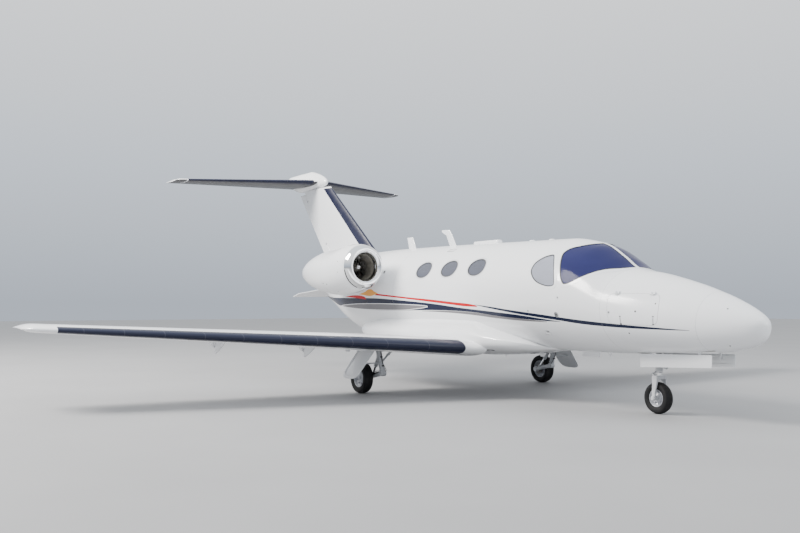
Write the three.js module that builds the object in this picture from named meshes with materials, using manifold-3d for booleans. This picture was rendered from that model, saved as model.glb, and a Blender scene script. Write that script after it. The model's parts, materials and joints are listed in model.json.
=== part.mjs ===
// Twin-engined light business jet, parked on its landing gear.
// Millimetres. +X points forward, +Y to port, +Z up. The origin lies on the ground,
// below the middle of the aircraft's bounding box. Stations count aft from the nose tip.
import * as THREE from 'three';
import { mergeVertices } from 'three/addons/utils/BufferGeometryUtils.js';
import Module from 'manifold-3d';

const wasm = await Module();
wasm.setup();

// Overall sizes of the aircraft
const overallLength = 12370;
const noseX = overallLength / 2;

// Clearances
const seam = 0.3;
const doorGap = 6;
const surfaceGap = 5;

// Fuselage
const ringSides = 24;
const bulletSides = 16;
const radomeEnd = 630;
const noseEnd = 1840;
const cabinEnd = 6500;
const wallThickness = 65;
const bulkheadThickness = 65;
const tailWall = 22;
const tailBulkhead = 25;
const tailConeSolid = 10400;
// Each row: station, crown height, keel height, half width, height of the widest place
const hullRows = [
  [0, 1108, 1092, 8, 1100],
  [8, 1138, 1048, 46, 1098],
  [30, 1180, 985, 92, 1095],
  [80, 1225, 925, 150, 1092],
  [160, 1275, 878, 212, 1090],
  [330, 1362, 830, 305, 1092],
  [630, 1482, 778, 425, 1105],
  [1000, 1600, 750, 542, 1140],
  [1480, 1720, 731, 650, 1210],
  [1840, 1787, 722, 706, 1280],
  [2090, 1950, 716, 734, 1340],
  [2370, 2112, 711, 752, 1400],
  [2630, 2178, 709, 762, 1440],
  [2950, 2228, 708, 766, 1470],
  [3620, 2240, 708, 768, 1478],
  [6500, 2285, 715, 768, 1495],
  [7300, 2290, 728, 762, 1520],
  [7800, 2282, 755, 740, 1550],
  [8230, 2270, 810, 700, 1585],
  [8700, 2255, 950, 630, 1650],
  [9300, 2240, 1212, 505, 1760],
  [9800, 2225, 1392, 375, 1850],
  [10300, 2205, 1575, 240, 1930],
  [10700, 2180, 1750, 130, 1985],
  [10950, 2140, 1930, 40, 2050],
];

// Fairing where the wing passes under the fuselage
const fairingRows = [
  [3000, 850, 745, 200, 790],
  [3350, 890, 690, 560, 800],
  [3700, 930, 645, 720, 825],
  [3950, 940, 612, 790, 840],
  [4200, 1130, 592, 840, 855],
  [4500, 1265, 588, 850, 860],
  [6300, 1290, 585, 850, 860],
  [6900, 1230, 620, 800, 870],
  [7400, 1120, 680, 680, 880],
  [7900, 960, 760, 380, 860],
];

// Wing: measured at the leading edge, one row a side, mirrored for the other
const wing = {
  rootY: 780, tipY: 6400,
  leadingAtRoot: 4141, leadingSweep: 0.2704,
  heightAtRoot: 708, dihedral: 0.0556,
  rootChord: 1980, tipChord: 905,
  rootThickness: 0.14, tipThickness: 0.12,
  camber: 0.018, rootIncidence: 1.6, tipIncidence: -0.6,
};
const flap = { innerY: 990, outerY: 4120, front: 0.735, endGap: 24 };
const aileron = { innerY: 4190, outerY: 6130, hinge: 0.75, endGap: 14 };
const flapFairing = { places: [2700, 4000], ahead: 430, behind: 330, drop: 150, halfWidth: 20, pin: 7 };

// Tail
const fin = {
  baseZ: 2000, topZ: 3700,
  baseLeading: 7905, topLeading: 10105,
  baseTrailing: 10053, topTrailing: 11535,
  baseThickness: 170, topThickness: 118,
};
const rudder = {
  bottomZ: 2330, topZ: 3630, lowHinge: [10035, 2330], highHinge: [11205, 3630], radii: [33, 27],
};
const tailplane = {
  rootY: 60, tipY: 2460, endY: 2650, height: 3838,
  rootLeading: 10505, tipLeading: 11610, rootTrailing: 12000, tipTrailing: 12345,
  rootThickness: 0.092, tipThickness: 0.085,
};
const elevator = { innerY: 165, rootHinge: 11640, tipHinge: 12110, endGap: 12, behind: 11400 };
const bulletRows = [
  [10260, 3812, 3790, 12, 3800],
  [10320, 3885, 3752, 46, 3810],
  [10500, 3972, 3722, 82, 3830],
  [10750, 4050, 3706, 110, 3850],
  [10960, 4090, 3700, 122, 3860],
  [11400, 4090, 3700, 120, 3870],
  [11700, 4088, 3765, 96, 3920],
  [11900, 4084, 3880, 60, 3985],
  [12020, 4074, 4010, 18, 4042],
];
const strake = {
  root: [9080, 10000], tip: [9760, 10060], reach: 430, rootY: 380, low: 1430, thickness: 16,
};

// Engines
const engine = { y: 1200, z: 1940, inlet: 6590 };
const cowl = {
  sides: 20,
  outer: [[0, 285], [20, 318], [90, 355], [400, 398], [900, 410], [1350, 392], [1750, 338], [2040, 272]],
  inner: [[2040, 262], [1600, 330], [700, 345], [430, 240], [330, 236], [110, 216], [20, 248]],
};
const fan = {
  station: 392, depth: 70, radius: 226, hub: 80, blades: 10,
  blade: { thickness: 7, twist: 0.75, sunk: 14 },
};
const core = { front: 500, radius: 205, back: 1560, coneEnd: 1880, neck: 0.6 };
const engineStrut = { at: 900, thick: 22, reach: 420, count: 3 };

// Landing gear
const mainWheel = { station: 5751, y: 1775, radius: 235, width: 160, rim: 120 };
const noseWheel = { station: 1563, radius: 195, width: 125, rim: 92 };
const noseStrut = { station: 1545, radius: 44, top: 985, bottom: 520, braceRun: 420 };
const fork = { crownZ: 455, legHalf: 92, legThickness: 22, axleReach: 114, piston: 32 };
const wheelSides = 24;

// Jacking pads: round, flat below, one under each wing and one behind the nose wheel well
const jackPad = { wing: [5330, 2250, 655], nose: [1790, 0, 704], radius: 32, depth: 90 };

const station = (s) => noseX - s;

// Geometry and solids

function solidOf(geometry) {
  const bare = new THREE.BufferGeometry();
  bare.setAttribute('position', geometry.getAttribute('position'));
  if (geometry.index) bare.setIndex(geometry.index);
  const merged = mergeVertices(bare, 1e-3);
  const triVerts = Uint32Array.from(merged.index.array);
  const vertProperties = Float32Array.from(merged.getAttribute('position').array);
  if (signedVolume(vertProperties, triVerts) < 0) {
    for (let i = 0; i < triVerts.length; i += 3) {
      [triVerts[i], triVerts[i + 1]] = [triVerts[i + 1], triVerts[i]];
    }
  }
  return new wasm.Manifold(new wasm.Mesh({ numProp: 3, vertProperties, triVerts }));
}

function signedVolume(points, triangles) {
  const corners = [new THREE.Vector3(), new THREE.Vector3(), new THREE.Vector3()];
  let sum = 0;
  for (let i = 0; i < triangles.length; i += 3) {
    corners.forEach((corner, k) => corner.fromArray(points, 3 * triangles[i + k]));
    sum += corners[0].dot(corners[1].cross(corners[2]));
  }
  return sum / 6;
}

function geometryOf(solid) {
  const mesh = solid.getMesh();
  const geometry = new THREE.BufferGeometry();
  geometry.setAttribute('position', new THREE.BufferAttribute(mesh.vertProperties, 3));
  geometry.setIndex(new THREE.BufferAttribute(mesh.triVerts, 1));
  geometry.computeVertexNormals();
  return geometry;
}

function mirrored(solid) {
  const geometry = geometryOf(solid);
  geometry.scale(1, -1, 1);
  return solidOf(geometry);
}

function union(...solids) {
  return solids.reduce((sum, next) => sum.add(next));
}

// A closed skin through rings of equal length, with both ends capped.
// Its diagonals mirror each other across the middle plane, so that both sides match.
function loft(rings) {
  const sides = rings[0].length;
  const points = rings.flat();
  const triangles = [];
  for (let r = 0; r + 1 < rings.length; r += 1) {
    for (let i = 0; i < sides; i += 1) {
      const j = (i + 1) % sides;
      const [a, b] = [r * sides + i, r * sides + j];
      const starboard = points[a].y + points[b].y < 0;
      if (starboard) triangles.push(a, b, a + sides, b, b + sides, a + sides);
      else triangles.push(a, b, b + sides, a, b + sides, a + sides);
    }
  }
  for (const first of [0, (rings.length - 1) * sides]) {
    const centre = points.length;
    const middle = new THREE.Vector3();
    for (let i = 0; i < sides; i += 1) middle.addScaledVector(points[first + i], 1 / sides);
    points.push(middle);
    for (let i = 0; i < sides; i += 1) {
      const pair = [first + i, first + ((i + 1) % sides)];
      if (first === 0) pair.reverse();
      triangles.push(pair[0], pair[1], centre);
    }
  }
  const geometry = new THREE.BufferGeometry().setFromPoints(points);
  geometry.setIndex(triangles);
  return solidOf(geometry);
}

function box(low, high) {
  const size = high.map((value, k) => value - low[k]);
  const geometry = new THREE.BoxGeometry(...size);
  geometry.translate(...low.map((value, k) => value + size[k] / 2));
  return solidOf(geometry);
}

// A cylinder or cone from one point to another
function rod(from, to, radius, endRadius = radius, sides = 8) {
  const start = new THREE.Vector3(...from);
  const end = new THREE.Vector3(...to);
  const along = end.clone().sub(start);
  const geometry = new THREE.CylinderGeometry(endRadius, radius, along.length(), sides);
  geometry.applyQuaternion(new THREE.Quaternion().setFromUnitVectors(
    new THREE.Vector3(0, 1, 0), along.clone().normalize()));
  geometry.translate(...start.add(end).multiplyScalar(0.5));
  return solidOf(geometry);
}

// A plate from an outline in station and height, between two values of Y
function sidePrism(outline, lowY, highY) {
  const shape = new THREE.Shape(outline.map(([s, z]) => new THREE.Vector2(station(s), z)));
  const geometry = new THREE.ExtrudeGeometry(shape, { depth: highY - lowY, bevelEnabled: false });
  geometry.rotateX(Math.PI / 2);
  geometry.translate(0, highY, 0);
  return solidOf(geometry);
}

// A block from an outline in station and Y, between two heights
function planPrism(outline, lowZ, highZ) {
  const shape = new THREE.Shape(outline.map(([s, y]) => new THREE.Vector2(station(s), y)));
  const geometry = new THREE.ExtrudeGeometry(shape, { depth: highZ - lowZ, bevelEnabled: false });
  geometry.translate(0, 0, lowZ);
  return solidOf(geometry);
}

function oval([s, z], length, height, sides = 12, power = 2.6) {
  return Array.from({ length: sides }, (unused, i) => {
    const t = (2 * Math.PI * i) / sides;
    const [c, n] = [Math.cos(t), Math.sin(t)];
    const shape = (v) => Math.sign(v) * Math.abs(v) ** (2 / power);
    return [s + (length / 2) * shape(c), z + (height / 2) * shape(n)];
  });
}

// A solid turned about the X axis, from rows of distance aft and radius
function turnedAlongX(rows, s, y, z, sides) {
  const profile = rows.map(([a, r]) => new THREE.Vector2(r, -a));
  const geometry = new THREE.LatheGeometry(profile, sides);
  geometry.rotateZ(-Math.PI / 2);
  geometry.translate(station(s), y, z);
  return solidOf(geometry);
}

// A wheel part turned about the Y axis, with a flat facet at the bottom
function turnedAlongY(rows, s, y, z, sides = wheelSides) {
  const profile = rows.map(([r, side]) => new THREE.Vector2(r, side));
  const geometry = new THREE.LatheGeometry(profile, sides, Math.PI / sides);
  geometry.translate(station(s), y, z);
  return solidOf(geometry);
}

// Fuselage sections

function rowAt(rows, s) {
  const next = rows.findIndex((row) => row[0] > s);
  if (next < 0) return rows[rows.length - 1];
  if (next === 0) return rows[0];
  const [before, after] = [rows[next - 1], rows[next]];
  const part = (s - before[0]) / (after[0] - before[0]);
  return before.map((value, k) => value + part * (after[k] - value));
}

function ring(row, grow, sides) {
  const [s, crown, keel, half, waist] = row;
  return Array.from({ length: sides }, (unused, i) => {
    const t = (2 * Math.PI * i) / sides;
    const rise = Math.sin(t) > 0 ? crown + grow - waist : waist - keel + grow;
    return new THREE.Vector3(station(s), (half + grow) * Math.cos(t), waist + rise * Math.sin(t));
  });
}

function body(rows, grow = 0, sides = ringSides) {
  const kept = rows.filter((row) => row[3] + grow > 4);
  return loft(kept.map((row) => ring(row, grow, sides)));
}

// The whole fuselage shape, grown or shrunk, between two stations
function hull(grow, from = -100, to = overallLength) {
  return body(hullRows, grow).intersect(box([station(to), -900, 0], [station(from), 900, 3000]));
}

const bullet = (grow) => body(bulletRows, grow, bulletSides);

// Width of the fuselage at a station and height
function hullHalf(s, z) {
  const [, crown, keel, half, waist] = rowAt(hullRows, s);
  const rise = z > waist ? crown - waist : waist - keel;
  return half * Math.sqrt(Math.max(0, 1 - ((z - waist) / rise) ** 2));
}

// Directions on the skin at a hatch's centre: aft along it, outward and up
function hatchFrame({ s, z }, side) {
  const skin = (atS, atZ) => new THREE.Vector3(station(atS), side * hullHalf(atS, atZ), atZ);
  const aft = skin(s + 50, z).sub(skin(s - 50, z)).normalize();
  const rise = skin(s, z + 20).sub(skin(s, z - 20)).normalize();
  const outward = new THREE.Vector3().crossVectors(aft, rise).multiplyScalar(side).normalize();
  const up = new THREE.Vector3().crossVectors(outward, aft).multiplyScalar(side).normalize();
  return { centre: skin(s, z), aft, outward, up };
}

function onFrame({ centre, aft, outward, up }, along, out, rise) {
  return centre.clone()
    .addScaledVector(aft, along)
    .addScaledVector(outward, out)
    .addScaledVector(up, rise);
}

// How far the skin lies outside the hatch's own plane
function skinRise(frame, along, rise) {
  let [low, high] = [-250, 250];
  for (let i = 0; i < 24; i += 1) {
    const middle = (low + high) / 2;
    const point = onFrame(frame, along, middle, rise);
    const inside = Math.abs(point.y) < hullHalf(noseX - point.x, point.z);
    if (inside) low = middle;
    else high = middle;
  }
  return low;
}

// A block that narrows inwards, so that the edges of a hatch clear as it swings out
function hatchBlock(door, side, margin) {
  const frame = hatchFrame(door, side);
  const rings = [-hatch.inner, hatch.outer].map((depth) => {
    const spread = margin + depth * hatch.lean;
    return roundedRectangle(door.length / 2 + spread, door.height / 2 + spread, door.corner + spread)
      .map(([u, v]) => onFrame(frame, u, depth, v));
  });
  return loft(rings);
}

function roundedRectangle(halfLength, halfHeight, corner) {
  const points = [];
  const radius = Math.max(corner, 8);
  const quarters = [[1, 1, 0], [-1, 1, 1], [-1, -1, 2], [1, -1, 3]];
  for (const [a, b, quarter] of quarters) {
    for (let k = 0; k <= 2; k += 1) {
      const t = (quarter + k / 2) * (Math.PI / 2);
      points.push([
        a * (halfLength - radius) + radius * Math.cos(t),
        b * (halfHeight - radius) + radius * Math.sin(t),
      ]);
    }
  }
  return points;
}

const hatch = { inner: 320, outer: 160, lean: 0.34 };

// Hinge knuckles outside the skin: the moving one between two fixed ones
const knuckle = { radius: 12, stand: 16, length: 44, side: 30, reach: 62, sink: 40, seat: 12 };

function hingeBlock(point, axis, outward, towards, from, to) {
  const centre = (offset) => point.clone().addScaledVector(axis, offset);
  const pin = rod(centre(from).toArray(), centre(to).toArray(), knuckle.radius, knuckle.radius, 8);
  const corners = [];
  for (const reach of [0, knuckle.reach]) {
    const at = (along, out) => centre(along)
      .addScaledVector(towards, reach).addScaledVector(outward, out);
    const top = knuckle.radius * 0.8;
    corners.push([at(from, top), at(to, top), at(to, -knuckle.sink), at(from, -knuckle.sink)]);
  }
  return union(pin, loft(corners));
}

function hinged(fixed, moving, { point, axis, outward, towards }, doorway, plug) {
  const { length, side } = knuckle;
  const away = towards.clone().negate();
  const near = length / 2 + seam;
  const ends = [[-near - side, -near], [near, near + side]];
  const deep = hull(-knuckle.seat);
  const skin = hull(3);
  const movingPart = hingeBlock(point, axis, outward, towards, -length / 2, length / 2)
    .subtract(union(deep, skin.subtract(plug)));
  const fixedParts = ends.map(([from, to]) => hingeBlock(point, axis, outward, away, from, to)
    .subtract(union(deep, skin.intersect(doorway))));
  return [union(fixed, ...fixedParts), union(moving, movingPart)];
}

// Windows: rows of name, side, and outline in station and height
const windowDepth = { outer: 4, inner: 26 };
const paneGap = 0.4;
const cabinWindow = { length: 392, height: 248, z: 1868, stations: [4355, 5035, 5715] };
const doorWindow = { station: 3600, length: 350, height: 248, z: 1868 };
const cockpitSide = [
  [2655, 1575], [2780, 1572], [2960, 1600], [3075, 1670], [3125, 1760], [3110, 1850],
  [3030, 1930], [2900, 1975], [2790, 1985], [2700, 1975], [2672, 1800],
];
const windscreen = [
  [1925, 1772], [2130, 1700], [2330, 1630], [2470, 1592], [2560, 1600], [2590, 1760],
  [2610, 1930], [2585, 1990], [2480, 2085], [2365, 2160], [2240, 2120], [2080, 2010], [1905, 1860],
];
const windscreenPost = 26;

function shrunk(outline, gap) {
  const centre = [0, 1].map((k) => outline.reduce((sum, p) => sum + p[k], 0) / outline.length);
  return outline.map((p) => {
    const reach = Math.hypot(p[0] - centre[0], p[1] - centre[1]);
    return p.map((value, k) => centre[k] + (value - centre[k]) * (1 - (2 * gap) / reach));
  });
}

function paneLayer(from, to) {
  return hull(-windowDepth.outer, from, to).subtract(hull(-windowDepth.inner, from, to));
}

// Which window sits where: outline, nearest and farthest Y from the middle plane
const windowTable = [];
for (const side of [-1, 1]) {
  const word = side < 0 ? 'right' : 'left';
  windowTable.push([`windshield_${word}`, side, windscreen, windscreenPost, 1000]);
  windowTable.push([`cockpit_window_${word}`, side, cockpitSide, 300, 1000]);
  cabinWindow.stations.forEach((s, i) => {
    const outline = oval([s, cabinWindow.z], cabinWindow.length, cabinWindow.height);
    windowTable.push([`cabin_window_${word}_${i + 1}`, side, outline, 300, 1000]);
  });
}
const doorOutline = oval([doorWindow.station, doorWindow.z], doorWindow.length, doorWindow.height);
const doorPane = ['door_window', 1, doorOutline, 300, 1000];

function windowPrism([, side, outline, near, far], gap) {
  const [low, high] = side > 0 ? [near + gap, far] : [-far, -near - gap];
  return sidePrism(gap > 0 ? shrunk(outline, gap) : outline, low, high);
}

function pane(row) {
  const stations = row[2].map((p) => p[0]);
  const layer = paneLayer(Math.min(...stations) - 60, Math.max(...stations) + 60);
  return layer.intersect(windowPrism(row, paneGap));
}

// Doors: centre, length, height, corner radius, hinged edge and places of the two hinges
const entryDoor = {
  s: 3600, z: 1520, length: 640, height: 1130, corner: 110, edge: 'front', hinges: [-180, 140],
};
const noseDoor = {
  s: 1400, z: 1290, length: 680, height: 400, corner: 50, edge: 'top', hinges: [-230, 230],
};
const baggageDoor = {
  s: 7640, z: 1180, length: 600, height: 380, corner: 60, edge: 'front', hinges: [-95, 95],
};
const hatchWall = { entry: wallThickness, nose: 36, baggage: tailWall };

function hatchPanel(door, side, thickness) {
  return hull(0).subtract(hull(-thickness)).intersect(hatchBlock(door, side, 0));
}

// Fuselage pieces

const noseWell = { from: 575, to: 1740, half: 186, top: 1010 };
const noseBay = { from: 1095, to: 1705, low: 1115, high: 1465, half: 470 };

function wellBlock() {
  const { from, to, half, top } = noseWell;
  return box([station(to), -half, 400], [station(from), half, top]);
}

function jackPadSolid([s, y, low]) {
  const { radius, depth } = jackPad;
  return rod([station(s), y, low], [station(s), y, low + depth], radius, radius, 16);
}

function buildNose() {
  const bay = box([station(noseBay.to), -900, noseBay.low], [station(noseBay.from), 900, noseBay.high]);
  let shell = hull(0, radomeEnd + seam, noseEnd - seam).subtract(wellBlock());
  shell = shell.subtract(bay.intersect(hull(-hatchWall.nose, radomeEnd, noseEnd)));
  const rim = hull(50).subtract(hull(-hatchWall.nose - 4));
  shell = union(shell, jackPadSolid(jackPad.nose));
  const doors = {};
  for (const side of [-1, 1]) {
    shell = shell.subtract(hatchBlock(noseDoor, side, doorGap).intersect(rim));
    [shell, doors[side]] = hungDoor(shell, hatchPanel(noseDoor, side, hatchWall.nose), noseDoor, side);
  }
  return { shell, doors };
}

// The line that a door turns about, outside the skin along its hinged edge
function hingeLine(door, side) {
  const frame = hatchFrame(door, side);
  const places = door.hinges.map((offset) => (
    door.edge === 'top' ? [offset, door.height / 2 + 2] : [-door.length / 2 - 2, offset]));
  const points = places.map(([along, up]) => {
    const lean = hatch.lean * skinRise(frame, along, up);
    const [edge, top] = door.edge === 'top' ? [along, up + lean] : [along - lean, up];
    return onFrame(frame, edge, skinRise(frame, edge, top) + knuckle.stand, top);
  });
  const axis = points[1].clone().sub(points[0]).normalize();
  const outward = frame.outward.clone().addScaledVector(axis, -axis.dot(frame.outward)).normalize();
  const towards = new THREE.Vector3().crossVectors(axis, outward);
  const inwards = door.edge === 'top' ? frame.up.clone().negate() : frame.aft;
  if (towards.dot(inwards) < 0) towards.negate();
  return { points, axis, towards, outward };
}

function hungDoor(shell, panel, door, side) {
  const { points, axis, towards, outward } = hingeLine(door, side);
  const [doorway, plug] = [hatchBlock(door, side, doorGap), hatchBlock(door, side, 0)];
  let pair = [shell, panel];
  for (const point of points) pair = hinged(...pair, { point, axis, outward, towards }, doorway, plug);
  return pair;
}

function buildCabin() {
  let shell = hull(0, noseEnd, cabinEnd - seam)
    .subtract(hull(-wallThickness, noseEnd + bulkheadThickness, cabinEnd - bulkheadThickness));
  for (const row of windowTable) shell = shell.subtract(windowPrism(row, 0));
  shell = shell.subtract(hatchBlock(entryDoor, 1, doorGap));
  let door = hatchPanel(entryDoor, 1, hatchWall.entry);
  door = door.subtract(windowPrism(doorPane, 0));
  [shell, door] = hungDoor(shell, door, entryDoor, 1);
  return { shell, door };
}

function buildTail() {
  const skin = hull(0, cabinEnd + seam, 10950);
  let shell = skin.subtract(hull(-tailWall, cabinEnd + tailBulkhead, tailConeSolid));
  shell = shell.subtract(hatchBlock(baggageDoor, 1, doorGap));
  let door = hatchPanel(baggageDoor, 1, hatchWall.baggage);
  [shell, door] = hungDoor(shell, door, baggageDoor, 1);
  return { shell: union(shell, ...[-1, 1].map(strakeSolid)), door };
}

function strakeSolid(side) {
  const { root, tip, reach, rootY, low, thickness } = strake;
  const outline = [[root[0], side * rootY * 0.6], [root[1], side * rootY * 0.3],
    [tip[1], side * (rootY + reach)], [tip[0], side * (rootY + reach)]];
  const plate = planPrism(side > 0 ? outline : outline.reverse(), low, low + thickness);
  return plate.subtract(hull(-tailWall / 2, 9000, 10300));
}

// Lifting surfaces

function aerofoil(thickness, camber, count = 7) {
  const upper = [];
  const lower = [];
  for (let i = 0; i <= count; i += 1) {
    const c = 0.5 * (1 - Math.cos((Math.PI * i) / count));
    const half = 5 * thickness * (0.2969 * Math.sqrt(c) - 0.126 * c - 0.3516 * c ** 2
      + 0.2843 * c ** 3 - 0.1015 * c ** 4);
    const middle = 4 * camber * c * (1 - c);
    upper.push([c, middle + half + 0.001 * c]);
    lower.push([c, middle - half - 0.001 * c]);
  }
  return [...upper.reverse(), ...lower.slice(1)];
}

function wingSection(y) {
  const part = (y - wing.rootY) / (wing.tipY - wing.rootY);
  const blend = (a, b) => a + (b - a) * part;
  return {
    y,
    leading: wing.leadingAtRoot + (y - wing.rootY) * wing.leadingSweep,
    z: wing.heightAtRoot + (y - wing.rootY) * wing.dihedral,
    chord: blend(wing.rootChord, wing.tipChord),
    thickness: blend(wing.rootThickness, wing.tipThickness),
    incidence: THREE.MathUtils.degToRad(blend(wing.rootIncidence, wing.tipIncidence)),
  };
}

function chordPoint(section, c, z) {
  const drop = Math.sin(section.incidence);
  return [section.leading + section.chord * c, section.y, section.z + section.chord * (z - c * drop)];
}

function wingRing(section, camber = wing.camber) {
  return aerofoil(section.thickness, camber).map(([c, z]) => {
    const [s, y, height] = chordPoint(section, c, z);
    return new THREE.Vector3(station(s), y, height);
  });
}

const wingTipRows = [[80, 0.97, 0.88], [140, 0.84, 0.52], [180, 0.6, 0.12]];

function wingSolid() {
  const tip = wingSection(wing.tipY);
  const rounded = wingTipRows.map(([out, part, thick]) => {
    const section = wingSection(wing.tipY + out);
    return {
      ...section,
      chord: tip.chord * part,
      leading: section.leading + tip.chord * (1 - part) * 0.55,
      thickness: (tip.thickness * thick) / part,
    };
  });
  const sections = [wingSection(wing.rootY), tip, ...rounded];
  return loft(sections.map((section) => wingRing(section)));
}

// Heights of the lower and upper skin at a chord fraction, as fractions of the chord
function profileAt({ thickness }, camber, fraction) {
  const points = aerofoil(thickness, camber);
  const middle = (points.length - 1) / 2;
  return [points.slice(middle), points.slice(0, middle + 1).reverse()].map((row) => {
    const next = row.findIndex(([c]) => c > fraction);
    const [before, after] = [row[next - 1], row[next]];
    return before[1] + ((fraction - before[0]) / (after[0] - before[0])) * (after[1] - before[1]);
  });
}

function halfThickness(section, fraction) {
  const [low, high] = profileAt(section, 0, fraction);
  return (section.chord * (high - low)) / 2;
}

// Lower and upper point of the wing's skin at a chord fraction
function wingSkin(y, fraction) {
  const part = (y - wing.rootY) / (wing.tipY - wing.rootY);
  const [root, tip] = [wing.rootY, wing.tipY].map((end) => {
    const section = wingSection(end);
    return profileAt(section, wing.camber, fraction).map((z) => chordPoint(section, fraction, z));
  });
  return root.map((point, side) => point.map((value, k) => value + part * (tip[side][k] - value)));
}

// The line at a chord fraction, half way between the upper and lower skin
function linePoint(y, fraction) {
  const [low, high] = wingSkin(y, fraction);
  return [station(low[0]), y, (low[2] + high[2]) / 2];
}

function wingHalfThickness(y, fraction) {
  const [low, high] = wingSkin(y, fraction);
  return (high[2] - low[2]) / 2;
}

// Hinge brackets of the control surfaces: half width, clearance of the notch, reach into the root
const bracket = { half: 20, clear: 9, root: 27 };

// Cuts a control surface with a round nose out of a lifting surface
function hingedSurface(whole, from, to, radii, aftBlock, aftInner, brackets) {
  const cove = rod(from.outer, to.outer, radii[0] + surfaceGap, radii[1] + surfaceGap, 16);
  const nose = rod(from.inner, to.inner, radii[0], radii[1], 16);
  let fixed = whole.subtract(union(aftBlock, cove));
  let moving = whole.intersect(union(aftInner, nose));
  const start = new THREE.Vector3(...from.inner);
  const end = new THREE.Vector3(...to.inner);
  const axis = end.clone().sub(start).normalize();
  const forward = new THREE.Vector3(1, 0, 0).addScaledVector(axis, -axis.x).normalize();
  const up = new THREE.Vector3().crossVectors(axis, forward).normalize();
  const { half, clear, root } = bracket;
  for (const part of brackets) {
    const radius = radii[0] + (radii[1] - radii[0]) * part;
    const at = (offset) => start.clone().lerp(end, part).addScaledVector(axis, offset);
    const notch = [-half - seam, half + seam].map((offset) => at(offset).toArray());
    moving = moving.subtract(rod(...notch, radius + clear, radius + clear, 12));
    const pin = rod(at(-half).toArray(), at(half).toArray(), radius * 0.45, radius * 0.45);
    const arm = [-half, half].map((offset) => [[0, 1], [1, 1], [1, -1], [0, -1]].map(([f, u]) => (
      at(offset).addScaledVector(forward, f * (radius + root)).addScaledVector(up, u * radius * 0.3))));
    fixed = union(fixed, pin, loft(arm));
  }
  return { fixed, moving };
}

// Spaces in the wing for the retracted wheel and leg: plan, reference Y and roof above the mid line
const mainWell = { s: 5480, y: 1190, radius: 285, sides: 20, roof: 34 };
const legWell = { from: 5230, to: 5640, innerY: 1380, outerY: 1840, y: 1650, roof: 26 };

function wingWells() {
  const round = circle(mainWell.s, mainWell.y, mainWell.radius, mainWell.sides);
  const { from, to, innerY, outerY } = legWell;
  const trench = [[from, innerY], [to, innerY], [to, outerY], [from, outerY]];
  return union(
    planPrism(round, 300, linePoint(mainWell.y, 0.6)[2] + mainWell.roof),
    planPrism(trench, 300, linePoint(legWell.y, 0.6)[2] + legWell.roof));
}

// A block behind a swept hinge line, between two values of Y and two heights
function aftBlock(hingeAt, from, to, ahead, depth, low, high) {
  const [a, b] = [from, to].map((y) => noseX - hingeAt(y)[0]);
  return planPrism([[a - ahead, from], [a + depth, from], [b + depth, to], [b - ahead, to]], low, high);
}

function cutAileron(whole) {
  const { innerY, outerY, hinge, endGap } = aileron;
  const hingeAt = (y) => linePoint(y, hinge);
  const radii = [innerY, outerY].map((y) => wingHalfThickness(y, hinge));
  return hingedSurface(
    whole,
    { outer: hingeAt(innerY - endGap), inner: hingeAt(innerY) },
    { outer: hingeAt(outerY + endGap), inner: hingeAt(outerY) },
    radii,
    aftBlock(hingeAt, innerY - endGap, outerY + endGap, surfaceGap, 900, 400, 1500),
    aftBlock(hingeAt, innerY, outerY, 0, 900, 400, 1500),
    [0.14, 0.86]);
}

// The flap turns below the wing, about pins in the tips of two fairings
function flapPivots() {
  return flapFairing.places.map((y) => {
    const [x, , z] = linePoint(y, flap.front);
    return [x - 10, y, z - flapFairing.drop];
  });
}

function flapFairingPlates([x, y, z]) {
  const { ahead, behind, halfWidth } = flapFairing;
  const s = noseX - x;
  const skin = linePoint(y, flap.front)[2];
  const fixedOutline = [
    [s - ahead, skin - 20], [s - 14, skin - 20], [s - 14, skin - 85], [s + 14, z],
    [s, z - 20], [s - 60, z - 14], [s - ahead, skin - 60],
  ];
  const movingOutline = [
    [s + 40, skin - 12], [s - 14, z], [s, z - 20], [s + 80, z + 6],
    [s + behind, skin - 50], [s + behind, skin - 34],
  ];
  return [
    sidePrism(fixedOutline, y - halfWidth, y - surfaceGap / 2),
    sidePrism(movingOutline, y + surfaceGap / 2, y + halfWidth),
  ];
}

function flapPin(pivot, radius) {
  const [start, end] = flapPivots().map((point) => new THREE.Vector3(...point));
  const axis = end.sub(start).normalize();
  const at = (offset) => new THREE.Vector3(...pivot).addScaledVector(axis, offset).toArray();
  return rod(at(-flapFairing.halfWidth / 2), at(flapFairing.halfWidth + 4), radius, radius, 12);
}

function cutFlap(whole) {
  const hingeAt = (y) => linePoint(y, flap.front);
  const { innerY, outerY, endGap } = flap;
  let moving = whole.intersect(aftBlock(hingeAt, innerY, outerY, -doorGap, 1200, 300, 1500));
  let fixed = whole.subtract(aftBlock(hingeAt, innerY - endGap, outerY + endGap, 0, 1200, 300, 1500));
  for (const pivot of flapPivots()) {
    const [fixedPlate, movingPlate] = flapFairingPlates(pivot);
    fixed = union(fixed, fixedPlate, flapPin(pivot, flapFairing.pin));
    moving = union(moving, movingPlate).subtract(flapPin(pivot, flapFairing.pin + 2 * seam));
  }
  return { fixed, moving };
}

function buildWing() {
  const blocked = union(hull(seam, 2000, 9000), body(fairingRows, seam));
  const whole = wingSolid().subtract(union(blocked, wingWells()));
  const aileronCut = cutAileron(whole);
  const flapCut = cutFlap(aileronCut.fixed);
  return {
    fixed: union(flapCut.fixed, jackPadSolid(jackPad.wing)),
    aileron: aileronCut.moving,
    flap: flapCut.moving,
  };
}

function circle(s, y, radius, sides) {
  return Array.from({ length: sides }, (unused, i) => {
    const t = (2 * Math.PI * i) / sides;
    return [s - radius * Math.cos(t), y + radius * Math.sin(t)];
  });
}

// Fin, rudder and tailplane

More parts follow.
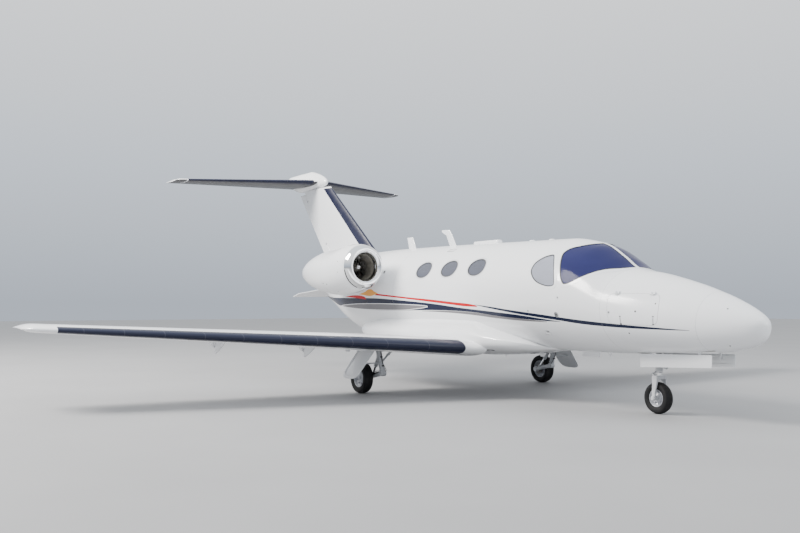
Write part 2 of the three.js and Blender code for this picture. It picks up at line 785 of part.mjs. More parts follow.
function finRing(z, leading, trailing, thickness) {
  const chord = trailing - leading;
  return aerofoil(thickness / chord, 0).map(([c, y]) => (
    new THREE.Vector3(station(leading + chord * c), chord * y, z)));
}

function rudderHinge(z) {
  const [low, high] = [rudder.lowHinge, rudder.highHinge];
  const part = (z - low[1]) / (high[1] - low[1]);
  return [station(low[0] + (high[0] - low[0]) * part), 0, z];
}

function behindRudderHinge(low, high, ahead) {
  const [a, b] = [low, high].map((z) => noseX - rudderHinge(z)[0]);
  return sidePrism([[a - ahead, low], [a + 1400, low], [b + 1400, high], [b - ahead, high]], -200, 200);
}

function buildFin() {
  let whole = loft([
    finRing(fin.baseZ, fin.baseLeading, fin.baseTrailing, fin.baseThickness),
    finRing(fin.topZ, fin.topLeading, fin.topTrailing, fin.topThickness),
  ]);
  whole = whole.subtract(union(hull(seam, 7000, 10950), bullet(seam)));
  const { bottomZ, topZ } = rudder;
  const cut = hingedSurface(
    whole,
    { outer: rudderHinge(bottomZ - 300), inner: rudderHinge(bottomZ - 60) },
    { outer: rudderHinge(topZ + 200), inner: rudderHinge(topZ + 60) },
    rudder.radii,
    behindRudderHinge(bottomZ - 300, topZ + 300, surfaceGap),
    behindRudderHinge(bottomZ, topZ, 0),
    [0.2, 0.86]);
  const slab = box([-9000, -200, bottomZ], [0, 200, topZ]);
  return { fixed: cut.fixed, moving: cut.moving.intersect(slab) };
}

function tailSection(y, grow = 0) {
  const part = (y - tailplane.rootY) / (tailplane.tipY - tailplane.rootY);
  const blend = (a, b) => a + (b - a) * part;
  const leading = blend(tailplane.rootLeading, tailplane.tipLeading) - 2 * grow;
  const chord = blend(tailplane.rootTrailing, tailplane.tipTrailing) + 2 * grow - leading;
  const thickness = blend(tailplane.rootThickness, tailplane.tipThickness) + (4 * grow) / chord;
  return { y, leading, z: tailplane.height, chord, thickness, incidence: 0 };
}

// The space that the tailplane takes where it passes through the bullet fairing
function tailplaneSlot() {
  const half = loft([tailSection(0, seam), tailSection(400, seam)].map((section) => wingRing(section, 0)));
  return union(half, mirrored(half));
}

function elevatorHinge(y) {
  const part = (y - tailplane.rootY) / (tailplane.tipY - tailplane.rootY);
  const { rootHinge, tipHinge } = elevator;
  return [station(rootHinge + (tipHinge - rootHinge) * part), y, tailplane.height];
}

function tailplaneHalf() {
  const end = tailSection(tailplane.endY);
  end.leading += 60;
  end.chord = overallLength - end.leading;
  end.thickness *= 0.5;
  const shoulder = tailSection(tailplane.endY - 70);
  const sections = [tailSection(0), tailSection(tailplane.tipY), shoulder, end];
  return loft(sections.map((section) => wingRing(section, 0)));
}

function buildTailplane() {
  const { innerY, endGap, behind } = elevator;
  const outerY = tailplane.tipY;
  const horn = (margin) => {
    const near = outerY - margin;
    return planPrism([[behind, near], [12600, near], [12600, 2800], [behind, 2800]], 3600, 4100);
  };
  const aft = (from, ahead) => aftBlock(elevatorHinge, from, 2900, ahead, 900, 3600, 4100);
  const radii = [halfThickness(tailSection(innerY), 0.78), halfThickness(tailSection(outerY), 0.68)];
  return hingedSurface(
    tailplaneHalf(),
    { outer: elevatorHinge(innerY - endGap), inner: elevatorHinge(innerY) },
    { outer: elevatorHinge(outerY + 40), inner: elevatorHinge(outerY - 30) },
    radii,
    union(aft(innerY - endGap, surfaceGap), horn(endGap + 10)),
    union(aft(innerY, 0), horn(0)),
    [0.12, 0.8]);
}

// Engines

function cowlProfile(grow) {
  return cowl.outer.map(([a, r]) => [a, r + grow]);
}

// The air passage through the nacelle behind the fan, drawn in by the seam
function ductSolid(y) {
  const shrink = seam / Math.cos(Math.PI / cowl.sides);
  const rows = cowl.inner.slice(0, 6).reverse().map(([a, r]) => [a, r - shrink]);
  return turnedAlongX([[300, 0], ...rows, [2040, 0]], engine.inlet, y, engine.z, cowl.sides);
}

function buildEngine(y) {
  const { inlet, z } = engine;
  const shell = turnedAlongX([...cowl.outer, ...cowl.inner, cowl.outer[0]], inlet, y, z, cowl.sides);
  const { front, radius, back, coneEnd, neck } = core;
  const rows = [[front, 0], [front, radius * neck], [front + 120, radius], [back, radius],
    [back, radius * neck], [coneEnd, 20], [coneEnd, 0]];
  let block = turnedAlongX(rows, inlet, y, z, 16);
  const { at, thick, reach, count } = engineStrut;
  for (let i = 0; i < count; i += 1) {
    const t = Math.PI / 2 + (i * 2 * Math.PI) / count;
    const end = [station(inlet + at), y + reach * Math.cos(t), z + reach * Math.sin(t)];
    block = union(block, rod([station(inlet + at), y, z], end, thick, thick, 12));
  }
  return { shell, block: block.intersect(ductSolid(y)), fan: buildFan(y) };
}

function buildFan(y) {
  const { inlet, z } = engine;
  const { station: front, depth, radius, hub, blades, blade } = fan;
  const back = core.front - seam;
  const rows = [[front - 150, 0], [front - 120, 30], [front - 60, 60], [front, hub],
    [back, hub], [back, 0]];
  let rotor = turnedAlongX(rows, inlet, y, z, 12);
  for (let i = 0; i < blades; i += 1) {
    const geometry = new THREE.BoxGeometry(blade.thickness, depth, radius - hub + blade.sunk);
    geometry.rotateZ(Math.PI / 2 + blade.twist);
    geometry.translate(0, 0, (radius + hub - blade.sunk) / 2);
    geometry.rotateX((i * 2 * Math.PI) / blades);
    geometry.translate(station(inlet + front + depth / 2), y, z);
    rotor = union(rotor, solidOf(geometry));
  }
  return rotor;
}

// Pylon sections: Y, front and back station, half thickness
const pylonRows = [[430, 7050, 7960, 60], [1080, 7000, 8060, 70]];

function buildPylon() {
  const rings = pylonRows.map(([y, front, back, half]) => {
    const upper = [[front, 0], [front + 90, half * 0.7], [front + 300, half],
      [back - 250, half * 0.8], [back, 6]];
    const lower = upper.slice(1).reverse().map(([s, dz]) => [s, -dz]);
    return [...upper, ...lower].map(([s, dz]) => (
      new THREE.Vector3(station(s), y, engine.z - 20 + dz)));
  });
  const { inlet, y, z } = engine;
  const cowling = turnedAlongX([[0, 0], ...cowlProfile(seam), [2040, 0]], inlet, y, z, cowl.sides);
  return loft(rings).subtract(union(hull(seam, 6000, 9500), cowling));
}

// Landing gear

// Wheel profiles: radius and side, as fractions of the wheel's radius and half width
function tyre({ station: s, radius, width, rim }, y) {
  const half = width / 2;
  const shoulder = [[rim, 0.72], [radius * 0.72, 1], [radius * 0.92, 0.82], [radius, 0.28]];
  const rows = [
    ...shoulder.map(([r, part]) => [r, -half * part]),
    ...shoulder.reverse().map(([r, part]) => [r, half * part]),
    [rim, -half * 0.72],
  ];
  return turnedAlongY(rows, s, y, axleHeight(radius));
}

const axleHeight = (radius) => radius * Math.cos(Math.PI / wheelSides);
const axle = { radius: 24, bore: 24.6, sides: 16 };

function rimSolid({ station: s, radius, width, rim }, y) {
  const half = width / 2;
  const outer = rim - seam / Math.cos(Math.PI / wheelSides);
  const rows = [[axle.bore, -half * 0.6], [outer, -half * 0.7], [outer, half * 0.7],
    [axle.bore, half * 0.6], [axle.bore, -half * 0.6]];
  return turnedAlongY(rows, s, y, axleHeight(radius));
}

// Main leg: a strut from the wing to the knee, and an arm that trails back to the axle
const mainLeg = {
  station: 5365, topY: 1730, topZ: 735, kneeY: 1640, kneeZ: 315, radius: 46,
  armY: 1648, trunnionZ: 721,
};
const shock = { top: [5440, 1665, 560], foot: [5640, 1640, 290], lug: [5365, 1695, 590] };

function straightRod(s, y, z, to, radius, endRadius = radius, sides = 8) {
  return rod([station(s), y, z], [station(to[0]), to[1], to[2]], radius, endRadius, sides);
}

function buildMainLeg() {
  const { station: s, topY, topZ, kneeY, kneeZ, radius, armY, trunnionZ } = mainLeg;
  const axleZ = axleHeight(mainWheel.radius);
  const at = mainWheel.station;
  const inner = mainWheel.y - mainWheel.width / 2;
  const middle = shock.top.map((value, k) => value + 0.55 * (shock.foot[k] - value));
  const { from, to } = legWell;
  return union(
    straightRod(s, topY, topZ, [s, kneeY, kneeZ], radius, radius * 0.82),
    straightRod(s, kneeY - 44, kneeZ, [s, kneeY + 44, kneeZ], 42),
    straightRod(s, armY, kneeZ, [at, armY, axleZ], 34, 30),
    straightRod(at, armY - 36, axleZ, [at, inner - 9, axleZ], 42),
    straightRod(at, armY, axleZ, [at, mainWheel.y + 58, axleZ], axle.radius, axle.radius, axle.sides),
    straightRod(...shock.top, middle, 30),
    straightRod(...middle, shock.foot, 18),
    straightRod(...shock.lug, shock.top, 24),
    straightRod(from + seam, topY, trunnionZ, [to - seam, topY, trunnionZ], 34),
    straightRod(s - 10, topY - 6, topZ - 40, [s - 4, topY - 250, topZ - 30], 22),
    doorLink());
}

// Main gear door: a flat panel down from the wing, tied to the leg by a link
const mainDoor = {
  from: 5215, to: 5690, top: [1850, 676.8], bottom: [2165, 255], thickness: 12,
  link: { station: 5365, y: 1680, z: 470, radius: 12 },
};

function mainDoorPanel(grow) {
  const { from, to, top, bottom, thickness } = mainDoor;
  const slope = new THREE.Vector2(bottom[0] - top[0], bottom[1] - top[1]).normalize();
  const edge = [[from, top], [to, top], [to - 30, bottom], [from + 40, bottom]];
  const layer = (depth) => edge.map(([s, [y, z]]) => (
    new THREE.Vector3(station(s), y - slope.y * depth, z + slope.x * depth)));
  return loft([layer(-grow), layer(thickness + grow)]);
}

function doorLink() {
  const { station: s, y, z, radius } = mainDoor.link;
  return straightRod(s, y, z, [s, y + 325, z], radius).subtract(mainDoorPanel(seam));
}

// The panel's top edge follows the skin of the wing
function buildMainDoor(wingBody) {
  const geometry = geometryOf(wingBody);
  geometry.translate(0, 0, -seam);
  return mainDoorPanel(0).subtract(solidOf(geometry));
}

const noseDoorPanel = { from: 590, to: 1660, y: 196, top: 792, bottom: 575, thickness: 12 };

function buildNoseGearDoor() {
  const { from, to, y, top, bottom, thickness } = noseDoorPanel;
  const outline = [
    [from, top + 10], [from + 30, bottom + 60], [from + 160, bottom + 24],
    [to - 60, bottom], [to, bottom + 40], [to, top - 20],
  ];
  return sidePrism(outline, y, y + thickness).subtract(hull(seam));
}

function buildNoseLeg() {
  const { station: s, radius, top, bottom, braceRun } = noseStrut;
  const reach = noseWell.half - seam;
  const collar = radius * 1.35;
  return union(
    straightRod(s, 0, bottom, [s, 0, top], radius, radius * 1.15, 16),
    straightRod(s, 0, bottom, [s, 0, bottom + 50], collar, collar, 16),
    straightRod(s, -reach, top - 60, [s, reach, top - 60], 26),
    straightRod(s, 0, bottom + 150, [s - braceRun, 0, top - 70], 24),
    straightRod(s - braceRun, -reach, top - 70, [s - braceRun, reach, top - 70], 20));
}

function forkSides(axleZ) {
  const [s, at] = [noseStrut.station, noseWheel.station];
  const outline = [[s - 44, fork.crownZ], [s + 44, fork.crownZ], [at + 34, axleZ - 6],
    [at + 14, axleZ - 34], [at - 14, axleZ - 34], [at - 34, axleZ - 6]];
  const { legHalf, legThickness } = fork;
  return union(
    sidePrism(outline, legHalf - legThickness, legHalf),
    sidePrism(outline, -legHalf, legThickness - legHalf));
}

function buildNoseFork() {
  const [s, at] = [noseStrut.station, noseWheel.station];
  const axleZ = axleHeight(noseWheel.radius);
  const { crownZ, legHalf, axleReach, piston } = fork;
  const crown = box([station(s) - 50, -legHalf, crownZ - 30], [station(s) + 50, legHalf, crownZ + 16]);
  const { radius, sides } = axle;
  return union(
    forkSides(axleZ), crown,
    straightRod(s, 0, crownZ, [s, 0, noseStrut.bottom - seam], piston, piston, 16),
    straightRod(at, -axleReach, axleZ, [at, axleReach, axleZ], radius, radius, sides));
}

// Cabin interior

const floorTop = 962;
const floorThickness = 40;

function roomBlock(low, high, inset) {
  return box(low, high).intersect(hull(-wallThickness - inset));
}

function buildFloor() {
  const from = noseEnd + bulkheadThickness + 1;
  const to = cabinEnd - bulkheadThickness - 1;
  return roomBlock([station(to), -800, floorTop - floorThickness], [station(from), 800, floorTop], seam);
}

function buildPanel() {
  const foot = floorTop + seam;
  const desk = sidePrism([
    [2010, 1560], [2330, 1672], [2350, 1640], [2250, 1600], [2250, 1250], [2205, 1250], [2190, 1560],
  ], -690, 690);
  const pedestal = sidePrism([
    [2200, foot], [2620, foot], [2620, 1230], [2400, 1330], [2200, 1420],
  ], -110, 110);
  return union(desk.intersect(hull(-wallThickness - 12, noseEnd, cabinEnd)), pedestal);
}

// Seat parts: share of the half width, then distance behind the seat's front edge and height
const seatParts = [
  [0.6, [[60, floorTop + seam], [420, floorTop + seam], [420, 1240], [60, 1240]]],
  [1, [[0, 1235], [510, 1245], [520, 1330], [490, 1365], [0, 1340]]],
  [1, [[-40, 1240], [90, 1330], [0, 1790], [-60, 1800], [-130, 1780]]],
  [0.55, [[-20, 1770], [-44, 1930], [-80, 1950], [-130, 1935], [-120, 1770]]],
];

function seat([s, y, facing, width]) {
  return union(...seatParts.map(([share, outline]) => {
    const half = (share * width) / 2;
    return sidePrism(outline.map(([along, z]) => [s - facing * along, z]), y - half, y + half);
  }));
}

// Seats: station of the back's foot, Y, 1 when it faces forward, and width
const crewSeats = { rows: [[3060, -330, 1, 440], [3060, 330, 1, 440]], rails: [2700, 3080] };
const cabinSeats = {
  rows: [[4080, -340, -1, 460], [4080, 340, -1, 460], [5640, -340, 1, 460], [5640, 340, 1, 460]],
  rails: [4060, 5700],
};
const rail = { y: 300, half: 25, top: 992, sill: 50 };

function seatGroup({ rows, rails: [from, to] }) {
  const { y, half, top, sill } = rail;
  const low = floorTop + seam;
  const rails = [-y, y].map((middle) => (
    box([station(to), middle - half, low], [station(from), middle + half, top])));
  const cross = box([station(to), -y - half, low], [station(to - sill), y + half, top]);
  const seats = rows.map((row) => seat(row));
  return union(...seats, ...rails, cross).intersect(hull(-wallThickness - 14, noseEnd, cabinEnd));
}

// Aerials: outline from the side and half width
const roofFairing = [[[4610, 2150], [5280, 2150], [5255, 2312], [4650, 2306]], 55];
const roofAerial = [
  [[5730, 2200], [5905, 2200], [6060, 2470], [6190, 2530], [6180, 2555], [5960, 2545], [5850, 2400]],
  9,
];
const bellyAerial = [[[2570, 760], [2890, 760], [2860, 655], [2700, 655]], 9];
const tailAerial = [[[6990, 2250], [7320, 2250], [7240, 2490], [7170, 2490]], 10];

const aerial = ([outline, half]) => sidePrism(outline, -half, half);

function withAerial(shell, row) {
  return union(shell, aerial(row).subtract(hull(-20, 2000, 8000)));
}

// Finishes
const finish = {
  white: ['#f2f3f4', 0.25, 0.0],
  navy: ['#171d33', 0.3, 0.1],
  steel: ['#b9bcc0', 0.25, 0.9],
  grey: ['#8d9196', 0.5, 0.3],
  gear: ['#e6e8ea', 0.35, 0.2],
  rubber: ['#1d1d1e', 0.85, 0.0],
  glass: ['#26313a', 0.08, 0.0],
  leather: ['#cbbd9f', 0.6, 0.0],
  carpet: ['#6f675b', 0.95, 0.0],
  dark: ['#2b2b2e', 0.6, 0.1],
};

const aircraft = new THREE.Group();

function place(name, solid, look) {
  const [color, roughness, metalness] = finish[look];
  const material = new THREE.MeshStandardMaterial({ color, roughness, metalness });
  const mesh = new THREE.Mesh(geometryOf(solid), material);
  mesh.name = name;
  aircraft.add(mesh);
}

function placePair(name, solid, look) {
  place(`${name}_left`, solid, look);
  place(`${name}_right`, mirrored(solid), look);
}

// Assembly

const nose = buildNose();
const cabin = buildCabin();
const tail = buildTail();
place('nose_radome', hull(0, 0, radomeEnd).subtract(wellBlock()), 'white');
place('nose_section', nose.shell, 'white');
place('nose_baggage_door_right', nose.doors[-1], 'white');
place('nose_baggage_door_left', nose.doors[1], 'white');
place('cabin_shell', withAerial(cabin.shell, bellyAerial), 'white');
place('roof_fairing', aerial(roofFairing).subtract(hull(seam)), 'white');
place('roof_aerial', aerial(roofAerial).subtract(hull(seam)), 'white');
place('entry_door', cabin.door, 'white');
place('tail_section', withAerial(tail.shell, tailAerial), 'white');
place('tail_baggage_door', tail.door, 'white');
for (const row of [...windowTable, doorPane]) place(row[0], pane(row), 'glass');

const fairing = body(fairingRows).subtract(hull(seam, 2500, 8500));
place('wing_fairing', fairing, 'white');
const wingParts = buildWing();
placePair('wing', wingParts.fixed, 'white');
placePair('aileron', wingParts.aileron, 'white');
placePair('flap', wingParts.flap, 'white');

const finParts = buildFin();
const tailplaneParts = buildTailplane();
place('fin', finParts.fixed, 'white');
place('rudder', finParts.moving, 'white');
place('stabiliser', union(tailplaneParts.fixed, mirrored(tailplaneParts.fixed)), 'white');
place('tail_bullet', bullet(0).subtract(tailplaneSlot()), 'white');
placePair('elevator', tailplaneParts.moving, 'white');

const power = buildEngine(engine.y);
placePair('nacelle', power.shell, 'white');
placePair('engine', power.block, 'grey');
placePair('fan', power.fan, 'steel');
placePair('pylon', buildPylon(), 'white');

place('nose_leg', buildNoseLeg(), 'gear');
place('nose_fork', buildNoseFork(), 'gear');
place('nose_wheel', rimSolid(noseWheel, 0), 'gear');
place('nose_tyre', tyre(noseWheel, 0), 'rubber');
placePair('nose_gear_door', buildNoseGearDoor(), 'white');
placePair('main_leg', buildMainLeg(), 'gear');
placePair('main_wheel', rimSolid(mainWheel, mainWheel.y), 'gear');
placePair('main_tyre', tyre(mainWheel, mainWheel.y), 'rubber');
placePair('main_gear_door', buildMainDoor(wingParts.fixed), 'white');

place('cabin_floor', buildFloor(), 'carpet');
place('instrument_panel', buildPanel(), 'dark');
place('crew_seats', seatGroup(crewSeats), 'leather');
place('cabin_seats', seatGroup(cabinSeats), 'leather');

export default aircraft;
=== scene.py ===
"""Looks of a light business jet, parked on its gear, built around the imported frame.

Tables and fields hold millimetres, as the drawings do, and stations count aft from the
nose tip. Meshes are metres: `mesh_of` makes the change. Y points to port and Z up.
"""

import json
import logging
import math
from dataclasses import dataclass, field
from enum import Enum
from typing import Callable, Iterable, Sequence

import bmesh
import bpy
import numpy as np
from mathutils import Matrix, Vector
from mathutils.bvhtree import BVHTree

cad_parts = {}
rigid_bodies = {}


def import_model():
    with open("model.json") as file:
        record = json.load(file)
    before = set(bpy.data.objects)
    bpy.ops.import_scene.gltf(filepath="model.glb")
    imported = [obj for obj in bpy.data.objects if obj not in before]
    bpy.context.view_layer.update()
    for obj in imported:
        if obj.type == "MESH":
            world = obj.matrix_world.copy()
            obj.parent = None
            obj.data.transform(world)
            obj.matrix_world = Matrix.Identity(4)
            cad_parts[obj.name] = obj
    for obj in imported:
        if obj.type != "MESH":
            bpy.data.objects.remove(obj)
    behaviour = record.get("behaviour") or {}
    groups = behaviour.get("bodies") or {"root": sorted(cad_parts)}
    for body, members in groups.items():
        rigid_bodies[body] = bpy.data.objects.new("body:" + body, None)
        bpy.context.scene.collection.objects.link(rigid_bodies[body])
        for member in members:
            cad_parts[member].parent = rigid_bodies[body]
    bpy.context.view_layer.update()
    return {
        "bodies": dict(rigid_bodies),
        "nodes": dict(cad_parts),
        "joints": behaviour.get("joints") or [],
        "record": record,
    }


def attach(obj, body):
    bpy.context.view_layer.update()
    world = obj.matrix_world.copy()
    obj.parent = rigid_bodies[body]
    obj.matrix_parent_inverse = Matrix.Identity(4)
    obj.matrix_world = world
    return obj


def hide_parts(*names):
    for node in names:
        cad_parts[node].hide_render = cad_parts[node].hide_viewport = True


Mesh = bpy.types.Mesh
Point = Sequence[float]

LOG = logging.getLogger("jet")
MM = 0.001
NOSE_X = 6185.0
SEAM = 0.3


class Side(Enum):
    """The two sides of the aircraft, each with its sign along Y."""

    LEFT = 1
    RIGHT = -1

    @property
    def word(self) -> str:
        """The side's word in a piece's name."""
        return self.name.lower()


class Op(Enum):
    """How one solid acts on another."""

    CUT = "DIFFERENCE"
    MEET = "INTERSECT"
    FUSE = "UNION"


# Curves and rings


def unit(vector: Point) -> np.ndarray:
    """The same direction, one long."""
    array = np.asarray(vector, float)
    return array / np.linalg.norm(array)


def monotone(x: np.ndarray, y: np.ndarray, at: np.ndarray) -> np.ndarray:
    """Reads a table by a smooth curve that never swings past its rows.

    Args:
        x: Rising places of the rows.
        y: One row of values for each place.
        at: Places to read.

    Returns:
        One row of values for each place read.
    """
    step = np.diff(x)[:, None]
    slope = np.diff(y, axis=0) / step
    tangent = np.zeros_like(y)
    same = slope[:-1] * slope[1:] > 0
    near, far = 2 * step[1:] + step[:-1], step[1:] + 2 * step[:-1]
    safe = np.where(same, slope[:-1], 1), np.where(same, slope[1:], 1)
    mean = (near + far) / (near / safe[0] + far / safe[1])
    tangent[1:-1] = np.where(same, mean, 0)
    tangent[0], tangent[-1] = slope[0], slope[-1]
    row = np.clip(np.searchsorted(x, at, side="right") - 1, 0, len(x) - 2)
    t = ((at - x[row]) / step[row, 0])[:, None]
    h = step[row]
    return (
        (1 + 2 * t) * (1 - t) ** 2 * y[row] + t * (1 - t) ** 2 * h * tangent[row]
        + t * t * (3 - 2 * t) * y[row + 1] + t * t * (t - 1) * h * tangent[row + 1]
    )


def spline(points: Sequence[Point], per_span: int, closed: bool = False) -> np.ndarray:
    """A smooth curve through the points, with even parameter steps.

    Args:
        points: The points to pass through.
        per_span: Steps between two neighbouring points.
        closed: Whether the last point joins the first.

    Returns:
        The curve's points.
    """
    p = np.asarray(points, float)
    ends = (p[-1:], p[:2]) if closed else (2 * p[:1] - p[1:2], 2 * p[-1:] - p[-2:-1])
    padded = np.concatenate([ends[0], p, ends[1]])
    spans = len(p) if closed else len(p) - 1
    out = []
    for i in range(spans):
        a, b, c, d = padded[i:i + 4]
        ka, kb, kc = (max(np.linalg.norm(v), 1e-6) ** 0.5 for v in (b - a, c - b, d - c))
        m1 = (c - b) + kb * ((b - a) / ka - (c - a) / (ka + kb))
        m2 = (c - b) + kb * ((d - c) / kc - (d - b) / (kb + kc))
        for t in np.arange(per_span) / per_span:
            out.append(
                (2 * t**3 - 3 * t * t + 1) * b + (t**3 - 2 * t * t + t) * m1
                + (3 * t * t - 2 * t**3) * c + (t**3 - t * t) * m2
            )
    if not closed:
        out.append(p[-1])
    return np.array(out)


def rounded_rectangle(half_length: float, half_height: float, corner: float,
                      steps: int = 8) -> np.ndarray:
    """A rectangle with round corners about the origin, anticlockwise.

    Args:
        half_length: Half its length.
        half_height: Half its height.
        corner: Radius of its corners.
        steps: Steps in each corner.

    Returns:
        The outline's points.
    """
    points = []
    for quarter, (a, b) in enumerate([(1, 1), (-1, 1), (-1, -1), (1, -1)]):
        for k in range(steps + 1):
            t = (quarter + k / steps) * math.pi / 2
            points.append([a * (half_length - corner) + corner * math.cos(t),
                           b * (half_height - corner) + corner * math.sin(t)])
    return np.array(points)


def oval(centre: Point, length: float, height: float, sides: int = 64,
         power: float = 2.1) -> np.ndarray:
    """A full-cornered oval in station and height.

    Args:
        centre: Its middle.
        length: Its length.
        height: Its height.
        sides: How many points it has.
        power: Two for an ellipse, and more for fuller corners.

    Returns:
        The outline's points.
    """
    t = np.arange(sides) * 2 * math.pi / sides
    bend = [np.sign(v) * np.abs(v) ** (2 / power) for v in (np.cos(t), np.sin(t))]
    return np.stack([centre[0] + length / 2 * bend[0], centre[1] + height / 2 * bend[1]], 1)


def ring_about(centre: Point, axis: Point, radius: float, sides: int) -> np.ndarray:
    """A circle of points about an axis.

    Args:
        centre: The circle's middle.
        axis: The direction through it.
        radius: Its radius.
        sides: How many points it has.

    Returns:
        The points in X, Y and Z.
    """
    along = unit(axis)
    across = unit(np.cross(along, [0, 0, 1] if abs(along[2]) < 0.9 else [1, 0, 0]))
    other = np.cross(along, across)
    t = np.arange(sides)[:, None] * 2 * math.pi / sides
    return np.asarray(centre, float) + radius * (np.cos(t) * across + np.sin(t) * other)


# Meshes


def mesh_of(points: np.ndarray, faces: Sequence[Sequence[int]]) -> Mesh:
    """A closed mesh in metres, its doubles merged and its faces pointing out.

    Args:
        points: The points, in millimetres.
        faces: The numbers of each face's points.

    Returns:
        The mesh.
    """
    mesh = bpy.data.meshes.new("mesh")
    mesh.from_pydata((np.asarray(points, float) * MM).tolist(), [], [list(f) for f in faces])
    work = bmesh.new()
    work.from_mesh(mesh)
    bmesh.ops.remove_doubles(work, verts=work.verts, dist=1e-6)
    bmesh.ops.dissolve_degenerate(work, edges=work.edges, dist=1e-7)
    bmesh.ops.recalc_face_normals(work, faces=work.faces)
    if work.calc_volume(signed=True) < 0:
        bmesh.ops.reverse_faces(work, faces=work.faces)
    work.to_mesh(mesh)
    work.free()
    return mesh


def loft(rings: Sequence[np.ndarray], caps: bool = True, joined: bool = False) -> Mesh:
    """A skin through rings with the same number of points.

    Args:
        rings: The rings, in order.
        caps: Whether the first and last ring are closed by a face.
        joined: Whether the last ring joins the first.

    Returns:
        The mesh.
    """
    n = len(rings[0])
    faces = []
    pairs = len(rings) if joined else len(rings) - 1
    for r in range(pairs):
        a, b = r * n, ((r + 1) % len(rings)) * n
        faces += [(a + i, a + (i + 1) % n, b + (i + 1) % n, b + i) for i in range(n)]
    if caps and not joined:
        faces += [tuple(range(n))[::-1], tuple(range((len(rings) - 1) * n, len(rings) * n))]
    return mesh_of(np.concatenate(rings), faces)


def box(low: Point, high: Point) -> Mesh:
    """A plain block, used to cut and to trim."""
    corners = [[(low[0], high[0])[i], (low[1], high[1])[j], (low[2], high[2])[k]]
               for k in (0, 1) for i, j in ((0, 0), (1, 0), (1, 1), (0, 1))]
    return loft([np.array(corners[:4]), np.array(corners[4:])])


def side_prism(outline: Iterable[Point], low: float, high: float) -> Mesh:
    """A plate from an outline in station and height, between two values of Y."""
    rings = [np.array([[NOSE_X - s, y, z] for s, z in outline]) for y in (low, high)]
    return loft(rings)


def plan_prism(outline: Iterable[Point], low: float, high: float) -> Mesh:
    """A block from an outline in station and Y, between two heights."""
    rings = [np.array([[NOSE_X - s, y, z] for s, y in outline]) for z in (low, high)]
    return loft(rings)


def spot(station: float, y: float, z: float) -> np.ndarray:
    """A point by its station, Y and height."""
    return np.array([NOSE_X - station, y, z])


def rod(start: Point, end: Point, radius: float, end_radius: float | None = None,
        sides: int = 32, chamfer: float = 0.0) -> Mesh:
    """A round bar or cone between two points in X, Y and Z, with chamfered ends.

    Args:
        start: The first point.
        end: The second point.
        radius: Radius at the start.
        end_radius: Radius at the end, if it differs.
        sides: How many sides it has.
        chamfer: Width of the chamfer at both ends.

    Returns:
        The bar's mesh.
    """
    a, b = np.asarray(start, float), np.asarray(end, float)
    along = unit(b - a)
    last = radius if end_radius is None else end_radius
    rows = [(0, radius - chamfer), (chamfer, radius),
            (np.linalg.norm(b - a) - chamfer, last), (np.linalg.norm(b - a), last - chamfer)]
    if not chamfer:
        rows = [rows[0], rows[3]]
    return loft([ring_about(a + along * d, along, r, sides) for d, r in rows])


def turned(rows: Sequence[Point], centre: Point, axis: Point, sides: int = 96) -> Mesh:
    """A turned piece.

    Args:
        rows: Distances along the axis and radii, closed on themselves.
        centre: Where the distances start.
        axis: The direction of the axis.
        sides: How many sides it has.

    Returns:
        The piece's mesh.
    """
    along = unit(axis)
    rings = [ring_about(np.asarray(centre, float) + along * d, along, max(r, 0.0), sides)
             for d, r in rows]
    solid_core = min(r for d, r in rows) <= 0
    return loft(rings, caps=False, joined=not solid_core)


def pipe(path: Sequence[Point], radius: float, sides: int = 12, per_span: int = 6) -> Mesh:
    """A round tube along a smooth path.

    Args:
        path: Points that the tube passes through.
        radius: The tube's radius.
        sides: How many sides it has.
        per_span: Steps between two points of the path.

    Returns:
        The tube's mesh.
    """
    line = spline(path, per_span)
    tangent = np.gradient(line, axis=0)
    side = unit(np.cross(tangent[0], [0.3, 0.2, 0.9]))
    rings = []
    for point, along in zip(line, tangent):
        along = unit(along)
        side = unit(side - along * side.dot(along))
        up = np.cross(along, side)
        t = np.arange(sides)[:, None] * 2 * math.pi / sides
        rings.append(point + radius * (np.cos(t) * side + np.sin(t) * up))
    return loft(rings)


def merged(*meshes: Mesh) -> Mesh:
    """Several meshes as one, without cutting them.

    Args:
        meshes: The meshes.

    Returns:
        One mesh that holds them all.
    """
    work = bmesh.new()
    for mesh in meshes:
        work.from_mesh(mesh)
    out = bpy.data.meshes.new("merged")
    work.to_mesh(out)
    work.free()
    return out


def evaluated(mesh: Mesh, add: Callable[[bpy.types.Object], None]) -> Mesh:
    """The mesh after modifiers, which a function adds to an object that holds it.

    Args:
        mesh: The mesh.
        add: Adds the modifiers to the object.

    Returns:
        The new mesh.
    """
    holder = bpy.data.objects.new("holder", mesh)
    bpy.context.scene.collection.objects.link(holder)
    add(holder)
    graph = bpy.context.evaluated_depsgraph_get()
    result = bpy.data.meshes.new_from_object(holder.evaluated_get(graph))
    bpy.data.objects.remove(holder)
    return result


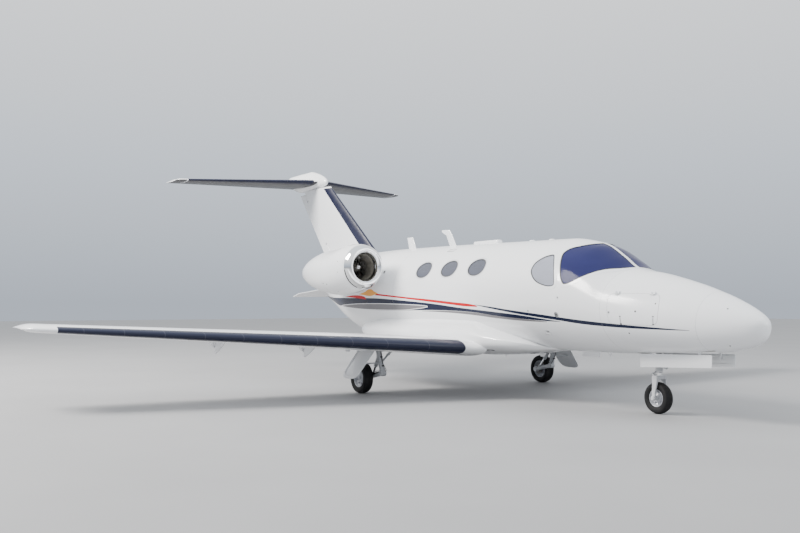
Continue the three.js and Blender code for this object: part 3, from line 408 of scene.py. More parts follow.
def combined(base: Mesh, op: Op, *tools: Mesh, exact: bool = False) -> Mesh:
    """A solid after others are cut from it, met with it or fused to it.

    Args:
        base: The solid.
        op: What the others do to it.
        tools: The others.
        exact: Whether the base may hold solids that run through each other.

    Returns:
        The new solid.
    """
    helpers = []
    for tool in tools:
        helper = bpy.data.objects.new("tool", tool)
        bpy.context.scene.collection.objects.link(helper)
        helpers.append(helper)

    def with_solver(solver: str) -> Callable[[bpy.types.Object], None]:
        """A function that adds the Boolean modifiers.

        Args:
            solver: The name of the solver.

        Returns:
            The function.
        """
        def add(holder: bpy.types.Object) -> None:
            """Adds one modifier for each tool.

            Args:
                holder: The object that holds the base.
            """
            for helper in helpers:
                modifier = holder.modifiers.new("shape", "BOOLEAN")
                modifier.operation = op.value
                modifier.solver = solver
                modifier.use_self = exact
                modifier.object = helper
        return add

    result = evaluated(base, with_solver("EXACT" if exact else "MANIFOLD"))
    unchanged = len(result.vertices) == len(base.vertices) and op is not Op.FUSE
    if (unchanged or not result.polygons) and not exact:
        LOG.debug("exact solver used for %s", op)
        result = evaluated(base, with_solver("EXACT"))
    for helper in helpers:
        bpy.data.objects.remove(helper)
    return result


def cut(base: Mesh, *tools: Mesh) -> Mesh:
    """The base without the tools."""
    return combined(base, Op.CUT, *tools)


def meet(base: Mesh, *tools: Mesh) -> Mesh:
    """What the base shares with each tool."""
    return combined(base, Op.MEET, *tools)


def fused(base: Mesh, *tools: Mesh) -> Mesh:
    """The base and the tools as one solid."""
    return combined(base, Op.FUSE, *tools)


def softened(mesh: Mesh, width: float, segments: int = 2, angle: float = 35.0) -> Mesh:
    """The mesh with its sharp edges rounded by a width in millimetres.

    Args:
        mesh: The mesh.
        width: The width, in millimetres.
        segments: How many steps the rounding has.
        angle: The least angle of a sharp edge, in degrees.

    Returns:
        The rounded mesh.
    """
    def add(holder: bpy.types.Object) -> None:
        """Adds the bevel.

        Args:
            holder: The object that holds the mesh.
        """
        bevel = holder.modifiers.new("edges", "BEVEL")
        bevel.width = width * MM
        bevel.segments = segments
        bevel.limit_method = "ANGLE"
        bevel.angle_limit = math.radians(angle)
        bevel.harden_normals = False
    return evaluated(mesh, add)


def mirrored(mesh: Mesh) -> Mesh:
    """The mesh on the other side of the middle plane, its own shading kept.

    Args:
        mesh: The mesh.

    Returns:
        Its mirror image.
    """
    normals = np.array([c.vector for c in mesh.corner_normals])
    order = corner_order(mesh)
    twin = mesh.copy()
    twin.transform(Matrix.Scale(-1, 4, (0, 1, 0)))
    twin.flip_normals()
    placed = np.empty_like(normals)
    placed[corner_order(twin)] = normals[order] * [1, -1, 1]
    twin.normals_split_custom_set(placed.tolist())
    return twin


def corner_order(mesh: Mesh) -> np.ndarray:
    """Corners sorted by face and vertex, so that two meshes' corners can be matched.

    Args:
        mesh: The mesh.

    Returns:
        The corners' numbers, sorted.
    """
    totals = np.empty(len(mesh.polygons), int)
    mesh.polygons.foreach_get("loop_total", totals)
    vertex = np.empty(len(mesh.loops), int)
    mesh.loops.foreach_get("vertex_index", vertex)
    return np.argsort(np.repeat(np.arange(len(totals)), totals) * len(mesh.vertices) + vertex)


def smooth_by_angle(mesh: Mesh, angle: float = 32.0) -> Mesh:
    """Smooth shading, with edges over the angle kept sharp.

    Args:
        mesh: The mesh.
        angle: The least angle of a sharp edge, in degrees.

    Returns:
        The same mesh.
    """
    mesh.shade_smooth()
    mesh.set_sharp_from_angle(angle=math.radians(angle))
    return mesh


def skin_shaded(mesh: Mesh, *sources: Mesh, reach: float = 1.2, angle: float = 28.0) -> Mesh:
    """Shades a cut piece by the uncut skins that its faces lie on.

    Args:
        mesh: The piece.
        sources: Whole, smooth skins.
        reach: How far from a skin a face may lie, in millimetres.
        angle: How far a face may turn from the skin, in degrees.

    Returns:
        The same mesh, with its corner normals set.
    """
    mesh.shade_smooth()
    mesh.set_sharp_from_angle(angle=math.radians(angle))
    corner = np.array([c.vector for c in mesh.corner_normals])
    face_normal = np.array([p.normal for p in mesh.polygons])
    totals = np.array([p.loop_total for p in mesh.polygons])
    owner = np.repeat(np.arange(len(totals)), totals)
    vertex = np.empty(len(mesh.loops), int)
    mesh.loops.foreach_get("vertex_index", vertex)
    limit = math.cos(math.radians(angle))
    for source in sources:
        smooth = vertex_normals_on(mesh, source, reach * MM)
        found = smooth[vertex]
        fits = np.einsum("ij,ij->i", found, face_normal[owner]) > limit
        corner[fits] = found[fits]
    mesh.normals_split_custom_set(corner.tolist())
    return mesh


def vertex_normals_on(mesh: Mesh, source: Mesh, reach: float) -> np.ndarray:
    """The source's smooth normal at each vertex that lies on it, and zero elsewhere.

    Args:
        mesh: The mesh whose vertices are looked up.
        source: The smooth skin.
        reach: How far from it a vertex may lie, in metres.

    Returns:
        One row for each vertex of the mesh.
    """
    points = [v.co for v in source.vertices]
    normals = np.array([n.vector for n in source.vertex_normals])
    source.calc_loop_triangles()
    triangles = [tuple(t.vertices) for t in source.loop_triangles]
    tree = BVHTree.FromPolygons(points, triangles)
    place = np.array(points)
    out = np.zeros((len(mesh.vertices), 3))
    for i, v in enumerate(mesh.vertices):
        hit, unused, index, gap = tree.find_nearest(v.co, reach)
        if index is None:
            continue
        a, b, c = triangles[index]
        edges = np.array([place[b] - place[a], place[c] - place[a]]).T
        share = np.linalg.lstsq(edges, np.array(hit) - place[a], rcond=None)[0]
        weights = np.clip([1 - share.sum(), share[0], share[1]], 0, 1)
        out[i] = unit(weights @ normals[[a, b, c]] + 1e-12)
    return out


# Finishes


Colour = tuple[float, float, float]
Socket = bpy.types.NodeSocket


class Graph:
    """A material's node tree, made through short calls."""

    def __init__(self, name: str) -> None:
        """Starts a material with a shader and object coordinates.

        Args:
            name: The material's name.
        """
        self.material = bpy.data.materials.new(name)
        self.material.use_nodes = True
        self.tree = self.material.node_tree
        self.shader = self.tree.nodes["Principled BSDF"]
        self.place = self.tree.nodes.new("ShaderNodeTexCoord").outputs["Object"]
        self.x, self.y, self.z = self.add("ShaderNodeSeparateXYZ", {"Vector": self.place}).outputs

    def add(self, kind: str, inputs: dict | None = None, **settings: object) -> bpy.types.Node:
        """A node with its inputs linked or set by name or number.

        Args:
            kind: The node's type.
            inputs: A socket or a value for each input, by its name or number.
            settings: Other values to set on the node.

        Returns:
            The node.
        """
        node = self.tree.nodes.new(kind)
        for key, value in settings.items():
            setattr(node, key, value)
        for key, value in (inputs or {}).items():
            self.feed(node.inputs[key], value)
        return node

    def feed(self, socket: Socket, value: object) -> None:
        """Links a socket to another, or sets it.

        Args:
            socket: The socket.
            value: Another socket, or a plain value.
        """
        if isinstance(value, bpy.types.NodeSocket):
            self.tree.links.new(value, socket)
        else:
            socket.default_value = value

    def math(self, operation: str, *values: object) -> Socket:
        """One step of arithmetic."""
        inputs = dict(enumerate(values))
        return self.add("ShaderNodeMath", inputs, operation=operation).outputs[0]

    def mix(self, share: object, first: object, second: object) -> Socket:
        """A colour between two colours.

        Args:
            share: How much of the second colour is in it, from 0 to 1.
            first: The first colour.
            second: The second colour.

        Returns:
            The mixed colour.
        """
        pair = [(*c, 1.0) if isinstance(c, tuple) and len(c) == 3 else c for c in (first, second)]
        inputs = {0: share, 6: pair[0], 7: pair[1]}
        return self.add("ShaderNodeMix", inputs, data_type="RGBA").outputs[2]

    def noise(self, scale: float, detail: float = 3.0, stretch: Colour = (1, 1, 1)) -> Socket:
        """Cloudy values about a half, stretched along X, Y and Z.

        Args:
            scale: How fine the clouds are.
            detail: How many finer layers they have.
            stretch: Scale along X, Y and Z.

        Returns:
            The noise, from 0 to 1.
        """
        vector = self.place
        if stretch != (1, 1, 1):
            vector = self.add("ShaderNodeMapping", {"Vector": vector, "Scale": stretch}).outputs[0]
        inputs = {"Vector": vector, "Scale": scale, "Detail": detail}
        return self.add("ShaderNodeTexNoise", inputs).outputs[0]

    def between(self, value: object, low: float, high: float) -> Socket:
        """How far a value has come from low to high, from 0 to 1, smoothly.

        Args:
            value: The value.
            low: Where the result is 0.
            high: Where the result is 1.

        Returns:
            The share.
        """
        inputs = {"Value": value, "From Min": low, "From Max": high}
        node = self.add("ShaderNodeMapRange", inputs, interpolation_type="SMOOTHSTEP", clamp=True)
        return node.outputs[0]

    def scaled(self, value: object, low: float, high: float) -> Socket:
        """A value from 0 to 1 spread from low to high."""
        return self.math("MULTIPLY_ADD", value, high - low, low)

    def near(self, value: object, place: float, width: float) -> Socket:
        """One within half a width of a place, and zero away from it."""
        gap = self.math("ABSOLUTE", self.math("SUBTRACT", value, place))
        return self.math("SUBTRACT", 1.0, self.between(gap, width * 0.35, width * 0.65))

    def any_of(self, values: Sequence[Socket]) -> Socket:
        """The largest of several masks.

        Args:
            values: The masks.

        Returns:
            Their largest value.
        """
        total = values[0]
        for value in values[1:]:
            total = self.math("MAXIMUM", total, value)
        return total

    def curve(self, rows: Sequence[Point]) -> Socket:
        """A height in metres over the station, from rows of station and height.

        Args:
            rows: Station and height of each point, in millimetres.

        Returns:
            The height.
        """
        first, last = rows[0][0], rows[-1][0]
        heights = [z for s, z in rows]
        low, span = min(heights) - 1.0, max(heights) - min(heights) + 2.0
        aft = self.math("SUBTRACT", NOSE_X * MM, self.x)
        share = self.math("DIVIDE", self.math("SUBTRACT", aft, first * MM), (last - first) * MM)
        node = self.add("ShaderNodeFloatCurve", {"Value": share})
        line = node.mapping.curves[0]
        for i, (s, z) in enumerate(rows):
            spot = ((s - first) / (last - first), (z - low) / span)
            if i in (0, len(rows) - 1):
                line.points[0 if i == 0 else 1].location = spot
        for s, z in rows[1:-1]:
            line.points.new((s - first) / (last - first), (z - low) / span)
        node.mapping.update()
        return self.math("MULTIPLY_ADD", node.outputs[0], span * MM, low * MM)

    def band(self, top: Sequence[Point], bottom: Sequence[Point], grow: float = 0.0) -> Socket:
        """One between two curves over the same run of stations, and zero outside them.

        Args:
            top: Rows of the upper curve.
            bottom: Rows of the lower curve.
            grow: How far the band reaches past them, in millimetres.

        Returns:
            The mask.
        """
        aft = self.math("SUBTRACT", NOSE_X * MM, self.x)
        under = self.math("SUBTRACT", self.math("ADD", self.curve(top), grow * MM), self.z)
        over = self.math("SUBTRACT", self.z, self.math("SUBTRACT", self.curve(bottom), grow * MM))
        gap = self.math("MINIMUM", under, over)
        ends = self.math("MINIMUM", self.math("SUBTRACT", aft, (top[0][0] - grow) * MM),
                         self.math("SUBTRACT", (top[-1][0] + grow) * MM, aft))
        return self.between(self.math("MINIMUM", gap, ends), -0.4 * MM, 0.6 * MM)

    def relief(self, height: Socket, distance: float, strength: float = 1.0) -> None:
        """Bumps the surface by a height from 0 to 1, over a distance in millimetres.

        Args:
            height: The height.
            distance: How far a height of 1 stands out.
            strength: How strongly the bump shows.
        """
        inputs = {"Height": height, "Distance": distance * MM, "Strength": strength}
        normal = self.add("ShaderNodeBump", inputs).outputs[0]
        self.tree.links.new(normal, self.shader.inputs["Normal"])

    def set(self, **values: object) -> None:
        """Sets or links the shader's sockets, with _ for a space in their names."""
        for key, value in values.items():
            name = key.replace("_", " ")
            value = (*value, 1.0) if name in ("Base Color", "Emission Color") and isinstance(
                value, tuple) and len(value) == 3 else value
            self.feed(self.shader.inputs[name], value)


@dataclass(frozen=True)
class Finish:
    """A finish: its name, colour and roughness."""

    name: str
    colour: Colour
    roughness: float = 0.4

    def material(self) -> bpy.types.Material:
        """The finish as a material, made once.

        Returns:
            The material.
        """
        known = bpy.data.materials.get(self.name)
        if known:
            return known
        graph = Graph(self.name)
        self.dress(graph)
        return graph.material

    def dress(self, graph: Graph) -> None:
        """Puts the finish's nodes on a graph; each kind of finish has its own."""
        raise NotImplementedError


@dataclass(frozen=True)
class Paint(Finish):
    """Sprayed gloss paint: faint orange peel, soft grime low down and panel joints."""

    grime: float = 0.10
    grime_top: float = 900.0
    joints: tuple[float, ...] = ()
    joint_width: float = 4.0
    coat: float = 0.55

    def tone(self, graph: Graph) -> Socket:
        """The paint's colour before grime.

        Args:
            graph: The material's graph.

        Returns:
            The colour.
        """
        cloud = graph.noise(0.8, 2.0)
        shade = tuple(c * 0.965 for c in self.colour)
        return graph.mix(cloud, self.colour, shade)

    def dress(self, graph: Graph) -> None:
        """Colour, grime, joints and orange peel.

        Args:
            graph: The material's graph.
        """
        streak = graph.noise(2.6, 5.0, (0.35, 1.0, 2.2))
        low = graph.math("SUBTRACT", 1.0, graph.between(graph.z, 0.55, self.grime_top * MM))
        dirt = graph.math("MULTIPLY", graph.between(streak, 0.42, 0.75), low)
        dirt = graph.math("MULTIPLY_ADD", dirt, self.grime, graph.math(
            "MULTIPLY", graph.between(graph.noise(11.0, 6.0), 0.62, 0.85), self.grime * 0.3))
        colour = graph.mix(dirt, self.tone(graph), (0.33, 0.31, 0.29))
        peel = graph.noise(420.0, 1.0)
        height = graph.math("MULTIPLY", peel, 0.12)
        if self.joints:
            aft = graph.math("SUBTRACT", NOSE_X * MM, graph.x)
            lines = graph.any_of([graph.near(aft, s * MM, self.joint_width * MM)
                                  for s in self.joints])
            colour = graph.mix(graph.math("MULTIPLY", lines, 0.45), colour, (0.28, 0.29, 0.31))
            height = graph.math("SUBTRACT", height, lines)
        graph.relief(height, 0.35, 0.5)
        rough = graph.scaled(graph.noise(5.0, 4.0), self.roughness * 0.75, self.roughness * 1.35)
        rough = graph.math("ADD", rough, graph.math("MULTIPLY", dirt, 0.6))
        graph.set(Base_Color=colour, Roughness=rough, Coat_Weight=self.coat,
                  Coat_Roughness=0.06, IOR=1.5)


# The striping on the fuselage. Each row: station and height, from the nose aft.
FRONT_SWEEP_TOP = [(700, 1046), (1040, 1067), (1560, 1098), (2190, 1140), (2910, 1204),
                   (3510, 1257), (3940, 1301), (4300, 1330)]
FRONT_SWEEP_LOW = [(700, 1042), (1040, 1046), (1560, 1059), (2190, 1092), (2590, 1131),
                   (2910, 1160), (3510, 1222), (4300, 1327)]
LONG_SWEEP_TOP = [(2560, 1116), (2860, 1143), (3320, 1188), (3770, 1222), (4660, 1283),
                  (5420, 1346), (6220, 1393), (7100, 1432), (8030, 1440), (9150, 1462),
                  (10250, 1560)]
LONG_SWEEP_LOW = [(2560, 1112), (2760, 1115), (3320, 1142), (3770, 1168), (4440, 1222),
                  (5030, 1240), (5740, 1240), (6400, 1228), (7320, 1234), (8450, 1284),
                  (9150, 1385), (10250, 1556)]
RED_TOP = [(4235, 1303), (4350, 1332), (4890, 1371), (5410, 1407), (5970, 1440), (6580, 1479),
           (7060, 1512)]
RED_LOW = [(4235, 1297), (4500, 1303), (4890, 1330), (5410, 1368), (5970, 1409), (6580, 1452),
           (7060, 1482)]
GREY_TOP = [(2830, 1110), (3320, 1142), (3770, 1168), (4440, 1220), (5030, 1236), (5700, 1230)]
GREY_LOW = [(2830, 1102), (3320, 1112), (3770, 1134), (4440, 1182), (5030, 1209), (5700, 1224)]
LENS_TOP = [(5520, 1299), (6230, 1326), (7270, 1337), (8000, 1325), (8560, 1300)]
LENS_LOW = [(5520, 1296), (5900, 1262), (6400, 1240), (7320, 1244), (8000, 1266), (8560, 1297)]
GOLD_TOP = [(6970, 1514), (7100, 1548), (7240, 1586), (7420, 1542), (7640, 1506)]
GOLD_LOW = [(6970, 1510), (7100, 1488), (7240, 1470), (7420, 1484), (7640, 1502)]
EMBER_TOP = [(7390, 1415), (7680, 1486), (8250, 1462)]
EMBER_LOW = [(7390, 1411), (7850, 1442), (8250, 1458)]


@dataclass(frozen=True)
class StripedPaint(Paint):
    """Gloss paint with the fuselage's sweeping stripes."""

    navy: Colour = (0.010, 0.014, 0.035)
    red: Colour = (0.50, 0.006, 0.012)
    grey: Colour = (0.17, 0.165, 0.175)
    gold: Colour = (0.80, 0.36, 0.07)
    line: float = 9.0

    def tone(self, graph: Graph) -> Socket:
        """White paint with the stripes laid over it, the lowest first.

        Args:
            graph: The material's graph.

        Returns:
            The colour.
        """
        white = super().tone(graph)
        layers = [
            (graph.band(GREY_TOP, GREY_LOW), self.grey),
            (graph.band(LONG_SWEEP_TOP, LONG_SWEEP_LOW), self.navy),
            (graph.band(LENS_TOP, LENS_LOW, self.line), self.colour),
            (graph.band(LENS_TOP, LENS_LOW), self.grey),
            (graph.band(RED_TOP, RED_LOW), self.red),
            (graph.band(FRONT_SWEEP_TOP, FRONT_SWEEP_LOW), self.navy),
            (graph.band(GOLD_TOP, GOLD_LOW), self.gold),
            (graph.band(EMBER_TOP, EMBER_LOW), self.red),
        ]
        for mask, colour in layers:
            white = graph.mix(mask, white, colour)
        painted = graph.any_of([mask for mask, colour in layers])
        graph.set(Specular_IOR_Level=graph.scaled(painted, 0.5, 0.12))
        return white


@dataclass(frozen=True)
class Metal(Finish):
    """Bare metal: brushed along one direction, with smudges."""

    stretch: Colour = (1.0, 1.0, 1.0)
    grain: float = 60.0
    smudge: float = 0.25
    depth: float = 0.06

    def dress(self, graph: Graph) -> None:
        """Grain, smudges and a slight relief.

        Args:
            graph: The material's graph.
        """
        grain = graph.noise(self.grain, 6.0, self.stretch)
        smudge = graph.between(graph.noise(6.0, 5.0), 0.35, 0.8)
        dark = tuple(c * 0.62 for c in self.colour)
        colour = graph.mix(graph.math("MULTIPLY", smudge, self.smudge), self.colour, dark)
        low, high = self.roughness * 0.7, self.roughness * 1.3
        rough = graph.math("ADD", graph.scaled(grain, low, high),
                           graph.math("MULTIPLY", smudge, 0.12 * self.smudge))
        graph.relief(grain, self.depth, 0.6)
        graph.set(Base_Color=colour, Roughness=rough, Metallic=1.0)


@dataclass(frozen=True)
class Enamel(Finish):
    """Plain paint on a fitting: light wear, fine texture and grease in random patches."""

    wear: Colour = (0.30, 0.30, 0.31)
    wear_share: float = 0.5

    def dress(self, graph: Graph) -> None:
        """Chips, grease and texture.

        Args:
            graph: The material's graph.
        """
        chips = graph.between(graph.noise(55.0, 8.0), 0.66, 0.72)
        grease = graph.between(graph.noise(9.0, 5.0), 0.5, 0.8)
        colour = graph.mix(graph.math("MULTIPLY", grease, 0.4), self.colour,
                           tuple(c * 0.45 for c in self.colour))
        colour = graph.mix(graph.math("MULTIPLY", chips, self.wear_share), colour, self.wear)
        height = graph.math("MULTIPLY_ADD", graph.noise(260.0, 2.0), 0.4,
                            graph.math("MULTIPLY", chips, -0.6))
        graph.relief(height, 0.25, 0.5)
        rough = graph.math("MULTIPLY_ADD", grease, 0.2, self.roughness)
        graph.set(Base_Color=colour, Roughness=rough, Coat_Weight=0.2, Coat_Roughness=0.2)


@dataclass(frozen=True)
class Rubber(Finish):
    """Rubber: matt for tyres, glossy for the boots on the leading edges."""

    dust: float = 0.35
    grain: float = 0.3
    gloss_coat: float = 0.0
    lines: tuple[float, ...] = ()
    shine: float = 0.3

    def dress(self, graph: Graph) -> None:
        """Dust, fine grain and moulded seams across the span.

        Args:
            graph: The material's graph.
        """
        dust = graph.between(graph.noise(7.0, 6.0), 0.4, 0.85)
        colour = graph.mix(graph.math("MULTIPLY", dust, self.dust), self.colour,
                           (0.16, 0.15, 0.14))
        height = graph.math("MULTIPLY", graph.noise(300.0, 3.0), self.grain)
        if self.lines:
            span = graph.math("ABSOLUTE", graph.y)
            seams = graph.any_of([graph.near(span, y * MM, 5 * MM) for y in self.lines])
            colour = graph.mix(graph.math("MULTIPLY", seams, 0.5), colour, (0.12, 0.12, 0.15))
            height = graph.math("ADD", height, seams)
        graph.relief(height, 0.3, 0.5)
        rough = graph.scaled(dust, self.roughness, self.roughness + 0.18)
        graph.set(Base_Color=colour, Roughness=rough, Coat_Weight=self.gloss_coat,
                  Coat_Roughness=0.12, IOR=1.5, Specular_IOR_Level=self.shine)


@dataclass(frozen=True)
class Glass(Finish):
    """Tinted acrylic with faint wipe marks."""

    clear: float = 0.75
    coat: float = 0.4
    shine: float = 0.5

    def dress(self, graph: Graph) -> None:
        """Tint, wipe marks and coat.

        Args:
            graph: The material's graph.
        """
        wipe = graph.noise(3.0, 5.0, (1.0, 1.0, 3.0))
        colour = graph.mix(wipe, self.colour, tuple(min(1.0, c * 1.25) for c in self.colour))
        rough = graph.scaled(graph.between(wipe, 0.4, 0.8), self.roughness, self.roughness + 0.05)
        graph.set(Base_Color=colour, Roughness=rough, Transmission_Weight=self.clear, IOR=1.3,
                  Coat_Weight=self.coat, Coat_Roughness=0.02, Specular_IOR_Level=self.shine)


@dataclass(frozen=True)
class Cloth(Finish):
    """Leather, carpet or trim: pores or loops, folds and handling marks."""

    pore: float = 400.0
    depth: float = 0.8
    sheen: float = 0.1

    def dress(self, graph: Graph) -> None:
        """Pores, patches and sheen.

        Args:
            graph: The material's graph.
        """
        cells = graph.add("ShaderNodeTexVoronoi", {"Vector": graph.place, "Scale": self.pore})
        patch = graph.noise(5.0, 4.0)
        colour = graph.mix(graph.between(patch, 0.35, 0.75), self.colour,
                           tuple(c * 0.72 for c in self.colour))
        height = graph.math("ADD", cells.outputs["Distance"],
                            graph.math("MULTIPLY", graph.noise(30.0, 4.0), 0.8))
        graph.relief(height, self.depth, 0.5)
        rough = graph.scaled(patch, self.roughness - 0.08, self.roughness + 0.1)
        graph.set(Base_Color=colour, Roughness=rough, Sheen_Weight=self.sheen,
                  Sheen_Roughness=0.4)


@dataclass(frozen=True)
class Lamp(Finish):
    """A coloured lens over a lamp, ribbed inside."""

    glow: float = 0.4

    def dress(self, graph: Graph) -> None:
        """Tint, ribs and a little light.

        Args:
            graph: The material's graph.
        """
        ribs = graph.math("SINE", graph.math("MULTIPLY", graph.z, 900.0))
        graph.relief(graph.scaled(ribs, 0.3, 0.7), 0.5, 0.4)
        colour = graph.mix(graph.noise(40.0), self.colour, tuple(c * 0.7 for c in self.colour))
        graph.set(Base_Color=colour, Roughness=self.roughness, Transmission_Weight=0.35,
                  Emission_Color=self.colour, Emission_Strength=self.glow, IOR=1.45)


WHITE = (0.86, 0.87, 0.885)
HULL_PAINT = StripedPaint("fuselage_paint", WHITE, 0.2, joints=(630, 1840, 6500, 9300),
                          coat=0.12)
WHITE_PAINT = Paint("gloss_white", WHITE, 0.2)
WING_PAINT = Paint("wing_paint", (0.84, 0.85, 0.87), 0.24, grime_top=1000.0)
COWL_PAINT = Paint("cowl_paint", WHITE, 0.2, joints=(6740, 7480, 8330), joint_width=5.0)
TAIL_PAINT = Paint("tail_paint", WHITE, 0.2, grime=0.05)
# Near-black colour for the tailplane's underside: painted shade for the side that faces away from
# the light, not a grey paint.
UNDERSIDE_SHADE_PAINT = Paint("grey_underside", (0.05, 0.05, 0.056), 0.4, grime=0.04, coat=0.1)
BOOT = Rubber("boot_rubber", (0.006, 0.009, 0.030), 0.3, dust=0.0, gloss_coat=0.15, grain=0.0,
              lines=(1500, 2080, 2560, 3030, 3500, 3980, 4460, 4950, 5430, 5900))
TAIL_BOOT = Rubber("tail_boot_rubber", (0.007, 0.009, 0.030), 0.34, dust=0.0,
                   gloss_coat=0.1, grain=0.0, lines=(640, 1220, 1800))
TYRE = Rubber("tyre_compound", (0.012, 0.012, 0.013), 0.68, dust=0.14, shine=0.2)
SEAL = Rubber("window_seal", (0.03, 0.032, 0.036), 0.5, dust=0.15)
POLISHED = Metal("polished_lip", (0.86, 0.87, 0.88), 0.08, grain=90.0, smudge=0.15, depth=0.01)
STEEL = Metal("satin_steel", (0.62, 0.63, 0.64), 0.3, grain=160.0)
CHROME = Metal("chrome_piston", (0.88, 0.88, 0.89), 0.06, grain=200.0, smudge=0.1, depth=0.01)
TITANIUM = Metal("heated_nozzle", (0.40, 0.36, 0.33), 0.38, grain=120.0, smudge=0.7)
BLADE_METAL = Metal("fan_blade_metal", (0.55, 0.56, 0.58), 0.25, stretch=(1, 6, 6))
LINER = Enamel("inlet_liner", (0.30, 0.28, 0.24), 0.4, wear_share=0.1)
GEAR_ENAMEL = Enamel("gear_enamel", (0.53, 0.54, 0.56), 0.35)
RIM_ENAMEL = Enamel("rim_enamel", (0.42, 0.43, 0.46), 0.32)
BAY_PRIMER = Enamel("bay_primer", (0.47, 0.48, 0.44), 0.6, wear_share=0.2)
DARK_STEEL = Enamel("brake_steel", (0.10, 0.095, 0.09), 0.5, wear=(0.35, 0.2, 0.1))
BLACK_TRIM = Enamel("black_trim", (0.022, 0.022, 0.024), 0.45, wear_share=0.1)
CABIN_GLASS = Glass("cabin_glass", (0.12, 0.13, 0.17), 0.03, clear=0.45, coat=0.2)
# Windscreen glass made dark and nearly opaque: painted shade that stands for the unlit cockpit
# behind it, over a slight tint.
COCKPIT_SHADE_GLASS = Glass("cockpit_glass", (0.024, 0.026, 0.088), 0.1, clear=0.1, coat=0.0,
                      shine=0.08)
QUARTER_GLASS = Glass("quarter_glass", (0.40, 0.42, 0.49), 0.03, clear=0.4, coat=0.3)
FRAME_PAINT = Paint("window_frame", (0.66, 0.67, 0.70), 0.3)
LEATHER = Cloth("cream_leather", (0.50, 0.42, 0.31), 0.5, pore=700.0, depth=0.4)
CARPET = Cloth("cabin_carpet", (0.13, 0.115, 0.10), 0.95, pore=260.0, depth=2.0, sheen=0.5)
LINING = Cloth("cabin_lining", (0.60, 0.57, 0.51), 0.8, pore=340.0, depth=0.3, sheen=0.2)
PANEL = Enamel("instrument_panel", (0.05, 0.052, 0.058), 0.6, wear_share=0.1)
SCREEN = Lamp("display_glass", (0.01, 0.02, 0.03), 0.08, glow=0.0)
RED_LENS = Lamp("beacon_lens", (0.6, 0.02, 0.02), 0.1)
CLEAR_LENS = Lamp("clear_lens", (0.85, 0.88, 0.9), 0.05, glow=0.1)


# The airframe's own geometry


@dataclass(frozen=True)
class Row:
    """One section of a lofted body."""

    station: float
    crown: float
    keel: float
    half: float
    waist: float


@dataclass
class Body:
    """A body lofted through rows of sections, smooth between them."""

    rows: tuple[Row, ...]
    sides: int = 96
    step: float = 0.6
    keel_power: float = 2.0

    def __post_init__(self) -> None:
        """Keeps the rows as arrays, over the root of the station, which rounds the nose."""
        table = np.array([[r.station, r.crown, r.keel, r.half, r.waist] for r in self.rows])
        self.start = table[0, 0]
        self.root = np.sqrt(table[:, 0] - self.start)
        self.table = table

    def section(self, stations: np.ndarray) -> np.ndarray:
        """Crown, keel, half width and waist at each station, on the smooth body."""
        at = np.sqrt(np.maximum(np.atleast_1d(stations) - self.start, 0))
        return monotone(self.root, self.table[:, 1:], at)

    def half_at(self, station: float, height: float) -> float:
        """Half width at a station and height.

        Args:
            station: The station.
            height: The height.

        Returns:
            The half width, or zero above the crown and below the keel.
        """
        crown, keel, half, waist = self.section(np.array([station]))[0]
        rise, power = (crown - waist, 2) if height > waist else (waist - keel, self.keel_power)
        return half * max(0.0, 1 - (abs(height - waist) / rise) ** power) ** (1 / power)

    def on_skin(self, station: float, height: float, side: int, out: float = 0.0) -> np.ndarray:
        """A point on the skin, or a distance off it."""
        here = np.array([NOSE_X - station, side * self.half_at(station, height), height])
        return here + out * self.out_of(station, height, side)

    def out_of(self, station: float, height: float, side: int) -> np.ndarray:
        """The outward direction on the skin.

        Args:
            station: The station.
            height: The height.
            side: 1 for port and -1 for starboard.

        Returns:
            The direction, one long.
        """
        d = 4.0
        aft = [-2 * d, side * (self.half_at(station + d, height)
                               - self.half_at(station - d, height)), 0]
        up = [0, side * (self.half_at(station, height + d)
                         - self.half_at(station, height - d)), 2 * d]
        return side * unit(np.cross(aft, up))

    def on_ring(self, station: float, turn: float, out: float = 0.0) -> np.ndarray:
        """A point on the skin by its angle round the section, from the port waist upward."""
        return self.ring(station, out, np.array([turn]))[0]

    def ring(self, station: float, grow: float, turns: np.ndarray) -> np.ndarray:
        """Points of a section by their angles.

        Args:
            station: The section's station.
            grow: How far it stands outside the skin.
            turns: Angles from the port waist upward, in radians.

        Returns:
            The points in X, Y and Z.
        """
        crown, keel, half, waist = self.section(np.array([station]))[0]
        lift, drop = crown - waist + grow, waist - keel + grow
        c, s = np.cos(turns), np.sin(turns)
        low = s < 0
        power = np.where(low, 2 / self.keel_power, 1.0)
        across = np.sign(c) * np.abs(c) ** power
        lifted = np.sign(s) * np.abs(s) ** power
        return np.stack([np.full_like(turns, NOSE_X - station), (half + grow) * across,
                         waist + np.where(low, drop, lift) * lifted], 1)

    def solid(self, grow: float = 0.0, start: float = -1e9, end: float = 1e9) -> Mesh:
        """The body, grown or shrunk, between two stations.

        Args:
            grow: How far it stands outside the skin, or inside if below zero.
            start: The first station.
            end: The last station.

        Returns:
            The solid.
        """
        first, last = max(start, self.table[0, 0]), min(end, self.table[-1, 0])
        roots = np.arange(0, self.root[-1], self.step) ** 2 + self.start
        places = np.union1d(roots, self.table[:, 0])
        places = np.concatenate([[first], places[(places > first + 1) & (places < last - 1)],
                                 [last]])
        turns = np.arange(self.sides) * 2 * math.pi / self.sides
        rings = [self.ring(s, grow, turns) for s in places
                 if self.section(np.array([s]))[0, 2] + grow > 3]
        return loft(rings)


def rows(*values: Sequence[float]) -> tuple[Row, ...]:
    """Rows of a body from plain numbers."""
    return tuple(Row(*v) for v in values)


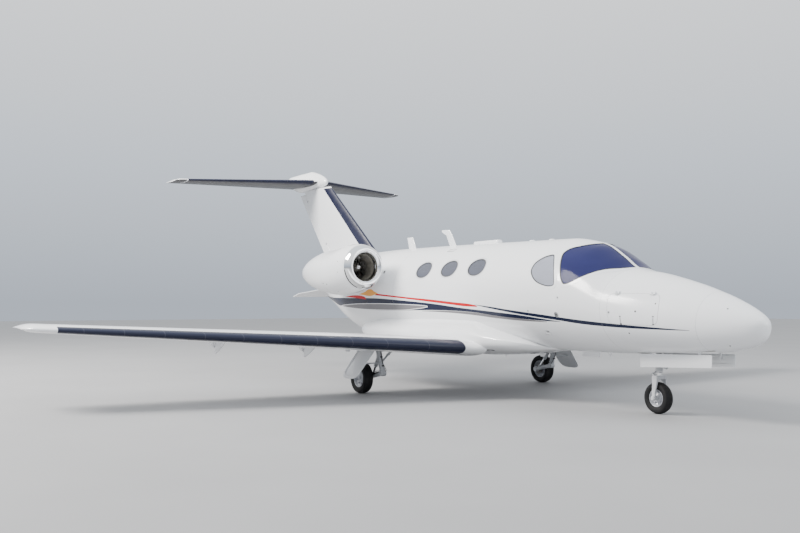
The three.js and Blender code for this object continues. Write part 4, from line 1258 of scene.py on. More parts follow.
HULL = Body(rows(
    (0, 1108, 1092, 8, 1100), (8, 1138, 1048, 46, 1098), (30, 1180, 985, 92, 1095),
    (80, 1225, 925, 150, 1092), (160, 1275, 878, 212, 1090), (330, 1362, 830, 305, 1092),
    (630, 1482, 778, 425, 1105), (1000, 1600, 750, 542, 1140), (1480, 1720, 731, 650, 1210),
    (1840, 1787, 722, 706, 1280), (2090, 1950, 716, 734, 1340), (2370, 2112, 711, 752, 1400),
    (2630, 2178, 709, 762, 1440), (2950, 2228, 708, 766, 1470), (3620, 2240, 708, 768, 1478),
    (6500, 2285, 715, 768, 1495), (7300, 2290, 728, 762, 1520), (7800, 2282, 755, 740, 1550),
    (8230, 2270, 810, 700, 1585), (8700, 2255, 950, 630, 1650), (9300, 2240, 1212, 505, 1760),
    (9800, 2225, 1392, 375, 1850), (10300, 2205, 1575, 240, 1930), (10700, 2180, 1750, 130, 1985),
    (10950, 2140, 1930, 40, 2050)))
FAIRING = Body(rows(
    (3160, 744, 718, 60, 730), (3300, 780, 700, 360, 758), (3467, 846, 674, 600, 805),
    (3763, 955, 640, 760, 836), (4113, 1092, 606, 825, 852), (4446, 1232, 590, 850, 860),
    (5276, 1256, 586, 852, 860), (6443, 1226, 588, 850, 862), (6900, 1236, 618, 808, 868),
    (7424, 1172, 674, 715, 878), (7900, 1085, 785, 540, 900), (8060, 1030, 900, 330, 958)),
    step=1.4, keel_power=2.8)
BULLET = Body(rows(
    (10260, 3812, 3790, 12, 3800), (10320, 3885, 3752, 46, 3810), (10500, 3972, 3722, 82, 3830),
    (10750, 4050, 3706, 110, 3850), (10960, 4090, 3700, 122, 3860), (11400, 4090, 3700, 120, 3870),
    (11700, 4088, 3765, 96, 3920), (11900, 4084, 3880, 60, 3985), (12020, 4074, 4010, 18, 4042)),
    sides=64, step=0.8)


def put(name: str, mesh: Mesh, body: str, finishes: Sequence[Finish],
        replaces: Sequence[str] = (), choose: Callable[[np.ndarray], np.ndarray] | None = None
        ) -> bpy.types.Object:
    """Makes a finished piece of a mesh.

    Args:
        name: The piece's name.
        mesh: Its mesh, in place.
        body: The body that it rides on.
        finishes: Its finishes.
        replaces: The nodes that it stands for.
        choose: Gives each face the number of its finish, from the faces' centres.

    Returns:
        The piece.
    """
    piece = bpy.data.objects.new(name, mesh)
    bpy.context.scene.collection.objects.link(piece)
    mesh.name = name
    mesh.materials.clear()
    for finish in finishes:
        mesh.materials.append(finish.material())
    numbers = np.zeros(len(mesh.polygons), np.int32)
    if choose:
        centres = np.array([p.center for p in mesh.polygons]) / MM
        numbers = np.clip(choose(centres), 0, len(finishes) - 1).astype(np.int32)
    mesh.polygons.foreach_set("material_index", numbers)
    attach(piece, body)
    if replaces:
        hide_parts(*replaces)
    LOG.info("%s: %d faces on %s", name, len(mesh.polygons), body)
    return piece


def put_pair(name: str, mesh: Mesh, bodies: Sequence[str], finishes: Sequence[Finish],
             replaces: Sequence[str] = (),
             choose: Callable[[np.ndarray], np.ndarray] | None = None) -> None:
    """Makes a port piece and its mirror image.

    Args:
        name: The pieces' name, without the side.
        mesh: The port piece's mesh.
        bodies: The body of both, or the port and the starboard one.
        finishes: Their finishes.
        replaces: The nodes that they stand for, without the side.
        choose: Gives each face the number of its finish, from the faces' centres.
    """
    for side, shape in ((Side.LEFT, mesh), (Side.RIGHT, mirrored(mesh))):
        body = bodies[0] if side is Side.LEFT else bodies[-1]
        nodes = [f"{node}_{side.word}" for node in replaces]
        put(f"{name}_{side.word}", shape, body, finishes, nodes, choose)


AIRFRAME = ("airframe",)


@dataclass(frozen=True)
class Joint:
    """A joint of the frame: a point on its axis and the axis's direction."""

    point: np.ndarray
    axis: np.ndarray

    @staticmethod
    def named(frame: dict, name: str) -> "Joint":
        """Reads a joint from the frame by its name, its point in millimetres."""
        found = next(j for j in frame["joints"] if j["name"] == name)
        return Joint(np.array(found["pos_m"]) / MM, unit(found["axis"]))


@dataclass(frozen=True)
class Doorway:
    """A door in the fuselage.

    Attributes:
        station: Station of its centre.
        height: Height of its centre.
        length: Its length.
        rise: Its height from edge to edge.
        corner: Radius of its corners.
        gap: The clearance round it.
        inner: How deep under the skin its block starts.
        outer: How far outside the skin its block ends.
        lean: How much its block grows with each millimetre outward.
    """

    station: float
    height: float
    length: float
    rise: float
    corner: float
    gap: float = 6.0
    inner: float = 320.0
    outer: float = 160.0
    lean: float = 0.34

    def straight_half(self, station: float, height: float) -> float:
        """Half width of the fuselage by straight lines between its rows.

        Args:
            station: The station.
            height: The height.

        Returns:
            The half width.
        """
        table = HULL.table
        crown, keel, half, waist = (np.interp(station, table[:, 0], table[:, k])
                                    for k in range(1, 5))
        rise = crown - waist if height > waist else waist - keel
        return half * math.sqrt(max(0.0, 1 - ((height - waist) / rise) ** 2))

    def axes(self, side: int) -> tuple[np.ndarray, np.ndarray, np.ndarray, np.ndarray]:
        """Centre, then aft, outward and up directions on the skin.

        Args:
            side: 1 for port and -1 for starboard.

        Returns:
            The centre and the three directions.
        """
        def skin(s: float, z: float) -> np.ndarray:
            """A point on the fuselage's side."""
            return np.array([NOSE_X - s, side * self.straight_half(s, z), z])
        s, z = self.station, self.height
        aft = unit(skin(s + 50, z) - skin(s - 50, z))
        rise = unit(skin(s, z + 20) - skin(s, z - 20))
        outward = side * unit(np.cross(aft, rise))
        return skin(s, z), aft, outward, side * unit(np.cross(outward, aft))

    def block(self, side: int, margin: float, inner: float | None = None) -> Mesh:
        """The block that cuts the doorway, narrower inwards so that the door swings out.

        Args:
            side: 1 for port and -1 for starboard.
            margin: How far it reaches past the door's edges.
            inner: How deep it goes, if not the doorway's own depth.

        Returns:
            The block.
        """
        centre, aft, outward, up = self.axes(side)
        rings = []
        for depth in (-(inner or self.inner), self.outer):
            spread = margin + depth * self.lean
            shape = rounded_rectangle(self.length / 2 + spread, self.rise / 2 + spread,
                                      max(self.corner + spread, 8.0))
            rings.append(np.array([centre + u * aft + depth * outward + v * up
                                   for u, v in shape]))
        return loft(rings)

    def panel(self, side: int, thickness: float, margin: float = 0.0) -> Mesh:
        """The door's panel, cut from the fuselage's wall.

        Args:
            side: 1 for port and -1 for starboard.
            thickness: The panel's thickness.
            margin: How far it reaches past the door's edges.

        Returns:
            The panel.
        """
        first, last = self.station - self.length, self.station + self.length
        outer, inner = HULL.solid(0, first, last), HULL.solid(-thickness, first - 9, last + 9)
        return meet(cut(outer, inner), self.block(side, margin))


ENTRY = Doorway(3600, 1520, 640, 1130, 110)
TAIL_DOOR = Doorway(7640, 1180, 600, 380, 60)


@dataclass(frozen=True)
class Hinge:
    """An outside hinge: a knuckle on the door between two on the skin."""

    radius: float = 9.0
    length: float = 44.0
    side: float = 26.0
    reach: float = 50.0
    sink: float = 26.0

    def leaf(self, joint: Joint, place: float, towards: np.ndarray, outward: np.ndarray,
             start: float, end: float) -> Mesh:
        """One knuckle with its leaf, between two distances along the axis.

        Args:
            joint: The door's joint.
            place: The hinge's middle, along the axis from the joint's point.
            towards: The direction in which the leaf reaches.
            outward: The direction off the skin.
            start: The first distance from the hinge's middle.
            end: The second distance.

        Returns:
            The knuckle and its leaf.
        """
        at = joint.point + joint.axis * place
        a, b = at + joint.axis * start, at + joint.axis * end
        pin = rod(a, b, self.radius, sides=24, chamfer=1.5)
        rings = []
        for point in (a, b):
            rings.append(np.array([point + towards * r + outward * o for r, o in (
                (0, self.radius * 0.8), (self.reach * 0.55, -2), (self.reach, -11),
                (self.reach, -self.sink), (0, -self.sink))]))
        return merged(pin, softened(loft(rings), 1.5))

    def pair(self, joint: Joint, places: Sequence[float], towards: np.ndarray,
             outward: np.ndarray) -> tuple[Mesh, Mesh]:
        """The fixed and the moving leaves at several places along the axis.

        Args:
            joint: The door's joint.
            places: The hinges' middles, along the axis.
            towards: The direction over the door.
            outward: The direction off the skin.

        Returns:
            The fixed leaves and the moving ones.
        """
        near = self.length / 2 + SEAM
        fixed, moving = [], []
        for place in places:
            for start, end in ((-near - self.side, -near), (near, near + self.side)):
                fixed.append(self.leaf(joint, place, -towards, outward, start, end))
            moving.append(self.leaf(joint, place, towards, outward,
                                    -self.length / 2, self.length / 2))
        return merged(*fixed), merged(*moving)


@dataclass(frozen=True)
class Window:
    """A window: its name, side, outline in station and height, and nearest Y to the middle."""

    name: str
    side: Side
    outline: tuple[tuple[float, float], ...]
    near: float
    finish: Finish
    body: str = "airframe"

    def prism(self, grow: float) -> Mesh:
        """The window's outline, grown, as a block across one side of the fuselage.

        Args:
            grow: How far the outline is grown.

        Returns:
            The block.
        """
        line = np.array(self.outline)
        centre = line.mean(0)
        tangent = np.roll(line, -1, 0) - np.roll(line, 1, 0)
        normal = np.stack([tangent[:, 1], -tangent[:, 0]], 1)
        normal /= np.linalg.norm(normal, axis=1)[:, None]
        if np.einsum("ij,ij->i", normal, line - centre).mean() < 0:
            normal = -normal
        low, high = max(self.near - grow, 0.5), 1000.0
        span = (low, high) if self.side is Side.LEFT else (-high, -low)
        return side_prism(line + normal * grow, *span)

    def layer(self, outer: float, inner: float) -> Mesh:
        """The fuselage's skin between two depths, near the window.

        Args:
            outer: Depth of the layer's outside.
            inner: Depth of its inside.

        Returns:
            The layer.
        """
        stations = [s for s, z in self.outline]
        first, last = min(stations) - 60, max(stations) + 60
        return cut(HULL.solid(-outer, first, last), HULL.solid(-inner, first - 9, last + 9))


COCKPIT_SIDE = (
    (2600, 1585), (2700, 1566), (2838, 1588), (2975, 1639), (3080, 1725), (3118, 1795),
    (3096, 1886), (3000, 1955), (2900, 1985), (2815, 1990), (2745, 1900), (2670, 1770))
WINDSCREEN = (
    (1872, 1790), (1993, 1770), (2091, 1731), (2223, 1667), (2357, 1603), (2452, 1588),
    (2515, 1655), (2593, 1800), (2654, 1915), (2697, 2006), (2660, 2066), (2573, 2096),
    (2460, 2130), (2365, 2160), (2240, 2120), (2080, 2010), (1872, 1850))
CABIN_STATIONS = (4355, 5035, 5715)
CABIN_WINDOW = (392, 248, 1868)
DOOR_WINDOW = (3600, 350, 248, 1868)


def softened_outline(outline: Sequence[Point], corners: Sequence[int]) -> tuple:
    """A window's outline as a smooth closed curve, drawn tight at its corners.

    Args:
        outline: The outline's points.
        corners: The numbers of the points that are corners.

    Returns:
        The curve's points.
    """
    tight = []
    for i in range(len(outline)):
        p, before, after = (np.array(outline[k % len(outline)], float)
                            for k in (i, i - 1, i + 1))
        if i in corners:
            tight += [p + 0.16 * (before - p), p + 0.16 * (after - p)]
        else:
            tight.append(p)
    return tuple(map(tuple, spline(tight, 5, closed=True)))


def all_windows() -> list[Window]:
    """Every window of the fuselage, the one in the entry door last.

    Returns:
        The windows.
    """
    found = []
    length, height, z = CABIN_WINDOW
    screen = softened_outline(WINDSCREEN, (0, 5, 9, 16))
    quarter = softened_outline(COCKPIT_SIDE, (0, 9))
    for side in Side:
        found.append(Window(f"windshield_{side.word}", side, screen, 26, COCKPIT_SHADE_GLASS))
        found.append(Window(f"cockpit_window_{side.word}", side, quarter, 300, QUARTER_GLASS))
        for i, s in enumerate(CABIN_STATIONS):
            shape = tuple(map(tuple, oval((s, z), length, height)))
            found.append(Window(f"cabin_window_{side.word}_{i + 1}", side, shape, 300,
                                CABIN_GLASS))
    s, length, height, z = DOOR_WINDOW
    shape = tuple(map(tuple, oval((s, z), length, height)))
    found.append(Window("door_window", Side.LEFT, shape, 300, CABIN_GLASS, "entry_door"))
    return found


@dataclass
class Fuselage:
    """Skin, doors and windows, cut from one smooth hull.

    The bay holds its first and last station and its lower and upper height, the well its
    first and last station, half width and top. Hinges are distances along a joint's axis.
    """

    frame: dict
    radome_end: float = 630
    nose_end: float = 1840
    cabin_end: float = 6500
    tail_end: float = 10950
    cabin_wall: float = 65
    tail_wall: float = 22
    nose_wall: float = 36
    bay: tuple[float, ...] = (1095, 1705, 1115, 1465)
    well: tuple[float, ...] = (575, 1740, 186, 1010)
    entry: Doorway = ENTRY
    nose_door: Doorway = Doorway(1400, 1290, 680, 400, 50)
    tail_door: Doorway = TAIL_DOOR
    nose_hinges: tuple[float, ...] = (0, -460)
    entry_hinges: tuple[float, ...] = (0, -320)
    tail_hinges: tuple[float, ...] = (0, -190)
    glazed: tuple[float, float] = (1800, 6600)
    pane_depths: tuple[float, float] = (4, 26)
    pane_gap: float = 0.4
    seal_rise: float = 0.6
    seal_width: float = 13
    frame_rise: float = 1.8
    windows: list[Window] = field(default_factory=all_windows)

    def well_block(self) -> Mesh:
        """The space of the nose wheel."""
        first, last, half, top = self.well
        return box((NOSE_X - last, -half, 400), (NOSE_X - first, half, top))

    def build(self) -> None:
        """Builds every piece of the fuselage."""
        self.skin = HULL.solid()
        self.build_nose()
        self.build_cabin()
        self.build_tail()
        self.build_windows()

    def shaded(self, mesh: Mesh) -> Mesh:
        """A cut piece, shaded by the whole hull."""
        return skin_shaded(mesh, self.skin)

    def hung(self, shell: Mesh, panel: Mesh, name: str, places: Sequence[float],
             inward: np.ndarray, outward: np.ndarray) -> tuple[Mesh, Mesh]:
        """A shell and a door with the leaves of their hinges.

        Args:
            shell: The skin round the door.
            panel: The door.
            name: The joint's name.
            places: Where the hinges stand along its axis.
            inward: A direction from the hinge over the door.
            outward: The direction off the skin.

        Returns:
            The shell and the door.
        """
        joint = Joint.named(self.frame, name)
        out = unit(outward - joint.axis * joint.axis.dot(outward))
        towards = unit(inward - joint.axis * joint.axis.dot(inward) - out * out.dot(inward))
        small = name.startswith("nose")
        hinge = Hinge(6, 30, 16, 36, 22) if small else Hinge()
        fixed, moving = hinge.pair(joint, places, towards, out)
        return merged(shell, fixed), merged(panel, moving)

    def build_nose(self) -> None:
        """Radome, nose section and its two baggage doors."""
        well = self.well_block()
        radome = cut(HULL.solid(0, 0, self.radome_end), well)
        put("radome_skin", self.shaded(radome), "airframe", (HULL_PAINT,),
            replaces=("nose_radome",))
        first, last, low, high = self.bay
        bay = meet(HULL.solid(-self.nose_wall, self.radome_end, self.nose_end),
                   box((NOSE_X - last, -900, low), (NOSE_X - first, 900, high)))
        ways = [self.nose_door.block(side.value, self.nose_door.gap) for side in Side]
        core = HULL.solid(-self.nose_wall - 4, self.radome_end - 5, self.nose_end + 5)
        ways = [cut(way, core) for way in ways]
        shell = HULL.solid(0, self.radome_end + SEAM, self.nose_end - SEAM)
        shell = self.shaded(cut(shell, well, bay, *ways))
        for side in Side:
            panel = self.shaded(self.nose_door.panel(side.value, self.nose_wall, 3.4))
            centre, aft, outward, up = self.nose_door.axes(side.value)
            name = f"nose_baggage_door_{side.word}"
            places = [place * side.value for place in self.nose_hinges]
            shell, panel = self.hung(shell, panel, f"{name}_hinge", places, -up, outward)
            put(f"{name}_panel", panel, name, (HULL_PAINT, BAY_PRIMER), replaces=(name,),
                choose=self.inner_faces)
        put("nose_skin", shell, "airframe", (HULL_PAINT, BAY_PRIMER),
            replaces=("nose_section",), choose=self.inner_faces)

    def inner_faces(self, centres: np.ndarray) -> np.ndarray:
        """One for faces that lie well inside the skin.

        Args:
            centres: The faces' centres, in millimetres.

        Returns:
            One or zero for each face.
        """
        section = HULL.section(NOSE_X - centres[:, 0])
        crown, keel, half, waist = section.T
        rise = np.where(centres[:, 2] > waist, crown - waist, waist - keel) - 9
        reach = (centres[:, 1] / (half - 9)) ** 2 + ((centres[:, 2] - waist) / rise) ** 2
        return (reach < 1).astype(int)

    def build_cabin(self) -> None:
        """Cabin shell and entry door."""
        first, last = self.nose_end, self.cabin_end - SEAM
        shell = HULL.solid(0, first, last)
        room = HULL.solid(-self.cabin_wall, first + self.cabin_wall,
                          self.cabin_end - self.cabin_wall)
        openings = [w.prism(0) for w in self.windows]
        shell = cut(shell, room, *openings, self.entry.block(1, self.entry.gap))
        panel = cut(self.entry.panel(1, self.cabin_wall, 3.0), openings[-1])
        centre, aft, outward, up = self.entry.axes(1)
        shell, panel = self.hung(self.shaded(shell), self.shaded(panel), "entry_door_hinge",
                                 self.entry_hinges, aft, outward)
        put("cabin_skin", shell, "airframe", (HULL_PAINT, LINING), replaces=("cabin_shell",),
            choose=self.inner_faces)
        put("entry_door_panel", panel, "entry_door", (HULL_PAINT, LINING),
            replaces=("entry_door",), choose=self.inner_faces)

    def build_tail(self) -> None:
        """Tail section with its bay, and the baggage door."""
        first, last = self.cabin_end + SEAM, self.tail_end
        shell = HULL.solid(0, first, last)
        shell = cut(shell, HULL.solid(-self.tail_wall, first + 25, 10400),
                    self.tail_door.block(1, self.tail_door.gap))
        centre, aft, outward, up = self.tail_door.axes(1)
        panel = self.tail_door.panel(1, self.tail_wall, 3.0)
        shell, panel = self.hung(self.shaded(shell), self.shaded(panel),
                                 "tail_baggage_door_hinge", self.tail_hinges, aft, outward)
        put("tail_skin", shell, "airframe", (HULL_PAINT, BAY_PRIMER),
            replaces=("tail_section",), choose=self.inner_faces)
        put("tail_baggage_door_panel", panel, "tail_baggage_door", (HULL_PAINT, BAY_PRIMER),
            replaces=("tail_baggage_door",), choose=self.inner_faces)

    def build_windows(self) -> None:
        """Panes, each in a dark seal."""
        outer, inner = self.pane_depths
        sunk = HULL.solid(-outer, *self.glazed)
        proud = HULL.solid(self.seal_rise, *self.glazed)
        raised = HULL.solid(self.frame_rise, *self.glazed)
        for window in self.windows:
            pane = skin_shaded(meet(window.layer(outer, inner), window.prism(-self.pane_gap)),
                               sunk)
            put(f"{window.name}_pane", pane, window.body, (window.finish,),
                (window.name,))
            seal = cut(meet(window.layer(-self.seal_rise, 10), window.prism(-0.2)),
                       window.prism(-self.seal_width))
            put(f"{window.name}_seal", skin_shaded(seal, proud), window.body, (SEAL,))
            in_cabin = window.finish is CABIN_GLASS
            wide, rise = (20, 1.2) if in_cabin else (42, self.frame_rise)
            frame = cut(meet(window.layer(-rise, 6), window.prism(wide)), window.prism(0.2))
            put(f"{window.name}_frame", skin_shaded(frame, raised), window.body,
                (FRAME_PAINT if in_cabin else WHITE_PAINT,))


# Repeated fittings, made by Geometry Nodes


@dataclass(frozen=True)
class Fasteners:
    """Round or hexagonal heads set on points, by one node tree."""

    tree_name: str = "fasteners"
    crown: float = 0.72

    def tree(self) -> bpy.types.NodeTree:
        """The node tree, with the head's radius, height, sides and finish as its inputs.

        Returns:
            The node tree, made once.
        """
        known = bpy.data.node_groups.get(self.tree_name)
        if known:
            return known
        tree = bpy.data.node_groups.new(self.tree_name, "GeometryNodeTree")
        face = tree.interface
        face.new_socket("Points", in_out="INPUT", socket_type="NodeSocketGeometry")
        face.new_socket("Radius", in_out="INPUT", socket_type="NodeSocketFloat")
        face.new_socket("Height", in_out="INPUT", socket_type="NodeSocketFloat")
        face.new_socket("Sides", in_out="INPUT", socket_type="NodeSocketInt")
        face.new_socket("Finish", in_out="INPUT", socket_type="NodeSocketMaterial")
        face.new_socket("Heads", in_out="OUTPUT", socket_type="NodeSocketGeometry")
        new, link = tree.nodes.new, tree.links.new
        given, out = new("NodeGroupInput"), new("NodeGroupOutput")
        head = new("GeometryNodeMeshCone")
        head.inputs["Side Segments"].default_value = 1
        link(given.outputs["Sides"], head.inputs["Vertices"])
        link(given.outputs["Radius"], head.inputs["Radius Bottom"])
        crown = new("ShaderNodeMath")
        crown.operation = "MULTIPLY"
        crown.inputs[1].default_value = self.crown
        link(given.outputs["Radius"], crown.inputs[0])
        link(crown.outputs[0], head.inputs["Radius Top"])
        link(given.outputs["Height"], head.inputs["Depth"])
        way = new("GeometryNodeInputNamedAttribute")
        way.data_type = "FLOAT_VECTOR"
        way.inputs["Name"].default_value = "out"
        turn = new("FunctionNodeAlignRotationToVector")
        turn.axis = "Z"
        link(way.outputs[0], turn.inputs["Vector"])
        spots = new("GeometryNodeInstanceOnPoints")
        link(given.outputs["Points"], spots.inputs["Points"])
        link(head.outputs["Mesh"], spots.inputs["Instance"])
        link(turn.outputs[0], spots.inputs["Rotation"])
        real = new("GeometryNodeRealizeInstances")
        link(spots.outputs[0], real.inputs[0])
        dress = new("GeometryNodeSetMaterial")
        link(real.outputs[0], dress.inputs["Geometry"])
        link(given.outputs["Finish"], dress.inputs["Material"])
        link(dress.outputs[0], out.inputs["Heads"])
        return tree

    def scatter(self, seats: Sequence[Point], outs: Sequence[Point], radius: float,
                height: float, sides: int, finish: Finish) -> Mesh:
        """Heads on points.

        Args:
            seats: The points, in millimetres.
            outs: The direction that each head faces.
            radius: The head's radius at its foot.
            height: The head's height.
            sides: How many sides it has.
            finish: Its finish.

        Returns:
            One mesh with every head.
        """
        points = bpy.data.meshes.new("seats")
        points.from_pydata((np.asarray(seats, float) * MM).tolist(), [], [])
        way = points.attributes.new("out", "FLOAT_VECTOR", "POINT")
        way.data.foreach_set("vector", np.asarray(outs, np.float32).ravel())
        tree = self.tree()
        values = {"Radius": radius * MM, "Height": height * MM, "Sides": sides,
                  "Finish": finish.material()}

        def add(holder: bpy.types.Object) -> None:
            """Adds the node tree with its values.

            Args:
                holder: The object that holds the points.
            """
            modifier = holder.modifiers.new("heads", "NODES")
            modifier.node_group = tree
            for item in tree.interface.items_tree:
                if item.name in values:
                    modifier[item.identifier] = values[item.name]
        heads = evaluated(points, add)
        return smooth_by_angle(heads, 35)


FASTENERS = Fasteners()


# Lifting surfaces


def aerofoil(thickness: float, camber: float, count: int = 26) -> np.ndarray:
    """Points of an aerofoil from the trailing edge over the top and back, for unit chord.

    Args:
        thickness: Its thickness, as a part of the chord.
        camber: Its camber, as a part of the chord.
        count: Steps on each side.

    Returns:
        The points.
    """
    c = 0.5 * (1 - np.cos(np.pi * np.arange(count + 1) / count))
    half = 5 * thickness * (0.2969 * np.sqrt(c) - 0.126 * c - 0.3516 * c**2
                            + 0.2843 * c**3 - 0.1015 * c**4)
    middle = 4 * camber * c * (1 - c)
    upper = np.stack([c, middle + half + 0.001 * c], 1)
    lower = np.stack([c, middle - half - 0.001 * c], 1)
    return np.concatenate([upper[::-1], lower[1:]])


@dataclass(frozen=True)
class Section:
    """One section of a lifting surface: its place, chord, thickness and incidence."""

    y: float
    leading: float
    z: float
    chord: float
    thickness: float
    incidence: float = 0.0
    camber: float = 0.0

    def lifted(self, points: np.ndarray) -> np.ndarray:
        """Points given by chord fractions, in X, Y and Z.

        Args:
            points: Chord fractions aft and up.

        Returns:
            The points in X, Y and Z.
        """
        drop = math.sin(self.incidence)
        c, z = points[:, 0], points[:, 1]
        return np.stack([NOSE_X - self.leading - self.chord * c, np.full_like(c, self.y),
                         self.z + self.chord * (z - c * drop)], 1)

    def ring(self) -> np.ndarray:
        """The section's outline."""
        return self.lifted(aerofoil(self.thickness, self.camber))

    def skin(self, fraction: float) -> np.ndarray:
        """The lower and upper point at a chord fraction.

        Args:
            fraction: The chord fraction.

        Returns:
            The two points.
        """
        points = aerofoil(self.thickness, self.camber, 80)
        middle = len(points) // 2
        upper, lower = points[:middle + 1][::-1], points[middle:]
        pair = [[fraction, np.interp(fraction, side[:, 0], side[:, 1])]
                for side in (lower, upper)]
        return self.lifted(np.array(pair))


def between_rings(rings: Sequence[np.ndarray], count: int) -> list[np.ndarray]:
    """More rings on straight lines between the first two, then the rest."""
    first, second = rings[:2]
    return [first + (second - first) * k / count for k in range(count)] + list(rings[1:])


@dataclass(frozen=True)
class HingedCut:
    """Cuts a control surface with a round nose out of a lifting surface."""

    half: float = 20.0
    clear: float = 9.0
    root: float = 27.0
    gap: float = 5.0

    def cut(self, whole: Mesh, outer: Sequence[np.ndarray], inner: Sequence[np.ndarray],
            radii: Sequence[float], aft: Mesh, aft_inner: Mesh,
            brackets: Sequence[float]) -> tuple[Mesh, Mesh]:
        """Splits a surface along its hinge line.

        Args:
            whole: The whole surface.
            outer: Ends of the space for the nose.
            inner: Ends of the nose itself.
            radii: Radius of the nose at each end.
            aft: The space behind the hinge line.
            aft_inner: The same for the moving part.
            brackets: Places of the hinges, as parts of the nose's length.

        Returns:
            The fixed and the moving part.
        """
        cove = rod(*outer, radii[0] + self.gap, radii[1] + self.gap, sides=40)
        nose = rod(*inner, *radii, sides=40)
        fixed = cut(whole, aft, cove)
        moving = meet(whole, fused(aft_inner, nose))
        start, end = (np.asarray(p, float) for p in inner)
        axis = unit(end - start)
        forward = unit(np.array([1, 0, 0]) - axis * axis[0])
        up = np.cross(axis, forward)
        for part in brackets:
            radius = radii[0] + (radii[1] - radii[0]) * part
            middle = start + (end - start) * part
            notch = [middle + axis * d for d in (-self.half - SEAM, self.half + SEAM)]
            moving = cut(moving, rod(*notch, radius + self.clear, sides=32))
            pin = rod(middle - axis * self.half, middle + axis * self.half, radius * 0.45,
                      sides=20)
            arm = loft([np.array([middle + axis * d + forward * f * (radius + self.root)
                                  + up * u * radius * 0.3
                                  for f, u in ((0, 1), (1, 1), (1, -1), (0, -1))])
                        for d in (-self.half, self.half)])
            fixed = merged(fixed, pin, arm)
        return fixed, moving


def aft_block(hinge_at: Callable[[float], np.ndarray], start: float, end: float, ahead: float,
              depth: float, low: float, high: float) -> Mesh:
    """A block behind a swept hinge line, between two values of Y and two heights.

    Args:
        hinge_at: Gives the hinge line's point for a value of Y.
        start: The first value of Y.
        end: The second value of Y.
        ahead: How far it starts ahead of the line.
        depth: How far it reaches behind the line.
        low: The lower height.
        high: The upper height.

    Returns:
        The block.
    """
    a, b = (NOSE_X - hinge_at(y)[0] for y in (start, end))
    outline = [(a - ahead, start), (a + depth, start), (b + depth, end), (b - ahead, end)]
    return plan_prism(outline, low, high)


